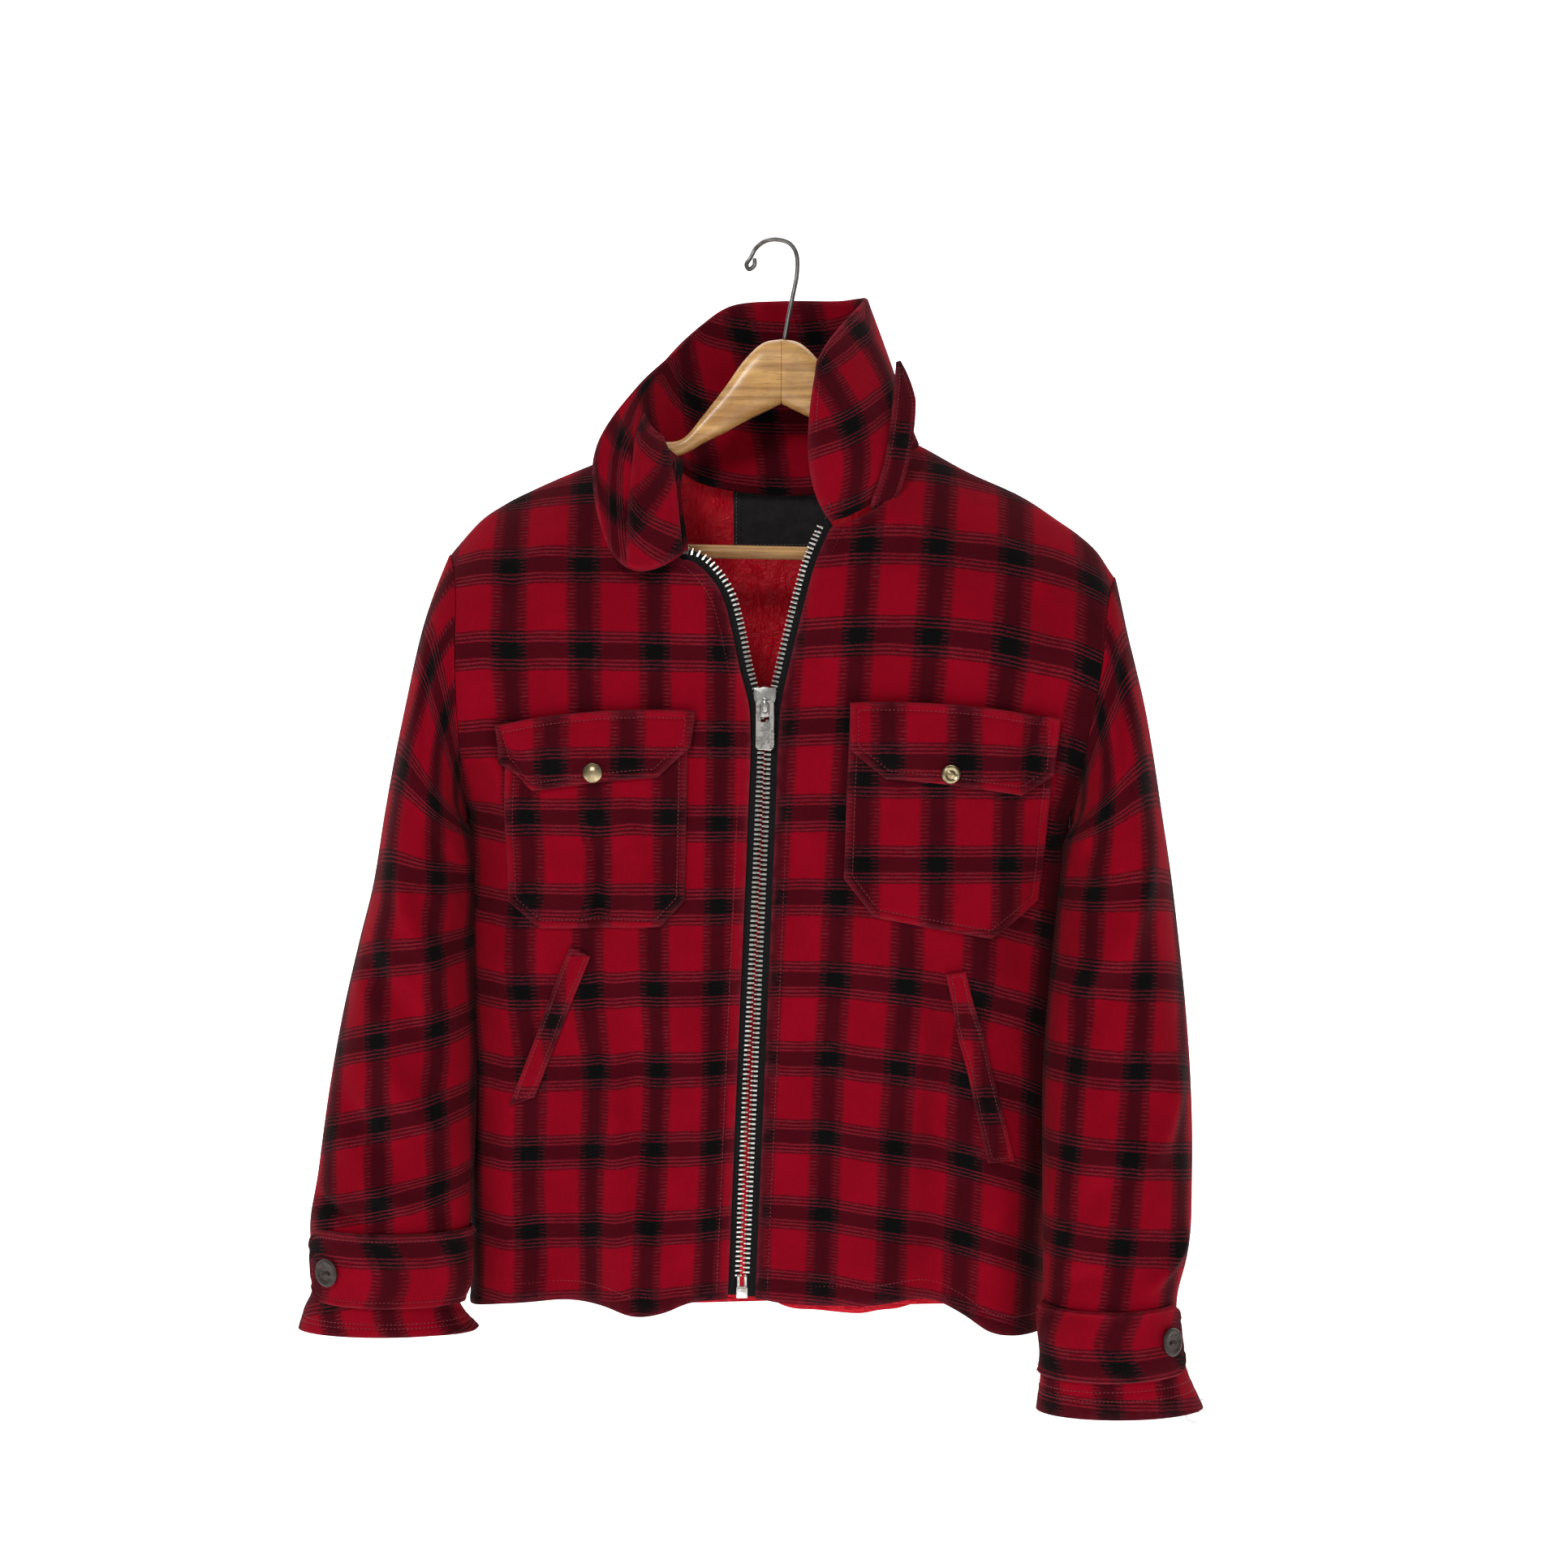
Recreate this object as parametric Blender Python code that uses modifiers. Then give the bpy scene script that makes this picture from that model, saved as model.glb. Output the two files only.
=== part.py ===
"""Plaid wool jacket hanging on a wooden hanger, built as its cut and sewn pieces.

Metres, +Z up. The jacket faces -Y, and the wearer's left is at +X. The origin is the underside of the
hook's crown, where the whole thing hangs. Sizes and tables below are in millimetres.
"""
import math

import bmesh
import bpy
import numpy as np
from mathutils import Matrix, Vector

MM = 0.001

# Cloth and seams
WOOL = 2.2
COLLAR_WALL = 3.4
NYLON = 1.0
FLAP_WALL = 2.8
SEAM_GAP = 0.3
PATCH_GAP = 1.4
WELT_GAP = 1.0
LAYER_GAP = 0.7
SLEEVE_GAP = 0.5

# Body: how far the front and back stand off the plane of the shoulder ridge
FRONT_DEPTH = 70.0
BACK_DEPTH = 58.0
ROUNDNESS = 2.4

# Height of the shoulder ridge along the body, run on across the open neck
RIDGE = (  # x, z
    (-250, -246), (-244, -238), (-234, -226), (-222, -213), (-203, -200), (-178, -187.5), (-131, -167.5),
    (-92, -151), (-60, -139), (6, -134), (70, -140), (104, -152.5), (146, -175), (196, -199),
    (215, -212), (232, -224), (245, -236), (258, -255), (264, -262))

# Share of the full depth that the cloth has at a drop below the ridge
FRONT_FALL = (  # drop, share
    (0, 0), (3, .085), (8, .17), (15, .26), (25, .37), (45, .53), (70, .69), (100, .85), (140, .95),
    (200, 1.0), (900, 1.0))
BACK_FALL = (  # drop, share
    (0, 0), (3, .13), (8, .28), (15, .42), (27, .62), (50, .80), (90, .94), (140, 1.0), (900, 1.0))

# Share of the local depth left at the armhole and side edge
EDGE_SHARE = (  # z, share
    (-900, 0), (-436, 0), (-428, .26), (-415, .42), (-400, .56), (-380, .68), (-345, .84), (-310, .96),
    (-290, .99), (-200, 1.0))

# Long folds of the fronts: ridges stand out, and troughs have a negative rise
FRONT_FOLDS = (  # x at top, x at foot, top z, foot z, half width, rise, fade
    (-108, -92, -600, -990, 30, 19, 190),
    (-152, -150, -560, -990, 22, -7, 150),
    (-196, -200, -470, -990, 20, 5, 120),
    (-62, -48, -470, -990, 17, 5, 120),
    (172, 166, -560, -990, 28, 17, 180),
    (118, 122, -590, -990, 18, -9, 160),
    (62, 78, -430, -990, 26, 5, 140),
    (128, 130, -330, -560, 52, 4, 90),
    (-128, -130, -330, -560, 52, 4, 90),
    (-205, -170, -290, -470, 15, -4, 60),
    (205, 186, -290, -470, 15, -4, 60))
BACK_FOLDS = (  # x at top, x at foot, top z, foot z, half width, rise, fade
    (-120, -140, -420, -990, 26, 9, 160),
    (-60, -66, -360, -990, 24, -6, 160),
    (10, 16, -520, -990, 30, 8, 160),
    (80, 92, -380, -990, 24, -6, 160),
    (140, 150, -430, -990, 26, 10, 160))

# Hem line of the fronts and of the back
FRONT_HEM = (  # x, z
    (-240, -803), (-229, -802), (-200, -796), (-175, -793), (-151, -791), (-123, -792), (-100, -797),
    (-78, -795), (-61, -789), (-33, -787), (-13, -787), (4, -790), (64, -792), (120, -792), (141, -802),
    (158, -813), (176, -818), (207, -820), (230, -820))
BACK_HEM = (  # x, z
    (-240, -803), (-229, -802), (-150, -811), (0, -817), (120, -817), (207, -820), (230, -820))

# Rows of the two fronts: the edge at the neck and zip, and the edge at the armhole and side seam
FRONT_ROWS = {  # row, centre x, centre z, side x, side z
    "right": (
        (.00, -93, -151.5, -244, -238), (.04, -84, -178, -239, -252), (.08, -78, -200, -236, -270),
        (.12, -74, -222, -235, -290), (.16, -71, -244, -234.5, -311), (.20, -57, -250, -234, -330),
        (.24, -45.5, -261, -233.5, -350), (.28, -36.5, -276, -232.5, -372), (.32, -30, -300, -231.5, -394),
        (.36, -24.5, -327, -230, -416), (.40, -17.2, -357, -229.5, -437), (.43, -16.4, -379, -229.8, -456),
        (.50, -18, -430, -230, -500), (.70, -24, -573, -228.5, -621), (1.0, -33, -787, -229, -802)),
    "left": (
        (.00, 105, -153.5, 258, -255), (.04, 98, -180, 252, -268), (.08, 85, -201, 248, -284),
        (.12, 65, -215, 245, -302), (.16, 45, -222, 243, -320), (.20, 38.5, -232, 240, -338),
        (.24, 31, -250, 237, -356), (.28, 24.5, -273, 233, -376), (.32, 18.5, -297, 230, -397),
        (.36, 11.5, -327, 227, -417), (.40, 5.4, -357, 224, -437), (.43, 4, -379, 221.5, -456),
        (.50, 2, -430, 216, -500), (.70, -4, -573, 208, -625), (1.0, -13, -787, 206, -820))}
RIDGE_ROW = .013
ZIP_TOP_ROW = .16
ARMPIT_ROW = .40
FRONT_COLUMNS = 12
BACK_COLUMNS = 17

# Back neck seam
NECK = (  # x, z
    (-93, -151.5), (-72, -167), (-41, -174), (4, -177), (48, -175), (82, -166), (105, -153.5))

# Label on the lining
LABEL_X = (-31.0, 42.0)
LABEL_Z = (-184.0, -228.0)
LABEL_WALL = 0.8
LABEL_GAP = 1.1

# Sleeves: outer and inner edge seen from the front, and half the depth from front to back
SLEEVE_ROWS = {  # row, outer x, outer z, inner x, inner z, middle y, half depth
    "right": (
        (0, -245.0, -238, -230.2, -436, 0, 52), (1, -252, -258, -230.3, -437.5, 0, 57),
        (2, -261, -282, -230.6, -440, 0, 62), (3, -268.5, -311, -231, -444, 0, 66),
        (4, -276, -348, -231.2, -450, -1, 70), (5, -284, -388, -231.5, -460, -2, 73),
        (6, -292, -433, -231.5, -476, -3, 74), (7, -300, -485, -231.5, -505, -6, 73),
        (8, -310, -528, -231.5, -538, -11, 71), (9, -321, -579, -231.8, -583, -18, 66),
        (10, -329, -627, -230.8, -629, -26, 60), (11, -335, -676, -231.5, -677, -34, 55),
        (12, -338, -712, -232.5, -713, -39, 52), (13, -342, -737, -234, -741, -42, 50),
        (14, -341, -761, -235, -766, -44, 48), (15, -340, -783, -235, -787, -46, 45),
        (16, -346, -798, -229, -800, -48, 43), (17, -350, -812, -217, -812, -50, 40)),
    "left": (
        (0, 259.0, -255, 224.8, -436, 0, 52), (1, 262.5, -274, 225, -438, 0, 57),
        (2, 267, -297, 225.2, -441, 0, 62), (3, 273, -322, 225.3, -445, 0, 66),
        (4, 280, -354, 225.2, -451, -1, 70), (5, 286, -390, 224.8, -460, -2, 73),
        (6, 292, -432, 224, -476, -4, 74), (7, 299, -482, 221, -505, -8, 73),
        (8, 304, -530, 217, -546, -14, 71), (9, 308, -580, 212.5, -592, -22, 67),
        (10, 310, -630, 209.5, -640, -32, 62), (11, 310, -680, 208.5, -688, -42, 57),
        (12, 307, -724, 208, -730, -50, 53), (13, 303, -758, 207.5, -762, -56, 50),
        (14, 296, -786, 207.8, -790, -60, 48), (15, 296, -812, 203, -816, -63, 45),
        (16, 302, -838, 196, -842, -66, 43), (17, 314, -866, 192, -868, -68, 40))}
SLEEVE_ROUNDS = 18
SLEEVE_FOLDS = {  # angle in turns, row, turn spread, row spread, rise
    "right": (
        (.30, 8.5, .10, .9, 4), (.20, 9.8, .10, .8, -4), (.34, 11.2, .12, .8, 4), (.42, 5.5, .09, 1.4, -5),
        (.12, 12.2, .10, .7, 4), (.70, 9.0, .12, 1.2, 5), (.85, 11.5, .12, 1.0, -5)),
    "left": (
        (.20, 8.0, .10, 1.6, -4), (.36, 10.2, .10, 1.5, 4), (.42, 5.5, .09, 1.4, -5), (.10, 12.3, .09, .8, 3),
        (.70, 9.0, .12, 1.2, 5), (.85, 11.5, .12, 1.0, -5))}
SLEEVE_FOLD_SPAN = 60.0

# Collar: neck seam, a point half way up, and the free edge, from the wearer's right front round the back
COLLAR_ROWS = (  # root x y z, middle x y z, edge x y z
    ((-62, -63, -240), (-110, -74, -252), (-132, -58, -184)),
    ((-66, -52, -216), (-110, -64, -221), (-130, -44, -160)),
    ((-70, -42, -192), (-107, -50, -180), (-119, -26, -136)),
    ((-77, -26, -168), (-104, -28, -146), (-101, -2, -110)),
    ((-86, -1, -148), (-93, 2, -121), (-79, 22, -83)),
    ((-66, 25, -166.2), (-69, 31, -112), (-57, 44, -57)),
    ((-38, 36, -173.2), (-38, 46, -108), (-32, 55, -39)),
    ((5, 40.5, -176.2), (6, 50, -106), (7, 58, -35)),
    ((48, 36, -174.2), (52, 46, -106), (48, 53, -36)),
    ((80, 22, -165.2), (80, 32, -104), (64, 38, -37)),
    ((97, -1, -149), (90, 6, -104), (70, 22, -40)),
    ((91, -27, -176), (89, -26, -122), (63, -2, -52)),
    ((79, -39, -197), (75, -47, -146), (51, -22, -68)),
    ((60, -50, -211), (52, -62, -164), (40, -36, -84)),
    ((42, -57, -219), (26, -66, -174), (33, -46, -98)))
COLLAR_AROUND = 25
COLLAR_UP = 5
COLLAR_GIRTH = 470.0

# Facing turned out at the neck on the wearer's right, as a share of the collar round and up
FACING_REACH = (0.0, .25)
FACING_RISE = (.03, .46)
FACING_GAP = 1.3

# Throat tab on the wearer's left, from its point down to its round end
TAB_ROWS = (  # round the collar, up the collar, half width, lift
    (.752, .66, 1.0, 9.0), (.762, .58, 4.0, 7.0), (.776, .46, 7.0, 4.5), (.792, .33, 8.5, 2.2),
    (.812, .19, 9.0, 1.0), (.832, .07, 9.0, 1.0), (.842, .00, 7.6, 1.0), (.848, -.045, 4.0, 1.0))
TAB_WALL = 2.4

# Patches on the fronts, as rows with a left and a right end
POCKET_ROWS = {  # left x, left z, right x, right z
    "right": ((-199, -384, -62, -384), (-194, -499, -64, -497), (-171, -518, -82, -516)),
    "left": ((56, -364, 210, -372), (51, -481, 196, -498), (73, -509, 160, -526))}
FLAP_ROWS = {
    "right": ((-206, -368, -56, -359), (-203, -398, -60, -386), (-174, -420, -84, -410)),
    "left": ((56, -353, 212, -364), (56, -388, 207, -405), (82, -411, 180, -423))}
FLAP_ARCH = 4.0
WELT_ROWS = {
    "right": ((-148, -530, -133, -538), (-194, -649, -175, -642)),
    "left": ((126, -551, 141, -549), (157, -690, 177, -690))}
SNAPS = {"right": (-130, -404, False), "left": (128, -405, True)}  # x, z, ringed
SNAP_RADIUS = 7.2
SNAP_GAP = 0.6
DOME_PROFILE = ((0, 3.4), (2.6, 3.1), (4.8, 2.4), (6.4, 1.3), (SNAP_RADIUS, .6), (SNAP_RADIUS, 0), (0, 0))
RING_PROFILE = (
    (0, 3.3), (2.0, 3.2), (2.6, 2.4), (3.4, 2.0), (4.6, 2.9), (5.6, 2.9),
    (SNAP_RADIUS, 1.2), (SNAP_RADIUS, 0),
    (0, 0))

# Cuff straps: rows of the sleeve at their upper and lower edge, and turns at their ends
STRAPS = {  # upper row, lower row, end turn, root turn, button turn
    "right": (12.9, 15.35, .075, .53, .15),
    "left": (14.05, 16.0, .055, .53, .125)}
STRAP_WALL = 3.0
STRAP_GAP = 1.5
STRAP_COLUMNS = 13
STRAP_ROUNDING = .06
STRAP_END_SHARE = .38
BUTTON_RADIUS = 10.2
BUTTON_THICK = 3.2
BUTTON_GAP = 0.9
BUTTON_PROFILE = (
    (0, BUTTON_THICK - 1), (6.2, BUTTON_THICK - .9), (7.4, BUTTON_THICK), (9.2, BUTTON_THICK),
    (BUTTON_RADIUS, BUTTON_THICK - 1.1), (8.6, 0), (0, 0))

# Zip: tape and teeth measured from the cloth's edge, out over the opening
TAPE_BEHIND = 7.0
TAPE_SHOWN = 5.5
TAPE_WALL = 0.8
CHAIN_NEAR = 5.8
CHAIN_FAR = 9.85
CHAIN_THICK = 3.4
CHAIN_FRONT = 0.8
CHAIN_FOOT_Z = -770.0
SLIDER_TOP_Z = -342.0
SLIDER_HEIGHT = 21.0
SLIDER_WIDTH = 13.5
SLIDER_PLATE = 1.2
SLIDER_BACK_GAP = 1.6
POST = (2.6, 3.5)
POST_DROP = 0.5
PIVOT_Z = -352.0
PIVOT_OFF = 1.9
BAIL_WIDTH = 3.4
BAIL_WIRE = 1.5
BAIL_SUNK = 0.5
BAIL_CLEAR = 1.5
BAIL_ABOVE = 3.6
BAIL_BELOW = 9.0
PULL_LENGTH = 36.0
PULL_WIDTH = 13.5
PULL_WALL = 1.8
PULL_WINDOW = (6.4, 14.0)
BOX_SIZE = (8.2, 4.6)
BOX_TOP_Z = -778.0
BOX_FOOT_Z = -786.5
PIN_SIZE = (2.4, 2.6, 8.4)
PIN_OFF = 2.6
PIN_RISE = 3.2

# Hanger
HANGER_X = 6.0
ARM_ROWS = (  # reach, top below ridge or own top z, bottom z, middle y, half depth
    (0, -74, -123, 6, 9), (14, -77, -130, 5.5, 9), (28, -90, -137, 4.5, 9), (42, -110, -145, 3, 8),
    (58, -131, -153, 1.5, 7), (74, -150, -162, 0, 6))
ARM_REACH = 208.0
ARM_HEIGHT = 13.0
ARM_HALF_DEPTH = 6.5
ARM_UNDER_RIDGE = 4.6
ARM_SIDES = 12
LUG_REACH = 176.0
LUG_SPREAD = 15.0
LUG_WALL = 4.5
BAR_PAST_LUG = 2.0
BAR_RADIUS = 5.2
BAR_Z = -237.0
BAR_TILT = 1.2
WIRE = 3.4
HOOK_Y = 6.0
HOOK_CURL = -4.2
HOOK_POINTS = 30
HOOK_CURL_FROM = 22
HOOK_ROUTE = (  # x, z
    (8.5, -74.0), (11, -60), (14.5, -42), (17.8, -25), (17.6, -10), (12, -1), (2, 1.9), (-7, .2), (-13.5, -5),
    (-17, -11.5), (-20.5, -17), (-18.5, -21), (-14.5, -18.5), (-14.2, -14.5))


def smooth(table, at):
    """Smooth curve through a table's rows: the first column is the place, the others are the values."""
    rows = np.asarray(table, float)
    place, values = rows[:, 0], rows[:, 1:]
    slope = np.gradient(values, place, axis=0)
    at = np.clip(np.asarray(at, float), place[0], place[-1])
    i = np.clip(np.searchsorted(place, at, side="right") - 1, 0, len(place) - 2)
    step = (place[i + 1] - place[i])[..., None]
    t = (at[..., None] - place[i][..., None]) / step
    rise = (1 + 2 * t) * (1 - t) ** 2 * values[i] + t * t * (3 - 2 * t) * values[i + 1]
    return rise + (t * (1 - t) ** 2 * slope[i] - t * t * (1 - t) * slope[i + 1]) * step


def smooth_one(table, at):
    """The one value column of a two-column table."""
    return smooth(table, at)[..., 0]


def ease(t):
    """Smooth step from 0 to 1."""
    t = np.clip(t, 0, 1)
    return t * t * (3 - 2 * t)


def material(name, colour, roughness, metallic=0.0):
    """A plain Principled material."""
    found = bpy.data.materials.get(name)
    if found:
        return found
    made = bpy.data.materials.new(name)
    made.use_nodes = True
    shader = made.node_tree.nodes["Principled BSDF"]
    shader.inputs["Base Color"].default_value = (*colour, 1)
    shader.inputs["Roughness"].default_value = roughness
    shader.inputs["Metallic"].default_value = metallic
    made.diffuse_color = (*colour, 1)
    return made


def wool():
    return material("Plaid wool", (0.27, 0.004, 0.012), 0.9)


def nylon():
    return material("Red nylon", (0.42, 0.01, 0.02), 0.45)


def black_cloth():
    return material("Black tape", (0.012, 0.012, 0.014), 0.8)


def nickel():
    return material("Nickel", (0.72, 0.70, 0.66), 0.3, 1.0)


def brass():
    return material("Brass", (0.55, 0.38, 0.14), 0.35, 1.0)


def horn():
    return material("Dark horn", (0.05, 0.035, 0.03), 0.5)


def wood():
    return material("Varnished wood", (0.46, 0.25, 0.08), 0.35)


def steel():
    return material("Dark steel wire", (0.12, 0.11, 0.10), 0.4, 1.0)


def place(name, mesh, look):
    """Link a mesh as a named object of the jacket."""
    thing = bpy.data.objects.new(name, mesh)
    mesh.materials.clear()
    mesh.materials.append(look)
    jacket.objects.link(thing)
    return thing


def normals_of(points, round_first=False):
    """Unit normals of a grid of points, by differences along both of its directions."""
    if round_first:
        along = np.roll(points, -1, 0) - np.roll(points, 1, 0)
    else:
        along = np.gradient(points, axis=0)
    across = np.gradient(points, axis=1)
    normal = np.cross(along, across)
    return normal / np.maximum(np.linalg.norm(normal, axis=2, keepdims=True), 1e-9)


def wall_mesh(name, outer, inner, round_first=False):
    """Closed wall between two grids of the same size, in millimetres."""
    rows, columns = outer.shape[:2]
    count = rows * columns
    index = np.arange(count).reshape(rows, columns)
    if round_first:
        index = np.vstack([index, index[:1]])
    a, b, c, d = index[:-1, :-1], index[1:, :-1], index[1:, 1:], index[:-1, 1:]
    top = np.stack([a, b, c, d], -1).reshape(-1, 4)
    faces = [top, top[:, ::-1] + count]
    rims = [(index[:-1, -1], index[1:, -1]), (index[1:, 0], index[:-1, 0])]
    if not round_first:
        rims += [(index[0, :-1], index[0, 1:]), (index[-1, 1:], index[-1, :-1])]
    for start, end in rims:
        faces.append(np.stack([end, start, start + count, end + count], -1))
    mesh = bpy.data.meshes.new(name)
    points = np.concatenate([outer.reshape(-1, 3), inner.reshape(-1, 3)]) * MM
    mesh.from_pydata(points.tolist(), [], np.concatenate(faces).tolist())
    mesh.update()
    face_out(mesh)
    return mesh


def face_out(mesh):
    """Turn all faces outward."""
    work = bmesh.new()
    work.from_mesh(mesh)
    bmesh.ops.recalc_face_normals(work, faces=work.faces)
    work.to_mesh(mesh)
    work.free()
    mesh.shade_smooth()
    mesh.set_sharp_from_angle(angle=math.radians(50))


def side_x(side, z):
    """Edge of the body at a height, from the front's rows."""
    rows = [(row[4], row[3]) for row in FRONT_ROWS[side]]
    return smooth_one(sorted(rows), z)


def folds(table, x, z):
    """Sum of the long folds: a bell across, eased in and out along the cloth."""
    total = np.zeros(np.broadcast(x, z).shape)
    for x_top, x_foot, z_top, z_foot, half_width, rise, fade in table:
        share = np.clip((z_top - z) / (z_top - z_foot), 0, 1)
        middle = x_top + (x_foot - x_top) * share
        window = ease((z_top - z) / fade) * ease((z - z_foot) / fade)
        total += rise * window * np.exp(-((x - middle) / half_width) ** 2)
    return total


def depth(x, z, full, fall, fold_table):
    """Distance of the cloth's outer face from the plane of the shoulder ridge."""
    right, left = side_x("right", z), side_x("left", z)
    middle, half = (left + right) / 2, (left - right) / 2
    share = smooth_one(EDGE_SHARE, z)
    reach_at_edge = (1 - np.clip(share, 0, 1) ** ROUNDNESS) ** (1 / ROUNDNESS)
    reach = np.clip(np.abs(x - middle) / half * reach_at_edge, 0, 1)
    across = (1 - reach ** ROUNDNESS) ** (1 / ROUNDNESS)
    down = smooth_one(fall, smooth_one(RIDGE, x) - z)
    return SEAM_GAP / 2 + (full + folds(fold_table, x, z)) * across * down


def front_depth(x, z):
    return depth(x, z, FRONT_DEPTH, FRONT_FALL, FRONT_FOLDS)


def back_depth(x, z):
    return depth(x, z, BACK_DEPTH, BACK_FALL, BACK_FOLDS)


def row_places():
    """Rows of the body from shoulder to hem: close at the shoulder, wider below."""
    above, below = np.linspace(.04, ARMPIT_ROW, 10), np.linspace(ARMPIT_ROW, 1, 15)
    return np.concatenate([[0, RIDGE_ROW], above, below[1:]])


def row_number(place):
    """Number of the grid row at a place between shoulder and hem."""
    return int(np.argmin(np.abs(row_places() - place)))


def front_grid(side):
    """Points (x, y, z) of one front, columns from the zip to the side, rows from shoulder to hem."""
    v = row_places()
    u = np.linspace(0, 1, FRONT_COLUMNS)
    cx, cz, sx, sz = np.moveaxis(smooth(FRONT_ROWS[side], v), -1, 0)
    easing = (1.5 * u - .5 * u ** 3)[:, None]
    x = cx + (sx - cx) * easing
    straight = cz + (sz - cz) * easing
    lift = smooth_one(RIDGE, x[:, :1]) - straight[:, :1]
    drop = smooth_one(FRONT_HEM, x[:, -1:]) - straight[:, -1:]
    z = straight + lift * np.clip(1 - v / .3, 0, 1) + drop * v ** 3
    y = -front_depth(x, z)
    y[:, 0] = -SEAM_GAP / 2
    return np.stack([x, y, z], -1)


def back_grid():
    """Points (x, y, z) of the back, columns from the wearer's right to left, rows from shoulder to hem."""
    v = row_places()
    turn = np.linspace(-1, 1, BACK_COLUMNS)
    u = (.5 + .5 * (1.35 * turn - .35 * turn ** 3))[:, None]
    rx, rz = np.moveaxis(smooth(FRONT_ROWS["right"], v)[:, 2:], -1, 0)
    lx, lz = np.moveaxis(smooth(FRONT_ROWS["left"], v)[:, 2:], -1, 0)
    x = rx + (lx - rx) * u
    straight = rz + (lz - rz) * u
    top_x = x[:, :1]
    inside = (top_x > NECK[0][0]) & (top_x < NECK[-1][0])
    top = np.where(inside, smooth_one(NECK, top_x), smooth_one(RIDGE, top_x))
    lift = top - straight[:, :1]
    drop = smooth_one(BACK_HEM, x[:, -1:]) - straight[:, -1:]
    z = straight + lift * np.clip(1 - v / .45, 0, 1) + drop * v ** 3
    y = back_depth(x, z)
    y[:, 0] = np.where(inside[:, 0], y[:, 0], SEAM_GAP / 2)
    return np.stack([x, y, z], -1)


def in_plane(normal, rows):
    """Normals at a seam kept in the plane between front and back."""
    for row in rows:
        picked = normal[row].copy()
        picked[..., 1] = 0
        normal[row] = picked / np.linalg.norm(picked, axis=-1, keepdims=True)
    return normal


def outward(normal, toward):
    """Flip a grid of normals so that their sum points toward a direction."""
    return normal if float((normal * np.asarray(toward)).sum()) > 0 else -normal


def build_front(side):
    """One front, a wall whose seams at the shoulder and side lie in the plane of the back's seams."""
    points = front_grid(side)
    normal = outward(normals_of(points), (0, -1, 0))
    below_arm = slice(row_number(ARMPIT_ROW), None)
    normal = in_plane(normal, [(slice(None), 0), (-1, below_arm)])
    points[-1, below_arm, 1] = -SEAM_GAP / 2
    return place(f"front_{side}", wall_mesh(f"front_{side}", points, points - normal * WOOL), wool())


def back_normals(points):
    """Outward normals of the back, in the seam plane at its shoulder and side seams."""
    normal = outward(normals_of(points), (0, 1, 0))
    below_arm = slice(row_number(ARMPIT_ROW), None)
    shoulders = np.nonzero(points[:, 0, 1] < SEAM_GAP)[0]
    return in_plane(normal, [(shoulders, 0), (0, below_arm), (-1, below_arm)])


def build_back():
    """The back, one wall between the side seams."""
    points = back_grid()
    points[0, row_number(ARMPIT_ROW):, 1] = SEAM_GAP / 2
    points[-1, row_number(ARMPIT_ROW):, 1] = SEAM_GAP / 2
    normal = back_normals(points)
    place("back_panel", wall_mesh("back_panel", points, points - normal * WOOL), wool())
    inside = np.nonzero((points[:, 0, 0] > NECK[0][0] + 4) & (points[:, 0, 0] < NECK[-1][0] - 4))[0]
    lining = slice(inside[0], inside[-1] + 1)
    near = points - normal * (WOOL + SEAM_GAP)
    far = points - normal * (WOOL + SEAM_GAP + NYLON)
    rows = slice(0, -1)
    place("lining_back", wall_mesh("lining_back", far[lining, rows], near[lining, rows]), nylon())


def build_label():
    """Woven label on the lining under the back neck."""
    flat_x, flat_z = np.meshgrid(np.linspace(*LABEL_X, 5), np.linspace(*LABEL_Z, 4), indexing="ij")
    y = back_depth(flat_x, flat_z) - (WOOL + SEAM_GAP + NYLON) - LABEL_GAP
    near = np.stack([flat_x, y, flat_z], -1)
    far = near - np.array([0, LABEL_WALL, 0])
    return place("label", wall_mesh("label", far, near), black_cloth())


def armhole_loop(side, angle, top_z, low_z):
    """The armhole's loop: its height at an angle, and how far the cloth stands there."""
    z = (top_z + low_z) / 2 + (top_z - low_z) / 2 * np.cos(angle)
    x = side_x(side, z)
    front = np.sin(angle) > 0
    y = np.where(front, -front_depth(x, z), back_depth(x, z))
    return x, np.where(np.abs(np.sin(angle)) < 1e-6, 0, y), z


def sleeve_point(side, turn, row):
    """Point of the sleeve's outer face. Turn 0 is the outer edge, .25 the front, .5 the inner edge."""
    turn, row = np.broadcast_arrays(np.asarray(turn, float), np.asarray(row, float))
    ox, oz, ix, iz, my, half = np.moveaxis(smooth(SLEEVE_ROWS[side], row), -1, 0)
    angle = 2 * math.pi * turn
    bulge = np.zeros(turn.shape)
    for at, at_row, spread, row_spread, rise in SLEEVE_FOLDS[side]:
        off = (turn - at + .5) % 1 - .5
        bulge += rise * np.exp(-(off / spread) ** 2 - ((row - at_row) / row_spread) ** 2)
    scale = 1 + bulge / SLEEVE_FOLD_SPAN
    x = (ox + ix) / 2 + (ox - ix) / 2 * np.cos(angle) * np.where(np.cos(angle) > 0, scale, 1)
    z = (oz + iz) / 2 + (oz - iz) / 2 * np.cos(angle)
    y = my - half * np.sin(angle) * scale
    away = -1 if side == "right" else 1
    loop_x, loop_y, loop_z = armhole_loop(side, angle, SLEEVE_ROWS[side][0][2], SLEEVE_ROWS[side][0][4])
    near = ease(1 - row / 2.5)
    x = x + (loop_x + away * SLEEVE_GAP - x) * np.where(row <= 0, 1, near * .8)
    y = y + (loop_y - y) * near
    z = z + (loop_z - z) * near
    return np.stack([x, y, z], -1)



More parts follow.
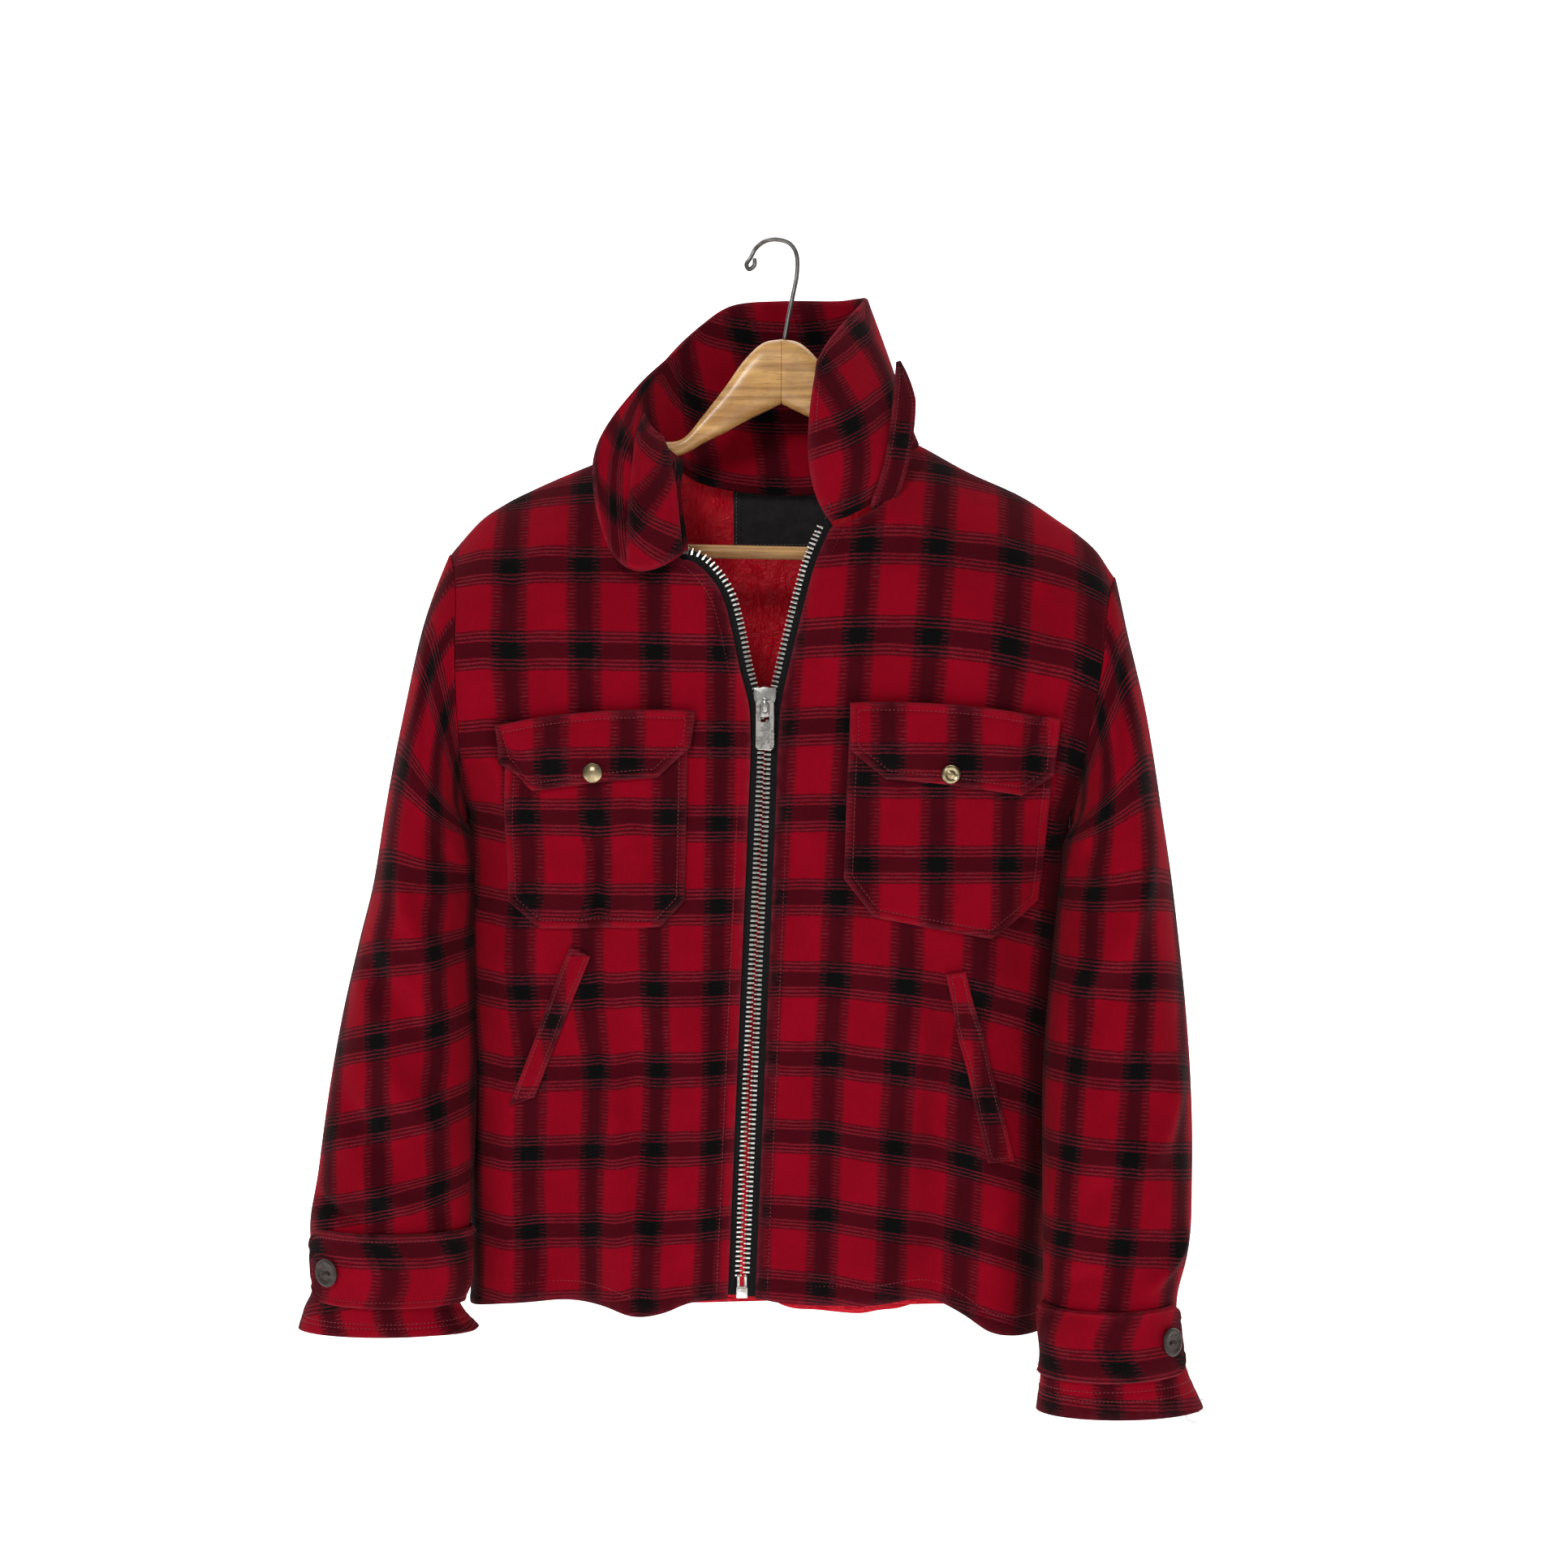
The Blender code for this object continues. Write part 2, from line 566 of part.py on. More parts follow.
def sleeve_grid(side):
    """Rings of the sleeve from armhole to cuff."""
    turn = (np.arange(SLEEVE_ROUNDS) / SLEEVE_ROUNDS)[:, None]
    row = np.linspace(0, 17, 18)[None, :]
    return sleeve_point(side, turn, row)


def build_sleeve(side):
    """A sleeve: a tube whose first ring lies in the plane of its armhole."""
    points = sleeve_grid(side)
    normal = normals_of(points, round_first=True)
    away = points - points.mean(axis=0, keepdims=True)
    normal = normal if float((normal * away).sum()) > 0 else -normal
    normal[:, 0, 0] = 0
    normal[:, 0] /= np.linalg.norm(normal[:, 0], axis=-1, keepdims=True)
    mesh = wall_mesh(f"sleeve_{side}", points, points - normal * WOOL, round_first=True)
    return place(f"sleeve_{side}", mesh, wool())


def collar_point(around, up):
    """Point of the collar's middle face: bends from root through a middle point to the free edge."""
    rows = [(i, *root, *middle, *edge) for i, (root, middle, edge) in enumerate(COLLAR_ROWS)]
    found = smooth(rows, np.asarray(around, float) * (len(COLLAR_ROWS) - 1))
    root, middle, edge = found[..., 0:3], found[..., 3:6], found[..., 6:9]
    t = np.asarray(up, float)[..., None]
    pull = 2 * middle - (root + edge) / 2
    return root * (1 - t) ** 2 + 2 * pull * t * (1 - t) + edge * t * t


def build_collar():
    """Collar, turned cloth of double thickness, open at the front."""
    around, up = np.linspace(0, 1, COLLAR_AROUND), np.linspace(0, 1, COLLAR_UP + 1)
    around, up = np.meshgrid(around, up, indexing="ij")
    points = collar_point(around, up)
    normal = normals_of(points)
    mesh = wall_mesh("collar", points + normal * COLLAR_WALL / 2, points - normal * COLLAR_WALL / 2)
    return place("collar", mesh, wool())


def collar_side(around, up, toward):
    """Points and unit normals of the collar on one side of it."""
    points = collar_point(around, up)
    step = .004
    along = collar_point(around + step, up) - collar_point(around - step, up)
    rise = collar_point(around, up + step) - collar_point(around, up - step)
    normal = np.cross(along, rise)
    normal /= np.linalg.norm(normal, axis=-1, keepdims=True)
    return points, outward(normal, toward)


def build_facing():
    """Facing turned out at the neck, over the collar's root."""
    around, up = np.meshgrid(np.linspace(*FACING_REACH, 10), np.linspace(*FACING_RISE, 5), indexing="ij")
    points, normal = collar_side(around, up, (.5, -1, .3))
    near = points + normal * (COLLAR_WALL / 2 + FACING_GAP)
    return place("neck_facing", wall_mesh("neck_facing", near + normal * WOOL, near), wool())


def build_tab():
    """Throat tab standing beside the collar."""
    rows = smooth([(i, *row) for i, row in enumerate(TAB_ROWS)], np.linspace(0, len(TAB_ROWS) - 1, 13))
    around, up, half, lift = (rows[None, :, i] for i in range(4))
    across = np.linspace(-1, 1, 5)[:, None]
    points, normal = collar_side(around + across * half / COLLAR_GIRTH, up + 0 * across, (1, -1, 0))
    near = points + normal * (COLLAR_WALL / 2 + lift[..., None])
    return place("throat_tab", wall_mesh("throat_tab", near + normal * TAB_WALL, near), wool())


def patch_grid(rows, across, down, arch=0.0):
    """Points on the front under a patch: straight between its rows, each kept as a corner."""
    table = np.asarray(rows, float)
    last = len(table) - 1
    at = np.unique(np.concatenate([np.linspace(0, 1, down) * last, np.arange(last + 1)]))
    ends = np.stack([np.interp(at, np.arange(last + 1), table[:, i]) for i in range(4)], -1)
    t = np.linspace(0, 1, across)[:, None]
    x = ends[:, 0] * (1 - t) + ends[:, 2] * t
    z = ends[:, 1] * (1 - t) + ends[:, 3] * t + arch * 4 * t * (1 - t)
    return x, z


def lifted(x, z, rise):
    """Points on a front's outer face moved out along its normal."""
    step = 1.0
    slope_x = (front_depth(x + step, z) - front_depth(x - step, z)) / (2 * step)
    slope_z = (front_depth(x, z + step) - front_depth(x, z - step)) / (2 * step)
    normal = np.stack([-slope_x, -np.ones_like(x), -slope_z], -1)
    normal /= np.linalg.norm(normal, axis=-1, keepdims=True)
    return np.stack([x, -front_depth(x, z), z], -1) + normal * rise


def build_patch(name, rows, lift, thick, across, down, arch=0.0):
    """A patch of cloth that follows the front."""
    x, z = patch_grid(rows, across, down, arch)
    outer = lifted(x, z, lift + thick)
    inner = lifted(x, z, lift)
    return place(name, wall_mesh(name, outer, inner), wool())


def frame_at(point, normal):
    """Matrix that puts local Z along a normal, with its foot at a point, both in millimetres."""
    turn = Vector(normal).to_track_quat("Z", "Y").to_matrix().to_4x4()
    return Matrix.Translation(Vector(point) * MM) @ turn


def turned(name, profile, look, steps=16):
    """Solid of revolution about local Z from a profile of (radius, height), top to bottom, in millimetres."""
    mesh = bpy.data.meshes.new(name)
    points = [(radius * MM, 0, height * MM) for radius, height in profile]
    mesh.from_pydata(points, [(i, i + 1) for i in range(len(points) - 1)], [])
    thing = place(name, mesh, look)
    screw = thing.modifiers.new("Screw", "SCREW")
    screw.steps = steps
    screw.render_steps = steps
    screw.use_merge_vertices = True
    screw.merge_threshold = 0.00001
    return thing


def build_snap(side):
    """Snap cap on the flap: a plain dome, or a ringed cap with a boss."""
    x, z, ringed = SNAPS[side]
    cap = turned(f"snap_{side}", RING_PROFILE if ringed else DOME_PROFILE, brass())
    lift = PATCH_GAP + WOOL + PATCH_GAP + FLAP_WALL + SNAP_GAP
    at = lifted(np.array(float(x)), np.array(float(z)), lift)
    off = lifted(np.array(float(x)), np.array(float(z)), lift + 1) - at
    cap.matrix_world = frame_at(at, off)
    return cap



def strap_grid(side, rise):
    """Points of a cuff strap, moved out from the sleeve, with a rounded free end."""
    upper, lower, end, root, _ = STRAPS[side]
    turn = np.linspace(end, root, STRAP_COLUMNS)[:, None]
    across = np.linspace(0, 1, 5)[None, :]
    reach = np.clip((turn - end) / STRAP_ROUNDING, 0, 1)
    half = (STRAP_END_SHARE + (1 - STRAP_END_SHARE) * np.sqrt(np.clip(1 - (1 - reach) ** 2, 0, 1))) / 2
    row = (upper + lower) / 2 + (lower - upper) * half * (2 * across - 1)
    points = sleeve_point(side, turn, row)
    step = .01
    along = sleeve_point(side, turn + step, row) - sleeve_point(side, turn - step, row)
    down = sleeve_point(side, turn, row + step) - sleeve_point(side, turn, row - step)
    normal = np.cross(along, down)
    normal /= np.linalg.norm(normal, axis=-1, keepdims=True)
    normal = outward(normal, (0, -1, 0))
    return points + normal * rise, normal


def build_strap(side):
    """Cuff strap round the front of the sleeve end."""
    outer, _ = strap_grid(side, STRAP_GAP + STRAP_WALL)
    inner, _ = strap_grid(side, STRAP_GAP)
    return place(f"cuff_strap_{side}", wall_mesh(f"cuff_strap_{side}", outer, inner), wool())


def build_button(side):
    """Two-hole button on the strap's rounded end."""
    button = turned(f"cuff_button_{side}", BUTTON_PROFILE, horn())
    grid, normal = strap_grid(side, STRAP_GAP + STRAP_WALL + BUTTON_GAP)
    _, _, end, root, at_turn = STRAPS[side]
    column = int(round((at_turn - end) / (root - end) * (STRAP_COLUMNS - 1)))
    button.matrix_world = frame_at(grid[column, 2], normal[column, 2])
    return button



def edge_frames(side, rows):
    """Edge of a front along its zip: points, direction out over the opening, and outward normals."""
    grid = front_grid(side)
    normal = outward(normals_of(grid), (0, -1, 0))
    edge, out = grid[0, rows], normal[0, rows]
    along = np.gradient(grid[0], axis=0)[rows]
    along /= np.linalg.norm(along, axis=-1, keepdims=True)
    across = np.cross(along, out)
    across *= np.sign((across * (edge - grid[1, rows])).sum())
    return edge, across / np.linalg.norm(across, axis=-1, keepdims=True), out


def strip(name, frames, near, far, front, thick, look):
    """A strip along the front's edge between two distances from it, with its front face at a depth."""
    edge, across, out = frames
    sides = []
    for lift in (-front, -front - thick):
        sides.append(np.stack([edge + across * near + out * lift, edge + across * far + out * lift]))
    return place(name, wall_mesh(name, sides[0], sides[1]), look)


def cut_short(frames, foot_z):
    """Frames of an edge ended at a height."""
    z = frames[0][:, 2]
    keep = z > foot_z + 2
    last = int(keep.sum())
    share = (z[last - 1] - foot_z) / (z[last - 1] - z[last])
    return [np.vstack([part[:last], part[last - 1] * (1 - share) + part[last] * share]) for part in frames]


def build_zip_side(side):
    """Tape behind the cloth's edge, and the row of teeth as one bar on its free edge."""
    frames = edge_frames(side, slice(row_number(ZIP_TOP_ROW), None))
    strip(f"zip_tape_{side}", frames, -TAPE_BEHIND, TAPE_SHOWN, WOOL + LAYER_GAP, TAPE_WALL, black_cloth())
    chain = cut_short(frames, CHAIN_FOOT_Z)
    strip(f"zip_teeth_{side}", chain, CHAIN_NEAR, CHAIN_FAR, CHAIN_FRONT, CHAIN_THICK, nickel())



def box_mesh(name, size, centre, bevel=0.0):
    """Bevelled box in millimetres."""
    work = bmesh.new()
    bmesh.ops.create_cube(work, size=1)
    bmesh.ops.scale(work, vec=Vector(size) * MM, verts=work.verts)
    bmesh.ops.translate(work, vec=Vector(centre) * MM, verts=work.verts)
    if bevel:
        bmesh.ops.bevel(work, geom=work.edges[:], offset=bevel * MM, segments=1, affect="EDGES", profile=.5)
    mesh = bpy.data.meshes.new(name)
    work.to_mesh(mesh)
    work.free()
    return mesh


def cutter(name, mesh):
    """A hidden object that cuts or joins another."""
    thing = bpy.data.objects.new(name, mesh)
    cutters.objects.link(thing)
    thing.hide_render = True
    thing.display_type = "WIRE"
    return thing


def boolean(thing, tool, operation):
    """Exact boolean, left on the object."""
    step = thing.modifiers.new(f"{operation} {tool.name}", "BOOLEAN")
    step.operation = operation
    step.solver = "EXACT"
    step.object = tool
    return step


def zip_middle(z):
    """Middle of the closed zip and its outer face, at a height below the slider's top."""
    edges = []
    for side in ("right", "left"):
        table = sorted((row[2], row[1]) for row in FRONT_ROWS[side])
        edges.append(smooth_one(table, np.array(float(z))))
    face = -max(float(front_depth(x, z)) for x in edges)
    return sum(edges) / 2, face


def build_slider():
    """Slider: a front and a back plate joined by a post between the two rows of teeth, with a bail."""
    low_z = SLIDER_TOP_Z - SLIDER_HEIGHT
    middle_x, _ = zip_middle(low_z)
    face = min(zip_middle(SLIDER_TOP_Z)[1], zip_middle(low_z)[1])
    plate_front = face + CHAIN_FRONT - SEAM_GAP - SLIDER_PLATE
    back_front = zip_middle(SLIDER_TOP_Z)[1] + CHAIN_FRONT + CHAIN_THICK + SLIDER_BACK_GAP
    centre_z = SLIDER_TOP_Z - SLIDER_HEIGHT / 2
    size = (SLIDER_WIDTH, SLIDER_PLATE, SLIDER_HEIGHT)
    front_at = (middle_x, plate_front + SLIDER_PLATE / 2, centre_z)
    back_at = (middle_x, back_front + SLIDER_PLATE / 2, centre_z)
    body = place("zip_slider", box_mesh("zip_slider", size, front_at, .35), nickel())
    back = cutter("slider back plate", box_mesh("slider back", size, back_at, .35))
    post_depth = back_front - plate_front
    post_z = SLIDER_TOP_Z - POST[1] / 2 - POST_DROP
    post_at = (middle_x, plate_front + SLIDER_PLATE / 2 + post_depth / 2, post_z)
    post = cutter("slider post", box_mesh("slider post", (POST[0], post_depth, POST[1]), post_at))
    pivot_y = plate_front - PIVOT_OFF
    bail_top = PIVOT_Z + BAIL_ABOVE
    bail_low = PIVOT_Z - BAIL_BELOW
    height = PIVOT_OFF + BAIL_CLEAR + BAIL_WIRE
    loop_at = (middle_x, plate_front + BAIL_SUNK - (height + BAIL_SUNK) / 2, (bail_top + bail_low) / 2)
    loop_size = (BAIL_WIDTH, height + BAIL_SUNK, bail_top - bail_low)
    bail = cutter("slider bail", box_mesh("slider bail", loop_size, loop_at, .5))
    hole_depth = PIVOT_OFF + BAIL_CLEAR
    hole_at = (middle_x, plate_front - hole_depth / 2, (bail_top + bail_low) / 2)
    hole_size = (BAIL_WIDTH + 2, hole_depth, bail_top - bail_low - 2 * BAIL_WIRE)
    hole = cutter("bail hole", box_mesh("bail hole", hole_size, hole_at))
    boolean(body, post, "UNION")
    boolean(body, back, "UNION")
    boolean(bail, hole, "DIFFERENCE")
    boolean(body, bail, "UNION")
    return middle_x, pivot_y



def build_pull(middle_x, pivot_y):
    """Pull tab: a plate with a window, hung by the bar above the window. Its origin is on the swing axis."""
    half_bar = PULL_WALL / 2
    centre = (0, 0, half_bar - PULL_LENGTH / 2)
    size = (PULL_WIDTH, PULL_WALL, PULL_LENGTH)
    plate = place("zip_pull", box_mesh("zip_pull", size, centre, .4), nickel())
    window = (PULL_WINDOW[0], PULL_WALL + 2, PULL_WINDOW[1])
    hole = cutter("pull window", box_mesh("pull window", window, (0, 0, -half_bar - PULL_WINDOW[1] / 2)))
    hole.location = (middle_x * MM, pivot_y * MM, PIVOT_Z * MM)
    plate.location = hole.location
    boolean(plate, hole, "DIFFERENCE")
    return plate


def build_zip_box():
    """Bottom box of the zip with the two pins above it."""
    middle_x, face = zip_middle(BOX_TOP_Z)
    y = face + CHAIN_FRONT + CHAIN_THICK / 2
    size = (*BOX_SIZE, BOX_TOP_Z - BOX_FOOT_Z)
    middle = (middle_x, y, (BOX_TOP_Z + BOX_FOOT_Z) / 2)
    box = place("zip_box", box_mesh("zip_box", size, middle, .5), nickel())
    for name, off in (("pin a", -PIN_OFF), ("pin b", PIN_OFF)):
        pin = cutter(f"zip {name}", box_mesh(name, PIN_SIZE, (middle_x + off, y, BOX_TOP_Z + PIN_RISE), .3))
        boolean(box, pin, "UNION")
    return box


def arm_sections(sign):
    """Sections of a hanger arm: reach from the middle, top, bottom, middle y and half depth."""
    rows = [list(row) for row in ARM_ROWS]
    for reach in np.linspace(92, ARM_REACH, 9):
        top = float(smooth_one(RIDGE, np.array(HANGER_X + sign * reach))) - ARM_UNDER_RIDGE
        lug = math.exp(-((reach - LUG_REACH) / LUG_SPREAD) ** 4)
        bottom = top - ARM_HEIGHT
        bottom += (BAR_Z - BAR_RADIUS - LUG_WALL - bottom) * lug
        rows.append([reach, top, bottom, 0, ARM_HALF_DEPTH])
    return rows


def build_arm(name, sign):
    """A hanger arm, lofted through rounded sections, with a lug that holds the bar."""
    rows = arm_sections(sign)
    around = np.arange(ARM_SIDES) / ARM_SIDES * 2 * math.pi
    rings = []
    for reach, top, bottom, y, half in rows:
        height = (top - bottom) / 2
        x = HANGER_X + sign * max(reach, SEAM_GAP / 2)
        side = half * np.sin(around)
        z = (top + bottom) / 2 + height * np.cos(around)
        rings.append(np.stack([np.full(ARM_SIDES, x), y + side, z], -1))
    points = np.array(rings)
    count = len(rings)
    mesh = bpy.data.meshes.new(name)
    index = np.arange(count * ARM_SIDES).reshape(count, ARM_SIDES)
    after = np.roll(index, -1, 1)
    sides = np.stack([index[:-1], after[:-1], after[1:], index[1:]], -1).reshape(-1, 4).tolist()
    faces = sides + [index[0].tolist(), index[-1].tolist()]
    mesh.from_pydata((points.reshape(-1, 3) * MM).tolist(), [], faces)
    face_out(mesh)
    arm = place(name, mesh, wood())
    hole = cylinder(f"{name} bar hole", BAR_RADIUS + SEAM_GAP, 2 * (LUG_REACH + BAR_PAST_LUG) + 2)
    boolean(arm, cutter(f"{name} bar hole", hole), "DIFFERENCE")
    return arm


def cylinder(name, radius, length):
    """Cylinder along the bar's line, in millimetres."""
    work = bmesh.new()
    size = radius * MM
    bmesh.ops.create_cone(work, cap_ends=True, segments=16, radius1=size, radius2=size, depth=length * MM)
    turn = Matrix.Rotation(math.radians(90 + BAR_TILT), 4, "Y")
    move = Matrix.Translation(Vector((HANGER_X, 0, BAR_Z)) * MM)
    bmesh.ops.transform(work, matrix=move @ turn, verts=work.verts)
    mesh = bpy.data.meshes.new(name)
    work.to_mesh(mesh)
    work.free()
    mesh.shade_smooth()
    mesh.set_sharp_from_angle(angle=math.radians(50))
    return mesh


def build_hook():
    """Wire hook: one smooth curve from the wood up over the crown to its curled end."""
    rows = [(i, x, z) for i, (x, z) in enumerate(HOOK_ROUTE)]
    found = smooth(rows, np.linspace(0, len(rows) - 1, HOOK_POINTS))
    data = bpy.data.curves.new("hanger_hook", "CURVE")
    data.dimensions = "3D"
    data.bevel_depth = WIRE / 2 * MM
    data.bevel_resolution = 2
    data.use_fill_caps = True
    spline = data.splines.new("POLY")
    spline.points.add(len(found) - 1)
    for i, (point, (x, z)) in enumerate(zip(spline.points, found)):
        curl = HOOK_CURL * float(ease((i - HOOK_CURL_FROM) / (HOOK_POINTS - 1 - HOOK_CURL_FROM)))
        point.co = (x * MM, (HOOK_Y + curl) * MM, z * MM, 1)
    data.materials.append(steel())
    hook = bpy.data.objects.new("hanger_hook", data)
    jacket.objects.link(hook)
    return hook



def build_hanger():
    """Wooden hanger: two arms that meet in the middle, a round bar between them and the hook."""
    build_arm("hanger_arm_right", -1)
    build_arm("hanger_arm_left", 1)
    bar = cylinder("hanger_bar", BAR_RADIUS, 2 * (LUG_REACH + BAR_PAST_LUG))
    place("hanger_bar", bar, wood())
    build_hook()


def build_side(side):
    """Everything that the jacket has once on each side."""
    build_front(side)
    build_sleeve(side)
    pocket_lift = PATCH_GAP
    flap_lift = pocket_lift + WOOL + PATCH_GAP
    build_patch(f"pocket_{side}", POCKET_ROWS[side], pocket_lift, WOOL, 11, 8)
    build_patch(f"flap_{side}", FLAP_ROWS[side], flap_lift, FLAP_WALL, 9, 5, FLAP_ARCH)
    build_patch(f"welt_{side}", WELT_ROWS[side], WELT_GAP, WOOL, 3, 10)
    build_snap(side)
    build_strap(side)
    build_button(side)
    build_zip_side(side)


def main():
    """Build the whole jacket and its hanger."""
    for side in ("right", "left"):
        build_side(side)
    build_back()
    build_label()
    build_collar()
    build_facing()
    build_tab()
    middle_x, pivot_y = build_slider()
    build_pull(middle_x, pivot_y)
    build_zip_box()
    build_hanger()


for old in list(bpy.data.objects):
    bpy.data.objects.remove(old, do_unlink=True)
jacket = bpy.data.collections.new("Plaid wool jacket")
cutters = bpy.data.collections.new("Cutters")
bpy.context.scene.collection.children.link(jacket)
bpy.context.scene.collection.children.link(cutters)
main()
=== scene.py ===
"""Looks of the plaid wool jacket on its wooden hanger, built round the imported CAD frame.

The sizes and tables below repeat those of the CAD source, in millimetres. The jacket faces -Y, the
wearer's left is at +X, and the origin is the underside of the hook's crown.
"""

import math

import bpy
import numpy as np
from bpy.props import FloatProperty, FloatVectorProperty, PointerProperty
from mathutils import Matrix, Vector


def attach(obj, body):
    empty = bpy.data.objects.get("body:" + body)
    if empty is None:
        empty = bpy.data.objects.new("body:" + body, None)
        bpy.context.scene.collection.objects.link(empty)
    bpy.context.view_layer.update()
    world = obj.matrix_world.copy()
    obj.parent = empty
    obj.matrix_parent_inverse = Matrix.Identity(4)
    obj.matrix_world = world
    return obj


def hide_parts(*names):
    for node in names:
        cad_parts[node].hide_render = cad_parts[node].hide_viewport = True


bl_info = {
    "name": "Plaid wool jacket",
    "version": (1, 0, 0),
    "blender": (4, 5, 0),
    "location": "View3D > Sidebar > Jacket",
    "description": "Plaid wool jacket on a wooden hanger, as cut and sewn pieces",
    "category": "Add Mesh",
}

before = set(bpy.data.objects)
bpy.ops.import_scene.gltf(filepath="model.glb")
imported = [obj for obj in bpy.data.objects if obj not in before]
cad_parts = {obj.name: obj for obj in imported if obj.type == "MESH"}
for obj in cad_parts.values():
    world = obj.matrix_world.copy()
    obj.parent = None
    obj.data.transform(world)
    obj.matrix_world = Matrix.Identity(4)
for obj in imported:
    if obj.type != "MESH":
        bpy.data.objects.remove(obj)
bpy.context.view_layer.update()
MM = 0.001
SIDES = ("right", "left")

# Cloth and seams
WOOL = 2.2
COLLAR_WALL = 3.4
NYLON = 1.0
FLAP_WALL = 2.8
SEAM_GAP = 0.3
PATCH_GAP = 1.4
WELT_GAP = 1.0
LAYER_GAP = 0.7
SLEEVE_GAP = 0.5

# Body: how far the front and back stand off the plane of the shoulder ridge
FRONT_DEPTH = 70.0
BACK_DEPTH = 58.0
ROUNDNESS = 2.4

# Height of the shoulder ridge along the body, run on across the open neck
RIDGE = (  # x, z
    (-250, -246), (-244, -238), (-234, -226), (-222, -213), (-203, -200), (-178, -187.5), (-131, -167.5),
    (-92, -151), (-60, -139), (6, -134), (70, -140), (104, -152.5), (146, -175), (196, -199),
    (215, -212), (232, -224), (245, -236), (258, -255), (264, -262))

# Share of the full depth that the cloth has at a drop below the ridge
FRONT_FALL = (  # drop, share
    (0, 0), (3, .085), (8, .17), (15, .26), (25, .37), (45, .53), (70, .69), (100, .85), (140, .95),
    (200, 1.0), (900, 1.0))
BACK_FALL = (  # drop, share
    (0, 0), (3, .13), (8, .28), (15, .42), (27, .62), (50, .80), (90, .94), (140, 1.0), (900, 1.0))

# Share of the local depth left at the armhole and side edge
EDGE_SHARE = (  # z, share
    (-900, 0), (-436, 0), (-428, .26), (-415, .42), (-400, .56), (-380, .68), (-345, .84), (-310, .96),
    (-290, .99), (-200, 1.0))

# Long folds of the fronts: ridges stand out, and troughs have a negative rise
FRONT_FOLDS = (  # x at top, x at foot, top z, foot z, half width, rise, fade
    (-108, -92, -600, -990, 30, 19, 190),
    (-152, -150, -560, -990, 22, -7, 150),
    (-196, -200, -470, -990, 20, 5, 120),
    (-62, -48, -470, -990, 17, 5, 120),
    (172, 166, -560, -990, 28, 17, 180),
    (118, 122, -590, -990, 18, -9, 160),
    (62, 78, -430, -990, 26, 5, 140),
    (128, 130, -330, -560, 52, 4, 90),
    (-128, -130, -330, -560, 52, 4, 90),
    (-205, -170, -290, -470, 15, -4, 60),
    (205, 186, -290, -470, 15, -4, 60))
BACK_FOLDS = (  # x at top, x at foot, top z, foot z, half width, rise, fade
    (-120, -140, -420, -990, 26, 9, 160),
    (-60, -66, -360, -990, 24, -6, 160),
    (10, 16, -520, -990, 30, 8, 160),
    (80, 92, -380, -990, 24, -6, 160),
    (140, 150, -430, -990, 26, 10, 160))

# Hem line of the fronts and of the back
FRONT_HEM = (  # x, z
    (-240, -803), (-229, -802), (-200, -796), (-175, -793), (-151, -791), (-123, -792), (-100, -797),
    (-78, -795), (-61, -789), (-33, -787), (-13, -787), (4, -790), (64, -792), (120, -792), (141, -802),
    (158, -813), (176, -818), (207, -820), (230, -820))
BACK_HEM = (  # x, z
    (-240, -803), (-229, -802), (-150, -811), (0, -817), (120, -817), (207, -820), (230, -820))

# Rows of the two fronts: the edge at the neck and zip, and the edge at the armhole and side seam
FRONT_ROWS = {  # row, centre x, centre z, side x, side z
    "right": (
        (.00, -93, -151.5, -244, -238), (.04, -84, -178, -239, -252), (.08, -78, -200, -236, -270),
        (.12, -74, -222, -235, -290), (.16, -71, -244, -234.5, -311), (.20, -57, -250, -234, -330),
        (.24, -45.5, -261, -233.5, -350), (.28, -36.5, -276, -232.5, -372), (.32, -30, -300, -231.5, -394),
        (.36, -24.5, -327, -230, -416), (.40, -17.2, -357, -229.5, -437), (.43, -16.4, -379, -229.8, -456),
        (.50, -18, -430, -230, -500), (.70, -24, -573, -228.5, -621), (1.0, -33, -787, -229, -802)),
    "left": (
        (.00, 105, -153.5, 258, -255), (.04, 98, -180, 252, -268), (.08, 85, -201, 248, -284),
        (.12, 65, -215, 245, -302), (.16, 45, -222, 243, -320), (.20, 38.5, -232, 240, -338),
        (.24, 31, -250, 237, -356), (.28, 24.5, -273, 233, -376), (.32, 18.5, -297, 230, -397),
        (.36, 11.5, -327, 227, -417), (.40, 5.4, -357, 224, -437), (.43, 4, -379, 221.5, -456),
        (.50, 2, -430, 216, -500), (.70, -4, -573, 208, -625), (1.0, -13, -787, 206, -820))}
RIDGE_ROW = .013
ZIP_TOP_ROW = .16
ARMPIT_ROW = .40
FRONT_COLUMNS = 12
FINE_ROWS = 8
FINE_COLUMNS = 110
BACK_COLUMNS = 17

# Back neck seam
NECK = (  # x, z
    (-93, -151.5), (-72, -167), (-41, -174), (4, -177), (48, -175), (82, -166), (105, -153.5))

# Label on the lining
LABEL_X = (-31.0, 42.0)
LABEL_Z = (-184.0, -228.0)
LABEL_WALL = 0.8
LABEL_GAP = 1.1

